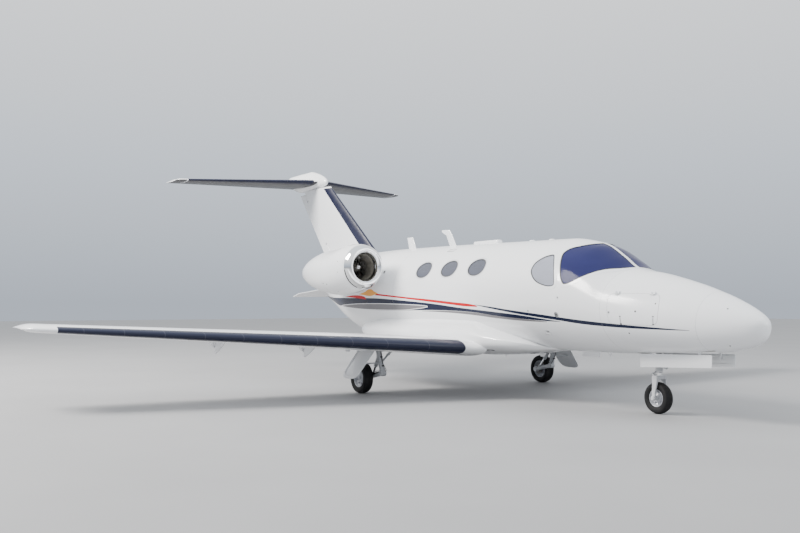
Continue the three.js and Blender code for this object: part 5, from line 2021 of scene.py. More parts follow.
@dataclass
class Wing:
    """Wing with its flap, aileron, fairings, wells, tip and boot.

    Attributes:
        tip_rows: How far out each row is, and its parts of the tip's chord and thickness.
        flap: Inner and outer Y, front edge as a part of the chord, and end gap.
        aileron: The same, with the hinge line for the front edge.
        boot: Inner and outer Y, and its reach as a part of the chord.
        main_well: Station, Y and radius of the wheel's space.
        leg_well: First and last station, inner and outer Y of the leg's space.
        jack_pad: Station, Y and height.
        aileron_space: Depth aft, and lower and upper height of the block that parts it.
        flap_space: The same for the flap.
        brackets: Places of the hinges, as parts of the aileron's length.
        glove_rows: Y of each row of the fillet, and how far ahead it reaches.
    """

    root_y: float = 780
    tip_y: float = 6400
    leading_at_root: float = 4141
    sweep: float = 0.2704
    height_at_root: float = 708
    dihedral: float = 0.0556
    chords: tuple[float, float] = (1980, 905)
    thicknesses: tuple[float, float] = (0.14, 0.12)
    camber: float = 0.018
    incidences: tuple[float, float] = (1.6, -0.6)
    tip_rows: tuple[tuple[float, float, float], ...] = (
        (40, 0.992, 0.975), (80, 0.97, 0.88), (115, 0.92, 0.72), (140, 0.84, 0.52),
        (164, 0.74, 0.32), (180, 0.6, 0.12))
    flap: tuple[float, float, float, float] = (990, 4120, 0.735, 24)
    aileron: tuple[float, float, float, float] = (4190, 6130, 0.75, 14)
    fairing_places: tuple[float, float] = (2700, 4000)
    fairing_drop: float = 150
    boot: tuple[float, float, float] = (980, 6195, 0.075)
    main_well: tuple[float, float, float] = (5480, 1190, 285)
    leg_well: tuple[float, float, float, float] = (5230, 5640, 1380, 1840)
    jack_pad: tuple[float, float, float] = (5330, 2250, 655)
    aileron_space: tuple[float, float, float] = (900, 400, 1500)
    flap_space: tuple[float, float, float] = (1200, 300, 1500)
    brackets: tuple[float, float] = (0.14, 0.86)
    glove_reach: float = 0.26
    glove_rows: tuple[tuple[float, float], ...] = (
        (990, 0), (965, 3), (935, 12), (900, 30), (870, 50), (835, 70), (790, 86), (735, 98))

    def section(self, y: float) -> Section:
        """The wing's section at a distance from the middle plane.

        Args:
            y: The distance.

        Returns:
            The section.
        """
        part = (y - self.root_y) / (self.tip_y - self.root_y)

        def blend(pair: Sequence[float]) -> float:
            """The value between those of the root and the tip."""
            return pair[0] + (pair[1] - pair[0]) * part
        return Section(y, self.leading_at_root + (y - self.root_y) * self.sweep,
                       self.height_at_root + (y - self.root_y) * self.dihedral,
                       blend(self.chords), blend(self.thicknesses),
                       math.radians(blend(self.incidences)), self.camber)

    def skin(self, y: float, fraction: float) -> np.ndarray:
        """Lower and upper point of the wing at a chord fraction.

        Args:
            y: The distance from the middle plane.
            fraction: The chord fraction.

        Returns:
            The two points.
        """
        part = (y - self.root_y) / (self.tip_y - self.root_y)
        root, tip = (self.section(end).skin(fraction) for end in (self.root_y, self.tip_y))
        return root + (tip - root) * part

    def line(self, y: float, fraction: float) -> np.ndarray:
        """The middle of the wing at a chord fraction."""
        return self.skin(y, fraction).mean(0)

    def half_thickness(self, y: float, fraction: float) -> float:
        """Half the wing's thickness at a chord fraction."""
        low, high = self.skin(y, fraction)
        return (high[2] - low[2]) / 2

    def rings(self) -> list[np.ndarray]:
        """The wing's sections from root to tip.

        Returns:
            The sections' outlines.
        """
        tip = self.section(self.tip_y)
        found = [self.section(self.root_y).ring(), tip.ring()]
        for out, part, thick in self.tip_rows:
            base = self.section(self.tip_y + out)
            found.append(Section(base.y, base.leading + tip.chord * (1 - part) * 0.55, base.z,
                                 tip.chord * part, tip.thickness * thick / part,
                                 base.incidence, self.camber).ring())
        return between_rings(found, 16)

    def wells(self) -> list[Mesh]:
        """The spaces for the retracted wheel and leg.

        Returns:
            Two blocks, to be cut from the wing.
        """
        s, y, radius = self.main_well
        turns = np.arange(48) * 2 * math.pi / 48
        round_well = [(s - radius * math.cos(t), y + radius * math.sin(t)) for t in turns]
        first, last, inner, outer = self.leg_well
        trench = [(first, inner), (last, inner), (last, outer), (first, outer)]
        return [plan_prism(round_well, 300, self.line(y, 0.6)[2] + 34),
                plan_prism(trench, 300, self.line(1650, 0.6)[2] + 26)]

    def build(self) -> None:
        """Builds both wings."""
        self.whole = loft(self.rings())
        blocked = [HULL.solid(SEAM, 2000, 9000), FAIRING.solid(SEAM)]
        fixed = cut(self.whole, *self.wells(), *blocked)
        fixed, aileron = self.cut_aileron(fixed)
        fixed, flap = self.cut_flap(fixed)
        fixed = skin_shaded(fixed, self.whole)
        s, y, low = self.jack_pad
        pad = rod((NOSE_X - s, y, low), (NOSE_X - s, y, low + 90), 32, chamfer=3)
        fixed = merged(fixed, pad, *[self.fairing(y, True) for y in self.fairing_places])
        flap = merged(skin_shaded(flap, self.whole),
                      *[self.fairing(y, False) for y in self.fairing_places])
        put_pair("wing_skin", fixed, AIRFRAME, (WING_PAINT,), replaces=("wing",))
        put_pair("aileron_skin", skin_shaded(aileron, self.whole),
                 ("aileron_left", "aileron_right"), (WING_PAINT,), replaces=("aileron",))
        put_pair("flap_skin", flap, ("flap_left", "flap_right"), (WING_PAINT,),
                 replaces=("flap",))
        put_pair("wing_boot", self.boot_sheet(), AIRFRAME, (BOOT,))
        put_pair("wing_root_glove", self.glove(), AIRFRAME, (WHITE_PAINT,))
        self.build_root_fairing()

    def cut_aileron(self, whole: Mesh) -> tuple[Mesh, Mesh]:
        """Parts the aileron from the wing.

        Args:
            whole: The wing.

        Returns:
            The wing without it, and the aileron.
        """
        inner_y, outer_y, hinge, end_gap = self.aileron

        def hinge_at(y: float) -> np.ndarray:
            """A point on the aileron's hinge line."""
            return self.line(y, hinge)
        radii = [self.half_thickness(y, hinge) for y in (inner_y, outer_y)]
        ends = (inner_y - end_gap, outer_y + end_gap)
        return HingedCut().cut(
            whole, [hinge_at(y) for y in ends], [hinge_at(y) for y in (inner_y, outer_y)],
            radii, aft_block(hinge_at, *ends, 5, *self.aileron_space),
            aft_block(hinge_at, inner_y, outer_y, 0, *self.aileron_space), self.brackets)

    def cut_flap(self, whole: Mesh) -> tuple[Mesh, Mesh]:
        """Parts the flap from the wing.

        Args:
            whole: The wing.

        Returns:
            The wing without it, and the flap.
        """
        inner_y, outer_y, front, end_gap = self.flap

        def hinge_at(y: float) -> np.ndarray:
            """A point on the flap's front edge."""
            return self.line(y, front)
        moving = meet(whole, aft_block(hinge_at, inner_y, outer_y, -6, *self.flap_space))
        fixed = cut(whole, aft_block(hinge_at, inner_y - end_gap, outer_y + end_gap, 0,
                                     *self.flap_space))
        return fixed, moving

    def fairing(self, y: float, fixed: bool) -> Mesh:
        """One cheek of a flap fairing: the fixed one is inboard.

        Args:
            y: The fairing's middle.
            fixed: Whether it is the cheek under the wing, and not the flap's.

        Returns:
            The cheek.
        """
        x, unused, z_skin = self.line(y, self.flap[2])
        s, z = NOSE_X - x + 10, z_skin - self.fairing_drop
        if fixed:
            outline = [(s - 430, z_skin - 20), (s - 14, z_skin - 20), (s - 14, z_skin - 85),
                       (s + 14, z), (s - 6, z - 96), (s - 30, z - 100), (s - 150, z - 60),
                       (s - 430, z_skin - 60)]
            return softened(side_prism(outline, y - 20, y - 2.5), 6, 3)
        outline = [(s + 40, z_skin - 12), (s - 14, z), (s, z - 20), (s + 80, z + 6),
                   (s + 330, z_skin - 50), (s + 330, z_skin - 34)]
        return softened(side_prism(outline, y + 2.5, y + 20), 6, 3)

    def boot_sheet(self) -> Mesh:
        """The boot: a thin sheet bonded over the leading edge.

        Returns:
            The sheet.
        """
        inner, outer, reach = self.boot
        whole = between_rings([self.section(inner).ring(), self.section(outer).ring()], 12)
        return boot_of(whole, [self.section(inner + (outer - inner) * k / 12)
                               for k in range(13)], reach)

    def glove(self) -> Mesh:
        """The fillet that leads the fairing's side out to the wing's leading edge.

        Returns:
            The fillet.
        """
        root, tip = self.section(self.root_y).ring(), self.section(self.tip_y).ring()
        rings = []
        for y, ahead in self.glove_rows:
            ring = root + (tip - root) * (y - self.root_y) / (self.tip_y - self.root_y)
            front, back = ring[:, 0].max(), ring[:, 0].min()
            reach = (front - ring[:, 0]) / (front - back)
            near = np.nonzero(reach <= self.glove_reach)[0]
            share = 1 - reach[near] / self.glove_reach
            line = ring[near]
            middle = line[:, 2].mean()
            line[:, 0] += ahead * share ** 1.5
            line[:, 2] += np.sign(line[:, 2] - middle) * (2.4 * share - 1.2)
            rings.append(line)
        return smooth_by_angle(loft(rings), 50)

    def build_root_fairing(self) -> None:
        """The fairing under the fuselage where the wing passes."""
        whole = FAIRING.solid()
        shell = cut(whole, HULL.solid(SEAM, 2500, 8500), ENTRY.block(1, 9),
                    TAIL_DOOR.block(1, 9))
        shell = skin_shaded(shell, whole)
        put("wing_root_fairing", shell, "airframe", (WHITE_PAINT,), replaces=("wing_fairing",))


def boot_of(rings: Sequence[np.ndarray], sections: Sequence[Section], reach: float,
            proud: float = 1.4) -> Mesh:
    """A sheet over the leading edge of a run of sections.

    Args:
        rings: Outlines of the sections.
        sections: The sections.
        reach: How far aft it goes, as a part of the chord.
        proud: How far it stands off the skin, in millimetres.

    Returns:
        The sheet.
    """
    strips = []
    for ring, section in zip(rings, sections):
        points = aerofoil(section.thickness, section.camber)
        near = np.nonzero(points[:, 0] <= reach)[0]
        line = ring[near[0] - 1:near[-1] + 2]
        tangent = np.gradient(line, axis=0)
        normal = np.stack([tangent[:, 2], np.zeros(len(line)), -tangent[:, 0]], 1)
        normal /= np.linalg.norm(normal, axis=1)[:, None]
        if normal[len(line) // 2, 0] < 0:
            normal = -normal
        rise = proud * np.minimum(1, 6 * np.minimum(
            np.arange(len(line)), np.arange(len(line))[::-1]) / len(line))[:, None] + 0.15
        strips.append(np.concatenate([line + normal * rise, (line - normal * 2)[::-1]]))
    return smooth_by_angle(loft(strips), 50)


@dataclass
class Fin:
    """Fin and rudder."""

    base: tuple[float, float, float, float] = (2000, 7905, 10053, 170)
    top: tuple[float, float, float, float] = (3700, 10105, 11535, 118)
    rudder: tuple[float, float] = (2330, 3630)
    low_hinge: tuple[float, float] = (10035, 2330)
    high_hinge: tuple[float, float] = (11205, 3630)
    radii: tuple[float, float] = (33, 27)
    boot_reach: float = 0.15

    def ring(self, row: Sequence[float]) -> np.ndarray:
        """One level section.

        Args:
            row: Height, leading and trailing edge, and thickness.

        Returns:
            The section's outline.
        """
        z, leading, trailing, thickness = row
        chord = trailing - leading
        points = aerofoil(thickness / chord, 0)
        return np.stack([NOSE_X - leading - chord * points[:, 0], chord * points[:, 1],
                         np.full(len(points), z)], 1)

    def hinge(self, z: float) -> np.ndarray:
        """The rudder's hinge line at a height."""
        (s0, z0), (s1, z1) = self.low_hinge, self.high_hinge
        return np.array([NOSE_X - s0 - (s1 - s0) * (z - z0) / (z1 - z0), 0, z])

    def behind(self, low: float, high: float, ahead: float) -> Mesh:
        """A block behind the hinge line, between two heights."""
        a, b = (NOSE_X - self.hinge(z)[0] for z in (low, high))
        return side_prism([(a - ahead, low), (a + 1400, low), (b + 1400, high),
                           (b - ahead, high)], -200, 200)

    def build(self) -> None:
        """Builds the fin, the rudder and the fin's boot."""
        whole = loft(between_rings([self.ring(self.base), self.ring(self.top)], 12))
        body = cut(whole, HULL.solid(SEAM, 7000, 10950), BULLET.solid(SEAM))
        low, high = self.rudder
        fixed, moving = HingedCut().cut(
            body, [self.hinge(low - 300), self.hinge(high + 200)],
            [self.hinge(low - 60), self.hinge(high + 60)], self.radii,
            self.behind(low - 300, high + 300, 5), self.behind(low, high, 0), (0.2, 0.86))
        moving = meet(moving, box((-9000, -200, low), (0, 200, high)))
        put("fin_skin", skin_shaded(fixed, whole), "airframe", (TAIL_PAINT,),
            replaces=("fin",))
        put("rudder_skin", skin_shaded(moving, whole), "rudder", (TAIL_PAINT,),
            replaces=("rudder",))
        put("fin_boot", self.boot(), "airframe", (TAIL_BOOT,))

    def boot(self, start: float = 2318, end: float = 3668) -> Mesh:
        """The boot on the fin's leading edge.

        Args:
            start: The height where it starts.
            end: The height where it ends.

        Returns:
            The boot.
        """
        strips = []
        z0, z1 = self.base[0], self.top[0]
        for k in range(13):
            z = start + (end - start) * k / 12
            row = [a + (b - a) * (z - z0) / (z1 - z0) for a, b in zip(self.base, self.top)]
            ring = self.ring(row)
            points = aerofoil(0.1, 0)
            near = np.nonzero(points[:, 0] <= self.boot_reach)[0]
            line = ring[near[0] - 1:near[-1] + 2]
            tangent = np.gradient(line, axis=0)
            normal = np.stack([tangent[:, 1], -tangent[:, 0], np.zeros(len(line))], 1)
            normal /= np.linalg.norm(normal, axis=1)[:, None]
            if normal[len(line) // 2, 0] < 0:
                normal = -normal
            strips.append(np.concatenate([line + normal * 1.3, (line - normal * 2)[::-1]]))
        return smooth_by_angle(loft(strips), 50)


@dataclass
class Tailplane:
    """Stabiliser, elevators and the bullet that carries them on the fin."""

    root_y: float = 60
    tip_y: float = 2460
    end_y: float = 2650
    height: float = 3838
    leadings: tuple[float, float] = (10505, 11610)
    trailings: tuple[float, float] = (12000, 12345)
    thicknesses: tuple[float, float] = (0.092, 0.085)
    hinges: tuple[float, float] = (11640, 12110)
    inner_y: float = 165
    end_gap: float = 12
    horn_front: float = 11400
    boot: tuple[float, float, float] = (150, 2440, 0.085)
    last_station: float = 12370

    def section(self, y: float, grow: float = 0.0) -> Section:
        """The tailplane's section at a distance from the middle plane.

        Args:
            y: The distance.
            grow: How far the section is grown.

        Returns:
            The section.
        """
        part = (y - self.root_y) / (self.tip_y - self.root_y)

        def blend(pair: Sequence[float]) -> float:
            """The value between those of the root and the tip."""
            return pair[0] + (pair[1] - pair[0]) * part
        leading = blend(self.leadings) - 2 * grow
        chord = blend(self.trailings) + 2 * grow - leading
        return Section(y, leading, self.height, chord, blend(self.thicknesses)
                       + 4 * grow / chord)

    def whole(self) -> Mesh:
        """One side of the tailplane, with its rounded tip.

        Returns:
            The port half.
        """
        end = self.section(self.end_y)
        leading = end.leading + 60
        tip = Section(end.y, leading, end.z, self.last_station - leading, end.thickness * 0.5)
        rings = [self.section(0).ring(), self.section(self.tip_y).ring(),
                 self.section(self.end_y - 70).ring(), tip.ring()]
        return loft(between_rings(rings, 10))

    def hinge(self, y: float) -> np.ndarray:
        """The elevator's hinge line.

        Args:
            y: The distance from the middle plane.

        Returns:
            The point on the line.
        """
        part = (y - self.root_y) / (self.tip_y - self.root_y)
        first, last = self.hinges
        return np.array([NOSE_X - first - (last - first) * part, y, self.height])

    def horn(self, margin: float) -> Mesh:
        """The space of the elevator's horn at the tip.

        Args:
            margin: How far inboard of the horn it starts.

        Returns:
            The block.
        """
        near = self.tip_y - margin
        front = self.horn_front
        return plan_prism([(front, near), (12600, near), (12600, 2800), (front, 2800)],
                          3600, 4100)

    def build(self) -> None:
        """Builds the tailplane and its bullet."""
        whole = self.whole()

        def aft(start: float, ahead: float) -> Mesh:
            """The space behind the hinge line."""
            return aft_block(self.hinge, start, 2900, ahead, 900, 3600, 4100)
        radii = []
        for y, part in ((self.inner_y, 0.78), (self.tip_y, 0.68)):
            low, high = self.section(y).skin(part)
            radii.append((high[2] - low[2]) / 2)
        fixed, moving = HingedCut().cut(
            whole, [self.hinge(self.inner_y - self.end_gap), self.hinge(self.tip_y + 40)],
            [self.hinge(self.inner_y), self.hinge(self.tip_y - 30)], radii,
            fused(aft(self.inner_y - self.end_gap, 5), self.horn(self.end_gap + 10)),
            fused(aft(self.inner_y, 0), self.horn(0)), (0.12, 0.8))
        fixed = skin_shaded(fixed, whole)
        both = merged(fixed, mirrored(fixed))
        both = skin_shaded(both, whole, mirrored(whole))
        # Faces below the chord line take the near-black painted shade.
        put("stabiliser_skin", both, "airframe", (TAIL_PAINT, UNDERSIDE_SHADE_PAINT),
            replaces=("stabiliser",), choose=self.underside)
        put_pair("elevator_skin", skin_shaded(moving, whole),
                 ("elevator_left", "elevator_right"), (TAIL_PAINT, UNDERSIDE_SHADE_PAINT),
                 replaces=("elevator",), choose=self.underside)
        inner, outer, reach = self.boot
        sections = [self.section(inner + (outer - inner) * k / 10) for k in range(11)]
        sheet = boot_of([s.ring() for s in sections], sections, reach)
        put_pair("stabiliser_boot", sheet, AIRFRAME, (TAIL_BOOT,))
        slot = loft([self.section(0, SEAM).ring(), self.section(400, SEAM).ring()])
        bullet = cut(BULLET.solid(), slot, mirrored(slot))
        put("bullet_fairing", skin_shaded(bullet, BULLET.solid()), "airframe", (TAIL_PAINT,),
            replaces=("tail_bullet",))

    def underside(self, centres: np.ndarray) -> np.ndarray:
        """One for faces below the chord line, which take the near-black painted shade of the
        underside.
        """
        return (centres[:, 2] < self.height - 0.5).astype(int)


# Engines


@dataclass
class Engine:
    """A nacelle with its lip, liner, fan, core, nozzle and pylon.

    Attributes:
        outer: Distance aft of the inlet and radius of the cowl, from the nozzle forward.
        inner: The same for the inside, from the lip aft.
        lip_edge: Distance aft where the lip ends outside and inside.
        droop: Where the bend starts and ends, and how far it drops.
        skin_droop: The same for the cowl.
        pylon: Y, front and back station and half thickness of each row.
        strut: Radius of the inner and the outer end of the core's struts.
        outlets: Distance aft, half width, first and last angle in degrees.
        drains: Distance aft, angle in degrees and radius.
    """

    y: float = 1200
    z: float = 1940
    inlet: float = 6590
    outer: tuple[tuple[float, float], ...] = (
        (1990, 178), (1750, 262), (1350, 348), (900, 397), (400, 398), (90, 355), (20, 318),
        (0, 280))
    inner: tuple[tuple[float, float], ...] = (
        (20, 243), (60, 220), (110, 211), (330, 234), (430, 240), (700, 322), (1600, 278),
        (1990, 168))
    lip_edge: tuple[float, float] = (118, 140)
    droop: tuple[float, float, float] = (500, 1500, 56)
    skin_droop: tuple[float, float, float] = (125, 900, 56)
    fan_station: float = 392
    fan_radius: float = 226
    hub: float = 80
    blades: int = 10
    core: tuple[tuple[float, float], ...] = (
        (500, 0), (500, 123), (620, 205), (1560, 205), (1560, 123), (1880, 20), (1880, 0))
    pylon: tuple[tuple[float, ...], ...] = ((430, 7050, 7960, 60), (1080, 7000, 8060, 70))
    skin_wall: float = 7
    lip_wall: float = 8
    lip_back: float = 9
    lip_crest: float = 285
    duct_end: float = 700
    duct_wall: float = 6
    nozzle_end: float = 1990
    strut: tuple[float, float] = (190, 333)
    strut_aft: float = 900
    spinner: float = 150
    hub_end: float = 499.5
    outlets: tuple[tuple[float, ...], ...] = ((104, 12, -70, -8), (52, 9, -112, -80))
    drains: tuple[tuple[float, float, float], ...] = (
        (760, -34, 12), (860, -31, 9), (905, -30, 6), (300, -12, 7), (300, 14, 7),
        (620, -62, 8))

    def centre(self) -> tuple[float, float, float]:
        """The middle of the inlet's front edge."""
        return (NOSE_X - self.inlet, self.y, self.z)

    def turned(self, rows: Sequence[Point], sides: int = 112, outside: bool = False) -> Mesh:
        """A piece turned about the engine's axis, from rows of distance aft and radius."""
        return self.lowered(turned(rows, self.centre(), (-1, 0, 0), sides), outside)

    def lowered(self, mesh: Mesh, outside: bool = False) -> Mesh:
        """A piece bent down towards the nozzle, the outside sooner than the inside.

        Args:
            mesh: The piece.
            outside: Whether it bends with the outside.

        Returns:
            The same mesh.
        """
        first, last, drop = self.skin_droop if outside else self.droop
        for vertex in mesh.vertices:
            aft = NOSE_X - self.inlet - vertex.co.x / MM
            share = min(1.0, max(0.0, (aft - first) / (last - first)))
            vertex.co.z -= drop * MM * share * share * (3 - 2 * share)
        return mesh

    def build(self) -> None:
        """Builds both engines and their pylons."""
        line = spline(self.outer + self.inner, 9)
        front = int(np.argmin(line[:, 0]))
        outer, inner = line[:front + 1], line[front:]
        outer_lip, inner_lip = self.lip_edge
        edge = np.interp(outer_lip, outer[::-1, 0], outer[::-1, 1])
        shell = [*outer[outer[:, 0] > outer_lip + 2], (outer_lip + 1, edge)]
        inside = inner[inner[:, 0] >= self.duct_end]
        back = [(a, r - self.skin_wall) for a, r in shell[::-1]]
        put_pair("nacelle_skin", smooth_by_angle(self.turned([*shell, *back], outside=True)),
                 AIRFRAME, (COWL_PAINT,), replaces=("nacelle",))
        lip = np.concatenate([[(outer_lip, edge)], outer[outer[:, 0] < outer_lip - 2],
                              inner[inner[:, 0] < inner_lip]])
        behind, thick = self.lip_back, self.lip_wall
        wall = [(a + behind, r + (thick if a > 20 else 0)) for a, r in lip[::-1]
                if r < self.lip_crest]
        wall += [(a + behind, r - thick) for a, r in lip[::-1]
                 if r >= self.lip_crest and a < outer_lip - behind]
        put_pair("inlet_lip", smooth_by_angle(self.turned([*lip, *wall]), 50), AIRFRAME,
                 (POLISHED,))
        self.build_marks(outer)
        duct = inner[(inner[:, 0] >= inner_lip) & (inner[:, 0] < self.duct_end)]
        put_pair("inlet_duct", smooth_by_angle(self.turned(
            [*duct, *[(a, r + self.duct_wall) for a, r in duct[::-1]]])), AIRFRAME, (LINER,))
        put_pair("bypass_nozzle", smooth_by_angle(self.turned(
            [*inside, *[(a, r + self.duct_wall) for a, r in inside[::-1]
                        if a < self.nozzle_end - 4]])), AIRFRAME, (TITANIUM,))
        self.build_core()
        self.build_fan()
        self.build_pylon()

    def build_marks(self, outer: np.ndarray) -> None:
        """Black strips and pegs under the lip and on the cowl: painted shade that stands for the
        outlets and the drain holes.

        Args:
            outer: Rows of the cowl's outside.
        """
        def on_cowl(aft: float, turn: float, out: float) -> list[float]:
            """A point on the cowl, by its distance aft and its angle.

            Args:
                aft: Distance from the inlet.
                turn: Angle from port upward, in radians.
                out: How far it stands off the cowl.

            Returns:
                The point.
            """
            radius = np.interp(aft, outer[::-1, 0], outer[::-1, 1]) + out
            return [NOSE_X - self.inlet - aft, self.y + radius * math.cos(turn),
                    self.z + radius * math.sin(turn)]
        strips = []
        for aft, wide, first, last in self.outlets:
            front, back = aft - wide, aft + wide
            rings = [np.array([on_cowl(front, turn, -2), on_cowl(front, turn, 0.9),
                               on_cowl(back, turn, 0.9), on_cowl(back, turn, -2)])
                     for turn in np.radians(np.linspace(first, last, 30))]
            strips.append(loft(rings))
        for aft, turn, radius in self.drains:
            turn = math.radians(turn)
            low, high = (np.array(on_cowl(aft, turn, out)) for out in (-3, 0.8))
            strips.append(rod(low, high, radius, sides=20))
        strips = [self.lowered(strip, True) for strip in strips]
        # Black trim paints the shade inside the outlets and drain holes.
        put_pair("cowl_outlets", smooth_by_angle(merged(*strips), 30), AIRFRAME,
                 (BLACK_TRIM,))

    def build_core(self) -> None:
        """The core with its plug, and the struts that carry it."""
        body = softened(turned(self.core, self.centre(), (-1, 0, 0), 72), 8, 3, 20)
        struts = []
        for k in range(3):
            t = math.pi / 2 + k * 2 * math.pi / 3
            foot, head = (spot(self.inlet + self.strut_aft, self.y + radius * math.cos(t),
                               self.z + radius * math.sin(t)) for radius in self.strut)
            struts.append(rod(foot, head, 20, sides=24))
        core = smooth_by_angle(merged(body, *struts), 35)
        put_pair("engine_core", core, AIRFRAME, (TITANIUM,),
                 replaces=("engine",))

    def build_fan(self) -> None:
        """The fan: a spinner and twisted blades."""
        front = self.fan_station
        nose = [(front - self.spinner * math.cos(t), self.hub * math.sin(t))
                for t in np.linspace(0, math.pi / 2, 14)]
        rows_of = [(front - self.spinner, 0), *nose[1:], (self.hub_end, self.hub),
                   (self.hub_end, 0)]
        hub = smooth_by_angle(self.turned(rows_of, 64), 40)
        blade = self.blade()
        turned_blades = []
        middle = np.array(self.centre()) * MM
        for k in range(self.blades):
            copy = blade.copy()
            turn = Matrix.Rotation(2 * math.pi * k / self.blades, 4, "X")
            copy.transform(Matrix.Translation(middle) @ turn)
            turned_blades.append(copy)
        fan = merged(hub, *turned_blades)
        put_pair("fan_rotor", smooth_by_angle(fan, 40), ("fan_left", "fan_right"),
                 (BLADE_METAL,), replaces=("fan",))

    def blade(self, steps: int = 10) -> Mesh:
        """One fan blade, twisted from root to tip, standing up from the axis.

        Args:
            steps: Steps from root to tip.

        Returns:
            The blade.
        """
        rings = []
        for k in range(steps + 1):
            part = k / steps
            radius = self.hub - 12 + (self.fan_radius - 4 - self.hub + 12) * part
            twist = 0.45 + 0.62 * part
            chord, thick = 78 + 22 * math.sin(part * 2.6), 7.5 - 4 * part
            points = aerofoil(thick / chord, 0.05, 10) * chord
            c, t = points[:, 0] - chord / 2, points[:, 1]
            along = -(self.fan_station + 35) - c * math.cos(twist) - t * math.sin(twist)
            across = c * math.sin(twist) - t * math.cos(twist)
            rings.append(np.stack([along, across, np.full(len(c), radius)], 1))
        return loft(rings)

    def build_pylon(self) -> None:
        """The pylon between nacelle and fuselage."""
        rings = []
        for y, front, back, half in self.pylon:
            chord = back - front
            points = aerofoil(2 * half / chord, 0, 30)
            rings.append(np.stack([NOSE_X - front - chord * points[:, 0],
                                   np.full(len(points), y),
                                   self.z - 20 + chord * points[:, 1]], 1))
        whole = loft(between_rings(rings, 8))
        line = spline(self.outer, 9)
        cowling = self.turned([(self.nozzle_end, 0), *line, (0, 0)], outside=True)
        pylon = cut(whole, HULL.solid(SEAM, 6000, 9500), cowling)
        put_pair("pylon_skin", skin_shaded(pylon, whole), AIRFRAME, (WHITE_PAINT,),
                 replaces=("pylon",))


# Landing gear


@dataclass(frozen=True)
class WheelSize:
    """A wheel: its station, tyre radius, width and rim radius, and its number of facets."""

    station: float
    radius: float
    width: float
    rim: float
    y: float = 0
    facets: int = 24

    @property
    def axle_z(self) -> float:
        """Height of the axle, which is also the radius that the tyre may have."""
        return self.radius * math.cos(math.pi / self.facets)


MAIN_WHEEL = WheelSize(5751, 235, 160, 142, 1775)
NOSE_WHEEL = WheelSize(1563, 195, 125, 108)
AXLE_RADIUS = 23.6


@dataclass
class Wheel:
    """A tyre on a rim, with its hub, spokes and bolts."""

    size: WheelSize
    y: float
    name: str
    body: str
    windows: int = 9
    grooves: int = 3

    def centre(self) -> np.ndarray:
        """The middle of the wheel."""
        return np.array([NOSE_X - self.size.station, self.y, self.size.axle_z])

    def turned(self, rows: Sequence[Point], sides: int = 96) -> Mesh:
        """A piece turned about the axle, from rows of distance to port and radius."""
        return turned(rows, self.centre(), (0, 1, 0), sides)

    def tyre(self) -> Mesh:
        """The tyre: round shoulders, ribs on its sides and grooves round its tread.

        Returns:
            The tyre.
        """
        size = self.size
        half, top = size.width / 2, size.axle_z - 0.1
        side = [(-half * 0.70, size.rim), (-half * 0.80, size.rim + 6),
                (-half * 0.97, size.rim + 0.34 * (top - size.rim)),
                (-half * 1.0, size.rim + 0.5 * (top - size.rim)),
                (-half * 0.9, top - 0.18 * (top - size.rim)), (-half * 0.62, top - 7),
                (-half * 0.40, top - 1.5)]
        curve = spline(side, 5)
        tread = []
        pitch = half * 0.72 / self.grooves
        for k in range(self.grooves):
            middle = (k - (self.grooves - 1) / 2) * pitch
            tread += [(middle - 3.4, top), (middle - 2.4, top - 5), (middle + 2.4, top - 5),
                      (middle + 3.4, top)]
        left = [(-d, r) for d, r in curve[::-1]]
        return smooth_by_angle(self.turned([*curve, *tread, *left], 120), 40)

    def rim(self) -> Mesh:
        """The rim: a dished disc with windows between its spokes.

        Returns:
            The rim.
        """
        size = self.size
        half, rim = size.width / 2, size.rim - SEAM
        rows_of = [
            (half * 0.70, rim), (half * 0.74, rim - 3), (half * 0.70, rim - 9),
            (half * 0.34, rim - 17), (half * 0.22, rim * 0.62), (half * 0.40, rim * 0.42),
            (half * 0.46, 27), (half * 0.46, 24.8), (-half * 0.46, 24.8), (-half * 0.46, 27),
            (-half * 0.40, rim * 0.42), (-half * 0.10, rim * 0.62), (-half * 0.34, rim - 17),
            (-half * 0.70, rim - 9), (-half * 0.74, rim - 3), (-half * 0.70, rim)]
        disc = self.turned(rows_of, 96)
        holes = []
        for k in range(self.windows):
            t = 2 * math.pi * k / self.windows
            radius, wide = rim * 0.66, rim * 0.13
            x, z = radius * math.cos(t), radius * math.sin(t)
            at = self.centre() + [x, 0, z]
            holes.append(rod(at - [0, half, 0], at + [0, half, 0], wide, sides=28))
        return smooth_by_angle(softened(cut(disc, *holes), 1.2, 2, 40), 40)

    def hub(self) -> Mesh:
        """The hub cap and its nut.

        Returns:
            The cap.
        """
        half, out = self.size.width / 2, 1 if self.y >= 0 else -1
        cap = [(out * half * 0.46, 0), (out * half * 0.46, 33), (out * half * 0.60, 31),
               (out * half * 0.70, 20), (out * half * 0.72, 0)]
        return smooth_by_angle(self.turned(cap, 48), 35)

    def build(self) -> None:
        """Builds the tyre, the rim and the bolts."""
        put(f"{self.name}_tyre_tread", self.tyre(), self.body, (TYRE,),
            (self.name.replace("wheel", "tyre"),))
        put(f"{self.name}_rim", merged(self.rim(), self.hub()), self.body,
            (RIM_ENAMEL,), (self.name,))
        seats, outs = [], []
        half, ring = self.size.width / 2, self.size.rim * 0.86
        for side in (-1, 1):
            for k in range(self.windows):
                t = 2 * math.pi * (k + 0.5) / self.windows
                seats.append(self.centre() + [ring * math.cos(t), side * half * 0.40,
                                              ring * math.sin(t)])
                outs.append([0, side, 0])
        put(f"{self.name}_bolts", FASTENERS.scatter(seats, outs, 6.0, 9.0, 6, STEEL),
            self.body, (STEEL,))


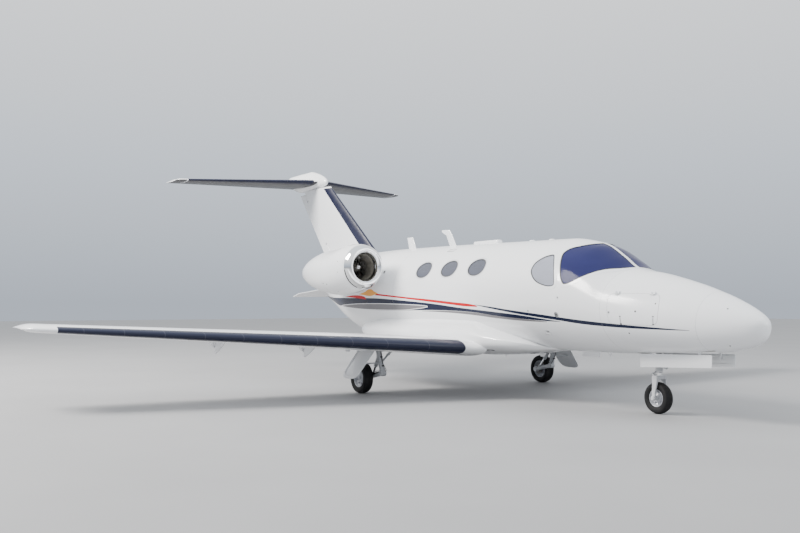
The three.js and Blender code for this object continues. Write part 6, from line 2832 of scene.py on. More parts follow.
@dataclass
class MainGear:
    """A main leg, its trailing arm, shock strut, brake and door.

    Pairs are Y and height, and triples have the station before them. The caliper's turns
    are degrees, and the collars are parts of the way down the leg.
    """

    station: float = 5365
    top: tuple[float, float] = (1730, 735)
    knee: tuple[float, float] = (1640, 315)
    arm_y: float = 1648
    radius: float = 46
    shock_top: tuple[float, float, float] = (5440, 1665, 560)
    shock_foot: tuple[float, float, float] = (5640, 1640, 290)
    trunnion_z: float = 721
    leg_well: tuple[float, float] = (5230, 5640)
    door: tuple[tuple[float, float], tuple[float, float]] = ((1850, 676.8), (2165, 255))
    door_run: tuple[float, float] = (5215, 5690)
    link: tuple[float, float] = (1680, 470)
    shock_lug: tuple[float, float] = (1695, 590)
    collars: tuple[float, float, float] = (0.18, 0.55, 0.86)
    brace: tuple[tuple[float, float], ...] = ((1672, 470), (1560, 590), (1470, 672))
    disc_radius: float = 84
    caliper_ring: float = 62
    caliper_turns: tuple[float, ...] = (20, 55, 90, 125, 160)

    def build(self) -> None:
        """Builds the pieces of both legs and both doors."""
        s, (top_y, top_z), (knee_y, knee_z) = self.station, self.top, self.knee
        axle_z, wheel = MAIN_WHEEL.axle_z, MAIN_WHEEL
        at, inner = wheel.station, wheel.y - wheel.width / 2
        leg = [
            rod(spot(s, knee_y, knee_z), spot(s, top_y, top_z), self.radius * 0.82,
                self.radius, sides=48),
            rod(spot(s, knee_y - 44, knee_z), spot(s, knee_y + 44, knee_z), 42, chamfer=5),
            rod(spot(s, self.arm_y, knee_z), spot(at, self.arm_y, axle_z), 34, 29),
            rod(spot(at, self.arm_y - 36, axle_z), spot(at, inner - 9, axle_z), 42,
                chamfer=4),
            rod(spot(s, *self.shock_lug), spot(*self.shock_top), 24, 20),
            rod(spot(self.leg_well[0] + SEAM, top_y, self.trunnion_z),
                spot(self.leg_well[1] - SEAM, top_y, self.trunnion_z), 34, chamfer=4),
            rod(spot(s - 10, top_y - 6, top_z - 40), spot(s - 4, top_y - 250, top_z - 30),
                20, chamfer=2),
            rod(spot(s, *self.link), spot(s, self.link[0] + 318, self.link[1]), 10),
        ]
        leg += [self.collar(part) for part in self.collars]
        put_pair("main_leg_strut", smooth_by_angle(merged(*leg), 30), AIRFRAME,
                 (GEAR_ENAMEL,), replaces=("main_leg",))
        middle = [a + 0.55 * (b - a) for a, b in zip(self.shock_top, self.shock_foot)]
        body = rod(spot(*self.shock_top), spot(*middle), 30, chamfer=4)
        eye = [rod(spot(p[0], p[1] - 30, p[2]), spot(p[0], p[1] + 30, p[2]), 20, chamfer=3)
               for p in (self.shock_top, self.shock_foot)]
        put_pair("main_shock_body", smooth_by_angle(merged(body, *eye), 30), AIRFRAME,
                 (GEAR_ENAMEL,))
        put_pair("main_shock_rod", smooth_by_angle(
            rod(spot(*middle), spot(*self.shock_foot), 18), 30), AIRFRAME, (CHROME,))
        self.build_lines()
        self.build_brake()
        self.build_door()

    def build_lines(self) -> None:
        """Brake and squat-switch lines, clipped to the leg, and the folding side brace."""
        s, (top_y, top_z), (knee_y, knee_z) = self.station, self.top, self.knee
        at, axle_z = MAIN_WHEEL.station, MAIN_WHEEL.axle_z
        lines = []
        for k, (off, sag) in enumerate(((-52, 0), (50, 18), (58, -12))):
            lines.append(pipe([
                spot(s + off, top_y - 20, top_z - 20), spot(s + off * 1.1, 1700, 600 + sag),
                spot(s + off, 1672, 470), spot(s + off * 0.8, knee_y - 30, knee_z + 40),
                spot(s + 110, self.arm_y + 44, knee_z + 8 + sag),
                spot(s + 240, self.arm_y + 40, 286 + sag / 2),
                spot(at - 70, self.arm_y + 20, axle_z + 62 - k * 10)], 5.5, 10, 6))
        clips = [softened(box(spot(s + 62, knee_y + dy - 18, z - 9),
                              spot(s - 62, knee_y + dy + 18, z + 9)), 3)
                 for dy, z in ((52, 560), (22, 430))]
        put_pair("main_gear_lines", smooth_by_angle(merged(*lines, *clips), 40), AIRFRAME,
                 (BLACK_TRIM,))
        foot, elbow, head = self.brace
        brace = [rod(spot(s - 8, *foot), spot(s - 20, *elbow), 15, chamfer=2),
                 rod(spot(s - 20, *elbow), spot(s - 26, *head), 17, chamfer=2),
                 rod(spot(s - 50, *elbow), spot(s + 10, *elbow), 13, chamfer=2)]
        put_pair("main_side_brace", smooth_by_angle(merged(*brace), 30), AIRFRAME,
                 (GEAR_ENAMEL,))

    def collar(self, part: float) -> Mesh:
        """A collar round the leg.

        Args:
            part: How far down the leg it sits, from 0 to 1.

        Returns:
            The collar.
        """
        top, knee = spot(self.station, *self.top), spot(self.station, *self.knee)
        middle, along = top + (knee - top) * part, unit(knee - top)
        radius = self.radius * (1 - 0.18 * part) + 5
        return rod(middle - along * 9, middle + along * 9, radius, sides=48, chamfer=2)

    def build_brake(self) -> None:
        """The brake: discs, a caliper and the axle."""
        wheel = MAIN_WHEEL
        inner = wheel.y - wheel.width / 2
        axle_z, s = wheel.axle_z, wheel.station
        discs = [rod(spot(s, inner + d, axle_z), spot(s, inner + d + 7, axle_z),
                     self.disc_radius, sides=72, chamfer=1) for d in (4, 17)]
        axle = rod(spot(s, self.arm_y, axle_z), spot(s, wheel.y + 50, axle_z),
                   AXLE_RADIUS)
        pistons = [(s + self.caliper_ring * math.cos(t), axle_z + self.caliper_ring * math.sin(t))
                   for t in np.radians(self.caliper_turns)]
        caliper = [rod(spot(a, inner - 6, z), spot(a, inner + 9, z), 19, chamfer=2)
                   for a, z in pistons]
        put_pair("main_brake", smooth_by_angle(merged(*discs, axle, *caliper), 30), AIRFRAME,
                 (DARK_STEEL,))

    def build_door(self) -> None:
        """The flat door beside the leg, with its stiffening frame."""
        (top_y, top_z), (low_y, low_z) = self.door
        first, last = self.door_run
        slope = unit([low_y - top_y, low_z - top_z])
        edge = [(first, 0.03), (last, 0.03), (last, 0.74), (last - 14, 0.86), (last - 50, 0.95),
                (last - 110, 0.99), (last - 180, 1), (first + 150, 1), (first + 90, 0.975),
                (first + 46, 0.92), (first + 24, 0.84)]

        def layer(depth: float, inset: float) -> np.ndarray:
            """The door's outline at a depth from its outside.

            Args:
                depth: The depth.
                inset: How much smaller it is, as a part of its size.

            Returns:
                The outline's points.
            """
            middle = (first + last) / 2
            points = []
            for s, part in edge:
                s = middle + (s - middle) * (1 - inset)
                part = 0.5 + (part - 0.5) * (1 - inset)
                y = top_y + (low_y - top_y) * part - slope[1] * depth
                z = top_z + (low_z - top_z) * part + slope[0] * depth
                points.append([NOSE_X - s, y, z])
            return np.array(points)
        plate = softened(loft([layer(0, 0), layer(5, 0)]), 1.5)
        frame = cut(loft([layer(4, 0.02), layer(12, 0.02)]),
                    loft([layer(3, 0.16), layer(13, 0.16)]))
        door = smooth_by_angle(merged(plate, softened(frame, 1.5)), 30)
        put_pair("main_gear_door_panel", door, AIRFRAME, (WHITE_PAINT,),
                 replaces=("main_gear_door",))


@dataclass
class NoseGear:
    """Nose leg, steering fork and the doors of its well.

    Attributes:
        door: First and last station, Y, and upper and lower height.
        collars: Heights of the leg's collars.
        lamp: How far ahead of the leg the lamp is, and its height.
        link_elbow: How far aft of the leg the torque links meet, and the height.
    """

    station: float = 1545
    radius: float = 34
    top: float = 985
    bottom: float = 520
    brace_run: float = 420
    half: float = 186
    crown_z: float = 455
    leg_half: float = 92
    leg_thickness: float = 22
    axle_reach: float = 114
    piston: float = 25
    door: tuple[float, float, float, float, float] = (590, 1660, 196, 765, 572)
    collars: tuple[float, float, float] = (620, 700, 800)
    lamp: tuple[float, float] = (62, 600)
    link_top: float = 516
    link_elbow: tuple[float, float] = (118, 486)

    def build(self) -> None:
        """Builds the leg, the fork, the lamp and the doors."""
        s, reach = self.station, self.half - SEAM
        collar = self.radius * 1.3
        leg = [
            rod(spot(s, 0, self.bottom), spot(s, 0, self.top), self.radius,
                self.radius * 1.15, sides=48),
            rod(spot(s, 0, self.bottom), spot(s, 0, self.bottom + 50), collar, chamfer=5,
                sides=48),
            rod(spot(s, -reach, self.top - 60), spot(s, reach, self.top - 60), 26,
                chamfer=3),
            rod(spot(s, 0, self.bottom + 150), spot(s - self.brace_run, 0, self.top - 70),
                22),
            rod(spot(s - self.brace_run, -reach, self.top - 70),
                spot(s - self.brace_run, reach, self.top - 70), 20, chamfer=2),
        ]
        for z in self.collars:
            leg.append(rod(spot(s, 0, z), spot(s, 0, z + 16), self.radius * 1.2, sides=48,
                           chamfer=3))
        put("nose_leg_strut", smooth_by_angle(merged(*leg), 30), "airframe", (GEAR_ENAMEL,),
            ("nose_leg",))
        self.build_fork()
        self.build_lamp()
        self.build_doors()

    def build_fork(self) -> None:
        """The fork, its chromed piston and the axle."""
        s, at, axle_z = self.station, NOSE_WHEEL.station, NOSE_WHEEL.axle_z
        foot = [(at + 27 * math.sin(t), axle_z - 27 * math.cos(t))
                for t in np.linspace(-1.4, 1.4, 9)]
        outline = [(s - 40, self.crown_z - 6), (s - 36, 372), (at - 24, axle_z + 60), *foot,
                   (at + 24, axle_z + 60), (s + 36, 372), (s + 40, self.crown_z - 6)]
        low, high = self.leg_half - self.leg_thickness, self.leg_half
        sides = [softened(side_prism(outline, low, high), 4, 3, 50),
                 softened(side_prism(outline, -high, -low), 4, 3, 50)]
        arch = rounded_rectangle(high + 2, 46, 22, 6)
        crown = softened(loft([np.array([[NOSE_X - s + v, u, z] for u, v in arch])
                               for z in (self.crown_z - 30, self.crown_z + 12)]), 6, 3, 50)
        axle = rod(spot(at, -self.axle_reach, axle_z), spot(at, self.axle_reach, axle_z),
                   AXLE_RADIUS, chamfer=3)
        nuts = [rod(spot(at, side * high, axle_z), spot(at, side * (high + 14), axle_z),
                    32, sides=6, chamfer=2) for side in (-1, 1)]
        put("nose_fork_frame", smooth_by_angle(merged(*sides, crown, axle, *nuts), 30),
            "nose_fork", (GEAR_ENAMEL,), ("nose_fork",))
        piston = rod(spot(s, 0, self.crown_z), spot(s, 0, self.bottom - SEAM),
                     self.piston, sides=48)
        links = []
        reach, elbow_z = self.link_elbow
        for side in (-1, 1):
            upper = [spot(s + 40, side * 20, self.link_top),
                     spot(s + reach, side * 8, elbow_z)]
            links.append(rod(*upper, 9, 7, chamfer=1))
            links.append(rod(upper[1], spot(s + 44, side * 26, self.crown_z + 4), 8, 8,
                             chamfer=1))
        links.append(rod(spot(s + reach, -18, elbow_z), spot(s + reach, 18, elbow_z), 11,
                         chamfer=2))
        links.append(rod(spot(s, 0, 500), spot(s, 0, 514), 38, sides=40, chamfer=3))
        put("nose_torque_links", smooth_by_angle(merged(*links), 30), "nose_fork",
            (GEAR_ENAMEL,))
        put("nose_fork_piston", smooth_by_angle(piston, 30), "nose_fork", (CHROME,))

    def build_lamp(self) -> None:
        """The taxi lamp on the leg."""
        ahead, z = self.lamp
        at = spot(self.station - ahead, 0, z)
        shell = turned([(0, 0), (0, 26), (38, 44), (52, 46), (52, 42), (40, 40), (6, 20),
                        (6, 0)], at, (1, 0, -0.12), 48)
        lens = turned([(36, 0), (36, 40), (46, 40), (50, 0)], at, (1, 0, -0.12), 48)
        put("taxi_lamp_shell", smooth_by_angle(shell, 30), "airframe", (GEAR_ENAMEL,))
        put("taxi_lamp_lens", smooth_by_angle(lens, 30), "airframe", (CLEAR_LENS,))

    def build_doors(self) -> None:
        """The two long doors beside the nose wheel."""
        first, last, y, top, bottom = self.door
        skin = HULL.solid(SEAM, 400, 1900)
        outline = [(first + 8, top), (first, top - 8), (first, bottom + 58),
                   (first + 10, bottom + 48), (last - 10, bottom), (last, bottom + 8),
                   (last, top - 38), (last - 8, top - 30)]
        plate = cut(side_prism(outline, y + 5, y + 12), skin)
        middle = [(first + 14, top - 10), (first + 14, bottom + 62), (last - 14, bottom + 14),
                  (last - 14, top - 40)]
        inner = [(first + 42, top - 34), (first + 42, bottom + 84), (last - 42, bottom + 38),
                 (last - 42, top - 66)]
        frame = cut(side_prism(middle, y, y + 6), side_prism(inner, y - 1, y + 7), skin)
        arms = []
        for s, high in ((first + 190, 742), (last - 150, 726)):
            arms.append(side_prism([(s - 18, 812), (s + 18, 812), (s + 12, 690), (s - 12, 690)],
                                   y - 26, y - 11))
            arms.append(side_prism([(s - 12, high), (s + 12, high), (s + 12, 690), (s - 12, 690)],
                                   y - 14, y + 3))
        arms = [softened(arm, 3) for arm in arms]
        door = smooth_by_angle(merged(softened(plate, 1.5), softened(frame, 1.5), *arms), 30)
        put_pair("nose_gear_door_panel", door, AIRFRAME, (WHITE_PAINT,),
                 replaces=("nose_gear_door",))


# Cabin


@dataclass(frozen=True)
class Pad:
    """A stuffed pad: its outline from the side, half width and sewn channels.

    The outline runs forward from the foot of the seat's back, and up from the ground.
    """

    name: str
    outline: tuple[tuple[float, float], ...]
    half: float
    channels: tuple[float, ...]
    along: bool
    inset: float = 13.0
    cap: float = 17.0
    voxel: float = 13.0

    def start(self) -> Mesh:
        """The pad before it is stuffed, a little small, as even quads.

        Returns:
            The mesh.
        """
        line = np.array(self.outline)
        middle = line.mean(0)
        line = middle + (line - middle) * (1 - self.inset / np.abs(line - middle).max(0))
        reach = self.half - self.inset
        rings = [np.array([[a, y, z] for a, z in line]) for y in (-reach, reach)]

        def add(holder: bpy.types.Object) -> None:
            """Adds the even quads and the rounding.

            Args:
                holder: The object that holds the pad.
            """
            remesh = holder.modifiers.new("even", "REMESH")
            remesh.mode, remesh.voxel_size = "VOXEL", self.voxel * MM
            smooth = holder.modifiers.new("round", "SMOOTH")
            smooth.iterations = 3
        return evaluated(loft(rings), add)

    def stuffed(self) -> Mesh:
        """The pad after cloth has been blown up and held to its cap.

        Returns:
            The mesh.
        """
        mesh = self.start()
        rest = np.array([v.co for v in mesh.vertices])
        mesh = self.swollen(mesh)
        moved = np.array([v.co for v in mesh.vertices]) - rest
        length = np.linalg.norm(moved, axis=1, keepdims=True)
        held = rest + moved * np.minimum(1, self.cap * MM / np.maximum(length, 1e-9))
        mesh.vertices.foreach_set("co", held.ravel())

        def add(holder: bpy.types.Object) -> None:
            """Adds the finer faces."""
            holder.modifiers.new("fine", "SUBSURF").levels = 1
        return self.sewn(evaluated(mesh, add))

    def swollen(self, mesh: Mesh) -> Mesh:
        """Blows the pad up as cloth, without gravity.

        Args:
            mesh: The pad.

        Returns:
            The pad after twenty steps.
        """
        scene = bpy.context.scene
        holder = bpy.data.objects.new("stuffing", mesh)
        scene.collection.objects.link(holder)
        cloth = holder.modifiers.new("cloth", "CLOTH")
        cloth.settings.use_pressure = True
        cloth.settings.uniform_pressure_force = 4.0
        cloth.settings.effector_weights.gravity = 0.0
        cloth.settings.quality = 5
        for step in range(1, 21):
            scene.frame_set(step)
        graph = bpy.context.evaluated_depsgraph_get()
        result = bpy.data.meshes.new_from_object(holder.evaluated_get(graph))
        bpy.data.objects.remove(holder)
        scene.frame_set(1)
        return result

    def sewn(self, mesh: Mesh) -> Mesh:
        """Draws the channels into the face that is sat on.

        Args:
            mesh: The pad.

        Returns:
            The same mesh.
        """
        place = np.array([v.co for v in mesh.vertices]) / MM
        out = np.array([n.vector for n in mesh.vertex_normals])
        run = place[:, 0] if self.along else place[:, 2]
        facing = out[:, 2] if self.along else out[:, 0]
        dip = sum(np.exp(-((run - c) / 9) ** 2) for c in self.channels)
        welt = np.exp(-((np.abs(place[:, 1]) - self.half * 0.72) / 9) ** 2)
        depth = 7 * np.maximum(dip, welt) * np.clip(facing * 2, 0, 1)
        mesh.vertices.foreach_set("co", ((place - out * depth[:, None]) * MM).ravel())
        mesh.shade_smooth()
        return mesh


PADS = (
    Pad("cushion", ((0, 1235), (510, 1245), (520, 1330), (490, 1365), (0, 1340)), 220,
        (170, 330), True),
    Pad("back", ((-40, 1240), (90, 1330), (0, 1790), (-60, 1800), (-130, 1780)), 220,
        (1430, 1600), False),
    Pad("headrest", ((-20, 1770), (-44, 1930), (-80, 1950), (-130, 1935), (-120, 1770)), 121,
        (1860,), False, inset=10, voxel=10),
)


@dataclass(frozen=True)
class Seat:
    """A seat: station of its back's foot, Y, 1 if it faces forward, and width."""

    name: str
    station: float
    y: float
    facing: int
    width: float

    def placed(self, mesh: Mesh) -> Mesh:
        """A piece of a seat, moved from its own axes to its place.

        Args:
            mesh: The piece.

        Returns:
            A copy in its place.
        """
        own = mesh.copy()
        turn = Matrix.Diagonal((self.facing, self.facing * self.width / 440, 1, 1))
        shift = Matrix.Translation(((NOSE_X - self.station) * MM, self.y * MM, 0))
        own.transform(shift @ turn)
        return own


@dataclass
class Cabin:
    """Floor, instrument panel and seats. The yoke's pair is its station and height."""

    floor_top: float = 962
    floor_thickness: float = 40
    room: tuple[float, float] = (1906, 6434)
    wall: float = 65
    aisle: float = 170
    desk_face: float = 2250
    screen_places: tuple[float, ...] = (-370, 0, 370)
    screen_z: float = 1452
    knob_places: tuple[float, ...] = (-120, -72, -24, 24, 72, 120)
    knob_z: float = 1305
    yoke: tuple[float, float] = (2412, 1290)
    crew_y: float = 330
    crew: tuple[Seat, ...] = (
        Seat("crew_seat_right", 3060, -330, 1, 440), Seat("crew_seat_left", 3060, 330, 1, 440))
    club: tuple[Seat, ...] = (
        Seat("club_seat_right_1", 4080, -340, -1, 460),
        Seat("club_seat_left_1", 4080, 340, -1, 460),
        Seat("club_seat_right_2", 5640, -340, 1, 460),
        Seat("club_seat_left_2", 5640, 340, 1, 460))

    def build(self) -> None:
        """Builds every piece of the cabin."""
        self.build_floor()
        self.build_panel()
        self.build_yokes()
        pads = [(pad, pad.stuffed()) for pad in PADS]
        for group, node, run in ((self.crew, "crew_seats", (2700, 3080)),
                                 (self.club, "cabin_seats", (4060, 5700))):
            self.build_frames(group, node, run)
            for seat in group:
                for pad, shape in pads:
                    piece = put(f"{seat.name}_{pad.name}", seat.placed(shape), "airframe",
                                (LEATHER,))

    def build_floor(self) -> None:
        """The floor under its carpet, with the joint of the aisle runner."""
        first, last = self.room
        top, low = self.floor_top, self.floor_top - self.floor_thickness
        inside = HULL.solid(-self.wall - SEAM, first - 40, last + 40)
        deck = meet(box((NOSE_X - last, -800, low), (NOSE_X - first, 800, top - 5)), inside)
        back, front = NOSE_X - last, NOSE_X - first
        pile = meet(box((back + 4, -800, top - 9), (front - 4, 800, top)), inside)
        grooves = [box((back, y - 2, top - 4), (front, y + 2, top + 5))
                   for y in (-self.aisle, self.aisle)]
        pile = softened(cut(pile, *grooves), 1.2)
        put("floor_deck", smooth_by_angle(deck), "airframe", (BAY_PRIMER,),
            ("cabin_floor",))
        put("floor_carpet", smooth_by_angle(pile), "airframe", (CARPET,))

    def build_panel(self) -> None:
        """Desk, displays, knobs and pedestal."""
        desk = side_prism([(2010, 1560), (2170, 1622), (2330, 1672), (2350, 1640), (2250, 1600),
                           (2250, 1250), (2205, 1250), (2190, 1560)], -690, 690)
        desk = meet(desk, HULL.solid(-self.wall - 12, 1840, 6500))
        foot = self.floor_top + SEAM
        pedestal = side_prism([(2200, foot), (2620, foot), (2620, 1230), (2400, 1330),
                               (2200, 1420)], -110, 110)
        shell = merged(softened(desk, 6, 3), softened(pedestal, 10, 3))
        put("instrument_desk", smooth_by_angle(shell), "airframe", (PANEL,),
            ("instrument_panel",))
        bezels, glass, seats = [], [], []
        face = self.desk_face
        for y in self.screen_places:
            for grow, depth, into in ((0, 8, bezels), (-12, 9, glass)):
                shape = rounded_rectangle(150 + grow, 104 + grow, 12)
                rings = [np.array([spot(s, y + u, self.screen_z + v) for u, v in shape])
                         for s in (face - 1, face + depth)]
                into.append(loft(rings))
            seats += [spot(face, y + dy, self.knob_z) for dy in self.knob_places]
        bezels = [softened(b, 2) for b in bezels]
        put("display_bezels", smooth_by_angle(merged(*bezels)), "airframe", (BLACK_TRIM,))
        put("display_screens", smooth_by_angle(merged(*glass)), "airframe", (SCREEN,))
        outs = [(-1, 0, 0)] * len(seats)
        put("panel_knobs", FASTENERS.scatter(seats, outs, 11, 18, 20, BLACK_TRIM), "airframe",
            (BLACK_TRIM,))
        levers = []
        for y in (-32, 32):
            levers.append(rod(spot(2440, y, 1300), spot(2400, y, 1400), 5))
            grip = box(spot(2420, y - 22, 1395), spot(2388, y + 22, 1420))
            levers.append(softened(grip, 6, 3))
        put("thrust_levers", smooth_by_angle(merged(*levers)), "airframe", (BLACK_TRIM,))

    def build_yokes(self) -> None:
        """Two control wheels on their columns."""
        pieces = []
        s, z = self.yoke
        wheel = [(-150, 88), (-158, 10), (-120, -30), (-40, -22), (40, -22), (120, -30),
                 (158, 10), (150, 88)]
        for y in (-self.crew_y, self.crew_y):
            pieces.append(rod(spot(self.desk_face, y, z - 10), spot(s - 12, y, z), 14))
            pieces.append(pipe([spot(s, y + u, z + v) for u, v in wheel], 13, 12, 5))
            boss = box(spot(s + 12, y - 44, z - 38), spot(s - 14, y + 44, z + 10))
            pieces.append(softened(boss, 8, 3))
        put("control_wheels", smooth_by_angle(merged(*pieces), 40), "airframe", (BLACK_TRIM,))

    def build_frames(self, group: Sequence[Seat], node: str, run: tuple[float, float]) -> None:
        """Rails, pedestals, shells and armrests of a group of seats.

        Args:
            group: The seats.
            node: The name of the node that they stand for.
            run: The first and last station of the rails.
        """
        first, last = run
        foot = self.floor_top + SEAM
        back, front = NOSE_X - last, NOSE_X - first
        rails = [softened(cut(box((back, y - 25, foot), (front, y + 25, 992)),
                              box((back - 5, y - 7, 984), (front + 5, y + 7, 999))), 1.5)
                 for y in (-300, 300)]
        rails.append(box((NOSE_X - last, -325, foot), (NOSE_X - last + 50, 325, 990)))
        put(f"{node}_rails", smooth_by_angle(merged(*rails)), "airframe", (STEEL,),
            (node,))
        inside = HULL.solid(-self.wall - 14, 1840, 6500)
        frames = []
        for seat in group:
            parts = [
                softened(loft([np.array([[a, y * w, z] for a, y in (
                    (60, -1), (420, -1), (420, 1), (60, 1))]) for z, w in (
                        (foot + 30, 128), (1080, 112), (1228, 130))]), 14, 3),
                softened(side_shell([(-40, 1236), (-72, 1330), (-146, 1700), (-152, 1770),
                                     (-134, 1782), (-120, 1700), (-40, 1330), (-20, 1240)], 206),
                         5, 2),
            ]
            parts += [softened(side_shell([(-60, 1440), (330, 1440), (352, 1458), (340, 1478),
                                           (-66, 1478)], 26, y), 8, 3) for y in (-246, 246)]
            parts += [rod((150, y, 1280), (150, y, 1445), 12) for y in (-246, 246)]
            frames.append(meet_all(seat.placed(merged(*parts)), inside))
        put(f"{node}_frames", smooth_by_angle(merged(*frames)), "airframe", (LINING,))


def side_shell(outline: Sequence[Point], half: float, middle: float = 0.0) -> Mesh:
    """A plate in a seat's own axes, from its side outline."""
    rings = [np.array([[a, y, z] for a, z in outline]) for y in (middle - half, middle + half)]
    return loft(rings)


def meet_all(mesh: Mesh, inside: Mesh) -> Mesh:
    """Each loose solid of a mesh, held inside another.

    Args:
        mesh: The mesh.
        inside: The other mesh.

    Returns:
        The solids inside it.
    """
    work = bmesh.new()
    work.from_mesh(mesh)
    bmesh.ops.recalc_face_normals(work, faces=work.faces)
    work.to_mesh(mesh)
    work.free()
    return combined(mesh, Op.MEET, inside, exact=True)


# Fittings on the skin


@dataclass
class Fittings:
    """Aerials, strakes, lights, handles, probes, ports and screws.

    Pairs are station and height, unless stated.

    Attributes:
        blades: Name, outline, half thickness and the nodes that each stands for.
        latches: Body, side, places, and half length, half height, corner and rise of the seat, a
            black plate of painted recess shade, and of the lever.
        roof_box: Station, height, half length, half width and corner.
        jack_pad: Station, height and radius.
        masts: Station and Y.
        hatch: Station, height, half length and half height of the outline of a panel.
        screw_rings: Station and number of screws.
        nose_well: Top and half width of the space that has no screws.
        dots: Station, height and radius of small ports, drawn as dark discs of painted shade.
    """

    strake: dict = field(default_factory=lambda: {
        "root": (9080, 9990), "tip": (9780, 10010), "reach": 490, "y": 380, "low": 1492,
        "thickness": 16, "level": 9900, "slope": 0.24})
    blades: tuple = (
        ("roof_aerial_blade", ((5730, 2200), (5905, 2200), (6060, 2470), (6190, 2530),
                               (6180, 2555), (5960, 2545), (5850, 2400)), 9, ("roof_aerial",)),
        ("belly_aerial_blade", ((2550, 735), (2870, 735), (2885, 640), (2555, 640)), 9, ()),
        ("tail_aerial_blade", ((6940, 2250), (7165, 2250), (7240, 2492), (7062, 2492)), 10, ()),
        ("small_aerial_blade", ((2320, 735), (2410, 735), (2385, 668), (2352, 668)), 5, ()),
        ("belly_fin_blade", ((3620, 640), (3760, 640), (3735, 592), (3660, 592)), 5, ()),
    )
    latches: tuple = (
        ("nose_baggage_door_right", -1, ((1118, 1150), (1548, 1150)), (11, 52, 8, 1.0),
         (6, 36, 5, 2.2)),
        ("nose_baggage_door_left", 1, ((1118, 1150), (1548, 1150)), (11, 52, 8, 1.0),
         (6, 36, 5, 2.2)),
        ("entry_door", 1, ((3420, 1500),), (70, 26, 18, 1.0), (58, 13, 10, 6.0)),
        ("tail_baggage_door", 1, ((7480, 1110),), (40, 18, 12, 1.0), (32, 10, 8, 3.0)),
    )
    roof_box: tuple[float, ...] = (4950, 2266, 322, 55, 46)
    dome_stations: tuple[float, float] = (3480, 3900)
    beacon: tuple[float, float] = (7300, 672)
    jack_pad: tuple[float, float, float] = (1790, 704, 32)
    masts: tuple = ((6100, -180), (4650, 160))
    probe: tuple[float, float] = (2916, 981)
    vent: tuple[float, float] = (6900, 1870)
    sensor: tuple[float, float] = (2595, 1204)
    cover: tuple[float, float] = (5370, 2170)
    slot: tuple[float, float] = (4000, 690)
    hatch: tuple[float, ...] = (4330, 926, 138, 136)
    screw_rings: tuple = ((642, 44), (9312, 40))
    nose_well: tuple[float, float] = (800, 200)
    screw_edge: float = 30
    screw_pitch: float = 62
    ports: tuple = ((1707, 1242), (2530, 1424), (3140, 1248))
    dots: tuple = ((1344, 1255, 11), (1118, 1345, 9), (1476, 995, 10), (353, 1290, 9),
                   (353, 879, 9))

    def build(self) -> None:
        """Builds every fitting."""
        self.build_blades()
        self.build_strakes()
        self.build_roof()
        self.build_lights()
        self.build_latches()
        self.build_probes()
        self.build_screws()

    def blade(self, outline: Sequence[Point], half: float) -> Mesh:
        """A blade aerial with a round front edge and a thin back edge.

        Args:
            outline: Its outline in station and height.
            half: Half its thickness.

        Returns:
            The blade.
        """
        line = np.array(outline, float)
        middle = line.mean(0)
        rings = []
        for y, inset in ((-half, 0.16), (-half * 0.75, 0.06), (0, 0), (half * 0.75, 0.06),
                         (half, 0.16)):
            ring = middle + (line - middle) * (1 - inset)
            rings.append(np.array([[NOSE_X - s, y, z] for s, z in ring]))
        return smooth_by_angle(softened(loft(rings), 2, 2, 50), 40)

    def build_blades(self) -> None:
        """The blade aerials, each sunk a little into the skin."""
        for name, outline, half, nodes in self.blades:
            put(name, self.blade(outline, half), "airframe", (WHITE_PAINT,), replaces=nodes)

    def build_strakes(self) -> None:
        """The flat strakes under the tail."""
        s, y, low = self.strake, self.strake["y"], self.strake["low"]
        root, tip, reach, thick = s["root"], s["tip"], s["reach"], s["thickness"]
        outline = [(root[0], y * 0.6), (root[1], y * 0.3), (tip[1], y + reach),
                   (tip[0], y + reach)]
        plate = softened(plan_prism(outline, low, low + thick), 5, 3, 60)
        for vertex in plate.vertices:
            vertex.co.z += (s["level"] * MM - NOSE_X * MM + vertex.co.x) * s["slope"]
        plate = cut(plate, HULL.solid(-8, 8800, 10500))
        put_pair("strake_skin", smooth_by_angle(plate, 30), AIRFRAME,
                 (WHITE_PAINT,))

    def build_roof(self) -> None:
        """The low fairing and the two domes on the roof."""
        rings = []
        s, z, half_length, half_width, corner = self.roof_box
        for lift, inset in ((-90, 0), (0, 0), (30, 6), (44, 22)):
            shape = rounded_rectangle(half_length - inset, half_width - inset * 0.7,
                                      corner - inset * 0.7)
            rings.append(np.array([[NOSE_X - s + u, v, z + lift] for u, v in shape]))
        put("roof_fairing_skin", smooth_by_angle(softened(loft(rings), 5, 3), 35), "airframe",
            (WHITE_PAINT,), replaces=("roof_fairing",))
        domes = []
        for s in self.dome_stations:
            domes.append(turned([(-30, 0), (-30, 44), (2, 44), (12, 36), (17, 18), (18, 0)],
                                HULL.on_ring(s, math.pi / 2), (0, 0, 1), 40))
        put("roof_domes", smooth_by_angle(merged(*domes), 30), "airframe", (WHITE_PAINT,))

    def build_lights(self) -> None:
        """The beacon under the belly."""
        s, z = self.beacon
        beacon = turned([(-20, 0), (-20, 40), (4, 40), (22, 34), (40, 20), (46, 0)],
                        (NOSE_X - s, 0, z), (0, 0, -1), 40)
        put("belly_beacon_lens", smooth_by_angle(beacon, 30), "airframe", (RED_LENS,))

    def build_latches(self) -> None:
        """Latches and handles, each on a black plate that paints the shade of its recess."""
        for body, side, places, seat, lever in self.latches:
            for name, size, finish in ((f"{body}_latch_seat", seat, BLACK_TRIM),
                                       (f"{body}_latch", lever, STEEL)):
                plates = [self.plate(*place, side, *size) for place in places]
                put(name, smooth_by_angle(merged(*plates)), body, (finish,))

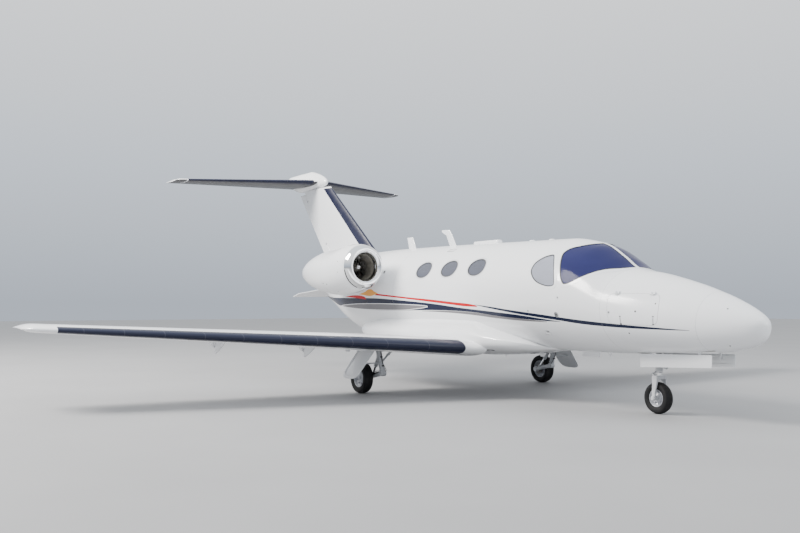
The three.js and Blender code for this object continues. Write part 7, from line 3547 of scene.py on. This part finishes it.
    def plate(self, s: float, z: float, side: int, half_length: float, half_height: float,
              corner: float, out: float, sink: float = 4.0, body: Body = HULL) -> Mesh:
        """A small plate that follows the skin, standing out from it a little.

        Args:
            s: Station of its middle.
            z: Height of its middle.
            side: 1 for port and -1 for starboard.
            half_length: Half its length.
            half_height: Half its height.
            corner: Radius of its corners.
            out: How far it stands out.
            sink: How far it reaches under the skin.
            body: The body that it sits on.

        Returns:
            The plate.
        """
        shape = rounded_rectangle(half_length, half_height, corner, 4)
        rings = [np.array([body.on_skin(s + u, z + v, side, depth) for u, v in shape])
                 for depth in (-sink, out)]
        return softened(loft(rings), min(0.8, out * 0.4), 2, 50)

    def disc(self, s: float, z: float, side: int, radius: float, out: float,
             bore: float = 0.0) -> Mesh:
        """A small disc or ring on the skin.

        Args:
            s: Station of its middle.
            z: Height of its middle.
            side: 1 for port and -1 for starboard.
            radius: Its radius.
            out: How far it stands out.
            bore: Radius of its hole, or zero.

        Returns:
            The disc.
        """
        at, way = HULL.on_skin(s, z, side), HULL.out_of(s, z, side)
        rows = [(-4, bore), (-4, radius), (out * 0.7, radius), (out, radius - 1.5),
                (out, bore)] if bore else [
                    (-4, 0), (-4, radius), (out * 0.7, radius), (out, radius - 1.5), (out, 0)]
        return turned(rows, at, way, 32)

    def build_probes(self) -> None:
        """Pressure probes, static ports, vents and drain masts."""
        metal, dark, white = [], [], []
        for side in (-1, 1):
            at, way = HULL.on_skin(*self.probe, side), HULL.out_of(*self.probe, side)
            ahead = np.array([1.0, 0, 0])
            metal.append(self.plate(*self.probe, side, 34, 13, 12, 1.5))
            metal.append(pipe([at - way * 4, at + way * 34, at + way * 52 + ahead * 20,
                               at + way * 54 + ahead * 120], 6.5, 14, 6))
            metal.append(self.disc(*self.vent, side, 34, 5, 24))
            # Dark discs in the vent, ports, dots and sensor, and the dark plate of the slot, paint
            # the shade inside these holes; the dark rim round the cover and the thin dark plates
            # round the hatch are joints.
            dark.append(self.disc(*self.vent, side, 24.5, 1.5))
            for s, z in self.ports:
                metal.append(self.disc(s, z, side, 14, 1.4, 6.0))
                dark.append(self.disc(s, z, side, 6.2, 0.5))
            for s, z, radius in self.dots:
                dark.append(self.disc(s, z, side, radius, 0.8))
            metal.append(self.disc(*self.sensor, side, 38, 1.6, 11.0))
            dark.append(self.disc(*self.sensor, side, 11.2, 0.7))
            dark.append(self.plate(*self.cover, side, 92, 20, 9, 0.6))
            white.append(self.plate(*self.cover, side, 87, 15, 7, 1.2))
            dark.append(self.plate(*self.slot, side, 70, 9, 8, 1.0, body=FAIRING))
            s, z, half_length, half_height = self.hatch
            for edge in (z - half_height, z + half_height):
                dark.append(self.plate(s, edge, side, half_length, 1.5, 1.4, 0.8, body=FAIRING))
            for edge in (s - half_length, s + half_length):
                dark.append(self.plate(edge, z, side, 1.5, half_height + 1, 1.4, 0.8,
                                       body=FAIRING))
        put("air_probes", smooth_by_angle(merged(*metal), 30), "airframe", (STEEL,))
        # Painted shade of the holes and the slot, with the dark joint lines.
        put("port_holes", smooth_by_angle(merged(*dark), 30), "airframe", (BLACK_TRIM,))
        put("handle_covers", smooth_by_angle(merged(*white), 30), "airframe", (WHITE_PAINT,))
        masts = [side_prism([(s, 604), (s + 46, 604), (s + 84, 548), (s + 66, 546)], y - 4, y + 4)
                 for s, y in self.masts]
        pad = rod((NOSE_X - self.jack_pad[0], 0, self.jack_pad[1]),
                  (NOSE_X - self.jack_pad[0], 0, self.jack_pad[1] + 60), self.jack_pad[2],
                  chamfer=3)
        put("drain_masts", smooth_by_angle(softened(merged(*masts), 1.5), 30), "airframe",
            (WHITE_PAINT,))
        put("nose_jack_pad", smooth_by_angle(pad, 30), "airframe", (STEEL,))

    def build_screws(self) -> None:
        """Screws round the radome's joint, the tail's joint and the windscreens."""
        seats, outs = [], []
        well_top, well_half = self.nose_well
        for station, count in self.screw_rings:
            for k in range(count):
                turn = 2 * math.pi * (k + 0.5) / count
                at = HULL.on_ring(station, turn)
                if at[2] < well_top and abs(at[1]) < well_half:
                    continue
                before, after = HULL.on_ring(station, turn - 0.01), HULL.on_ring(station,
                                                                                 turn + 0.01)
                ahead = HULL.on_ring(station - 5, turn)
                seats.append(at)
                outs.append(unit(np.cross(after - before, ahead - at)))
        for window in all_windows():
            if not window.name.startswith("windshield"):
                continue
            side = window.side.value
            line = np.array(window.outline)
            middle = line.mean(0)
            steps = np.linalg.norm(np.diff(line, axis=0), axis=1).cumsum()
            for place in np.arange(self.screw_edge, steps[-1], self.screw_pitch):
                s, z = line[np.searchsorted(steps, place)]
                out = unit([s - middle[0], z - middle[1]])
                s, z = np.array([s, z]) + out * self.screw_edge
                if HULL.half_at(s, z) > 60:
                    seats.append(HULL.on_skin(s, z, side))
                    outs.append(HULL.out_of(s, z, side))
        put("skin_screws", FASTENERS.scatter(seats, outs, 3.6, 1.4, 10, STEEL), "airframe",
            (STEEL,))


# Floor, light and camera


@dataclass
class Studio:
    """A plain pale floor, soft light and the camera. Lengths are metres."""

    camera_at: tuple[float, float, float] = (12.545, -8.737, 1.357)
    heading: float = 0.5629
    pitch: float = 2.24
    focal: float = 924.785
    image_width: float = 800.0
    sensor: float = 36.0
    floor_half: float = 60.0

    def build(self) -> None:
        """Builds the floor, the lights, the sky and the camera."""
        self.build_floor()
        self.build_light()
        self.build_camera()

    def build_floor(self) -> None:
        """The floor."""
        half = self.floor_half
        mesh = bpy.data.meshes.new("floor")
        mesh.from_pydata([(-half, -half, 0), (half, -half, 0), (half, half, 0), (-half, half, 0)],
                         [], [(0, 1, 2, 3)])
        floor = bpy.data.objects.new("floor", mesh)
        bpy.context.scene.collection.objects.link(floor)
        graph = Graph("floor_grey")
        cloud = graph.noise(0.5, 4.0)
        graph.set(Base_Color=graph.mix(cloud, (0.28, 0.28, 0.285), (0.33, 0.33, 0.335)),
                  Roughness=0.7)
        mesh.materials.append(graph.material)

    def build_light(self) -> None:
        """A soft sky and large soft lamps."""
        world = bpy.data.worlds.new("sky")
        world.use_nodes = True
        bpy.context.scene.world = world
        nodes, links = world.node_tree.nodes, world.node_tree.links
        place = nodes.new("ShaderNodeTexCoord")
        split = nodes.new("ShaderNodeSeparateXYZ")
        ramp = nodes.new("ShaderNodeValToRGB")
        links.new(place.outputs["Generated"], split.inputs[0])
        links.new(split.outputs[2], ramp.inputs[0])
        links.new(ramp.outputs[0], nodes["Background"].inputs["Color"])
        stops = ramp.color_ramp.elements
        stops[0].position, stops[0].color = 0.0, (0.36, 0.40, 0.46, 1)
        stops[1].position, stops[1].color = 0.9, (0.90, 0.95, 1.0, 1)
        stops.new(0.14).color = (0.55, 0.60, 0.67, 1)
        stops.new(0.45).color = (1.0, 1.0, 1.0, 1)
        nodes["Background"].inputs["Strength"].default_value = 1.5
        self.lamp("key", (-7, -15, 15), 8, 9500, (1.0, 0.97, 0.93))
        self.lamp("fill", (14, 6, 10), 12, 1200, (0.94, 0.97, 1.0))

    def lamp(self, name: str, at: Point, size: float, power: float, colour: Colour) -> None:
        """One square lamp that faces the aircraft.

        Args:
            name: The lamp's name.
            at: Its place.
            size: Length of its sides.
            power: Its power, in watts.
            colour: Its colour.
        """
        data = bpy.data.lights.new(name, "AREA")
        data.size, data.energy, data.color = size, power, colour
        lamp = bpy.data.objects.new(name, data)
        bpy.context.scene.collection.objects.link(lamp)
        lamp.location = at
        lamp.rotation_euler = (Vector((0, 0, 1.5)) - Vector(at)).to_track_quat("-Z", "Y").to_euler()

    def build_camera(self) -> None:
        """The camera at the photograph's angle."""
        data = bpy.data.cameras.new("camera")
        data.sensor_width = self.sensor
        data.lens = self.focal / self.image_width * self.sensor
        camera = bpy.data.objects.new("camera", data)
        bpy.context.scene.collection.objects.link(camera)
        camera.location = self.camera_at
        lift = math.radians(self.pitch)
        ahead = Vector((-math.cos(self.heading) * math.cos(lift),
                        math.sin(self.heading) * math.cos(lift), math.sin(lift)))
        camera.rotation_euler = ahead.to_track_quat("-Z", "Y").to_euler()
        bpy.context.scene.camera = camera


def main() -> None:
    """Builds the aircraft round the frame, then the studio."""
    logging.basicConfig(level=logging.INFO, format="%(message)s")
    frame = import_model()
    Studio().build()
    Fuselage(frame).build()
    Wing().build()
    Fin().build()
    Tailplane().build()
    Engine().build()
    MainGear().build()
    NoseGear().build()
    for side in Side:
        name = f"main_wheel_{side.word}"
        Wheel(MAIN_WHEEL, side.value * MAIN_WHEEL.y, name, name).build()
    Wheel(NOSE_WHEEL, 0, "nose_wheel", "nose_wheel", grooves=2).build()
    Fittings().build()
    Cabin().build()


if __name__ == "__main__":
    main()
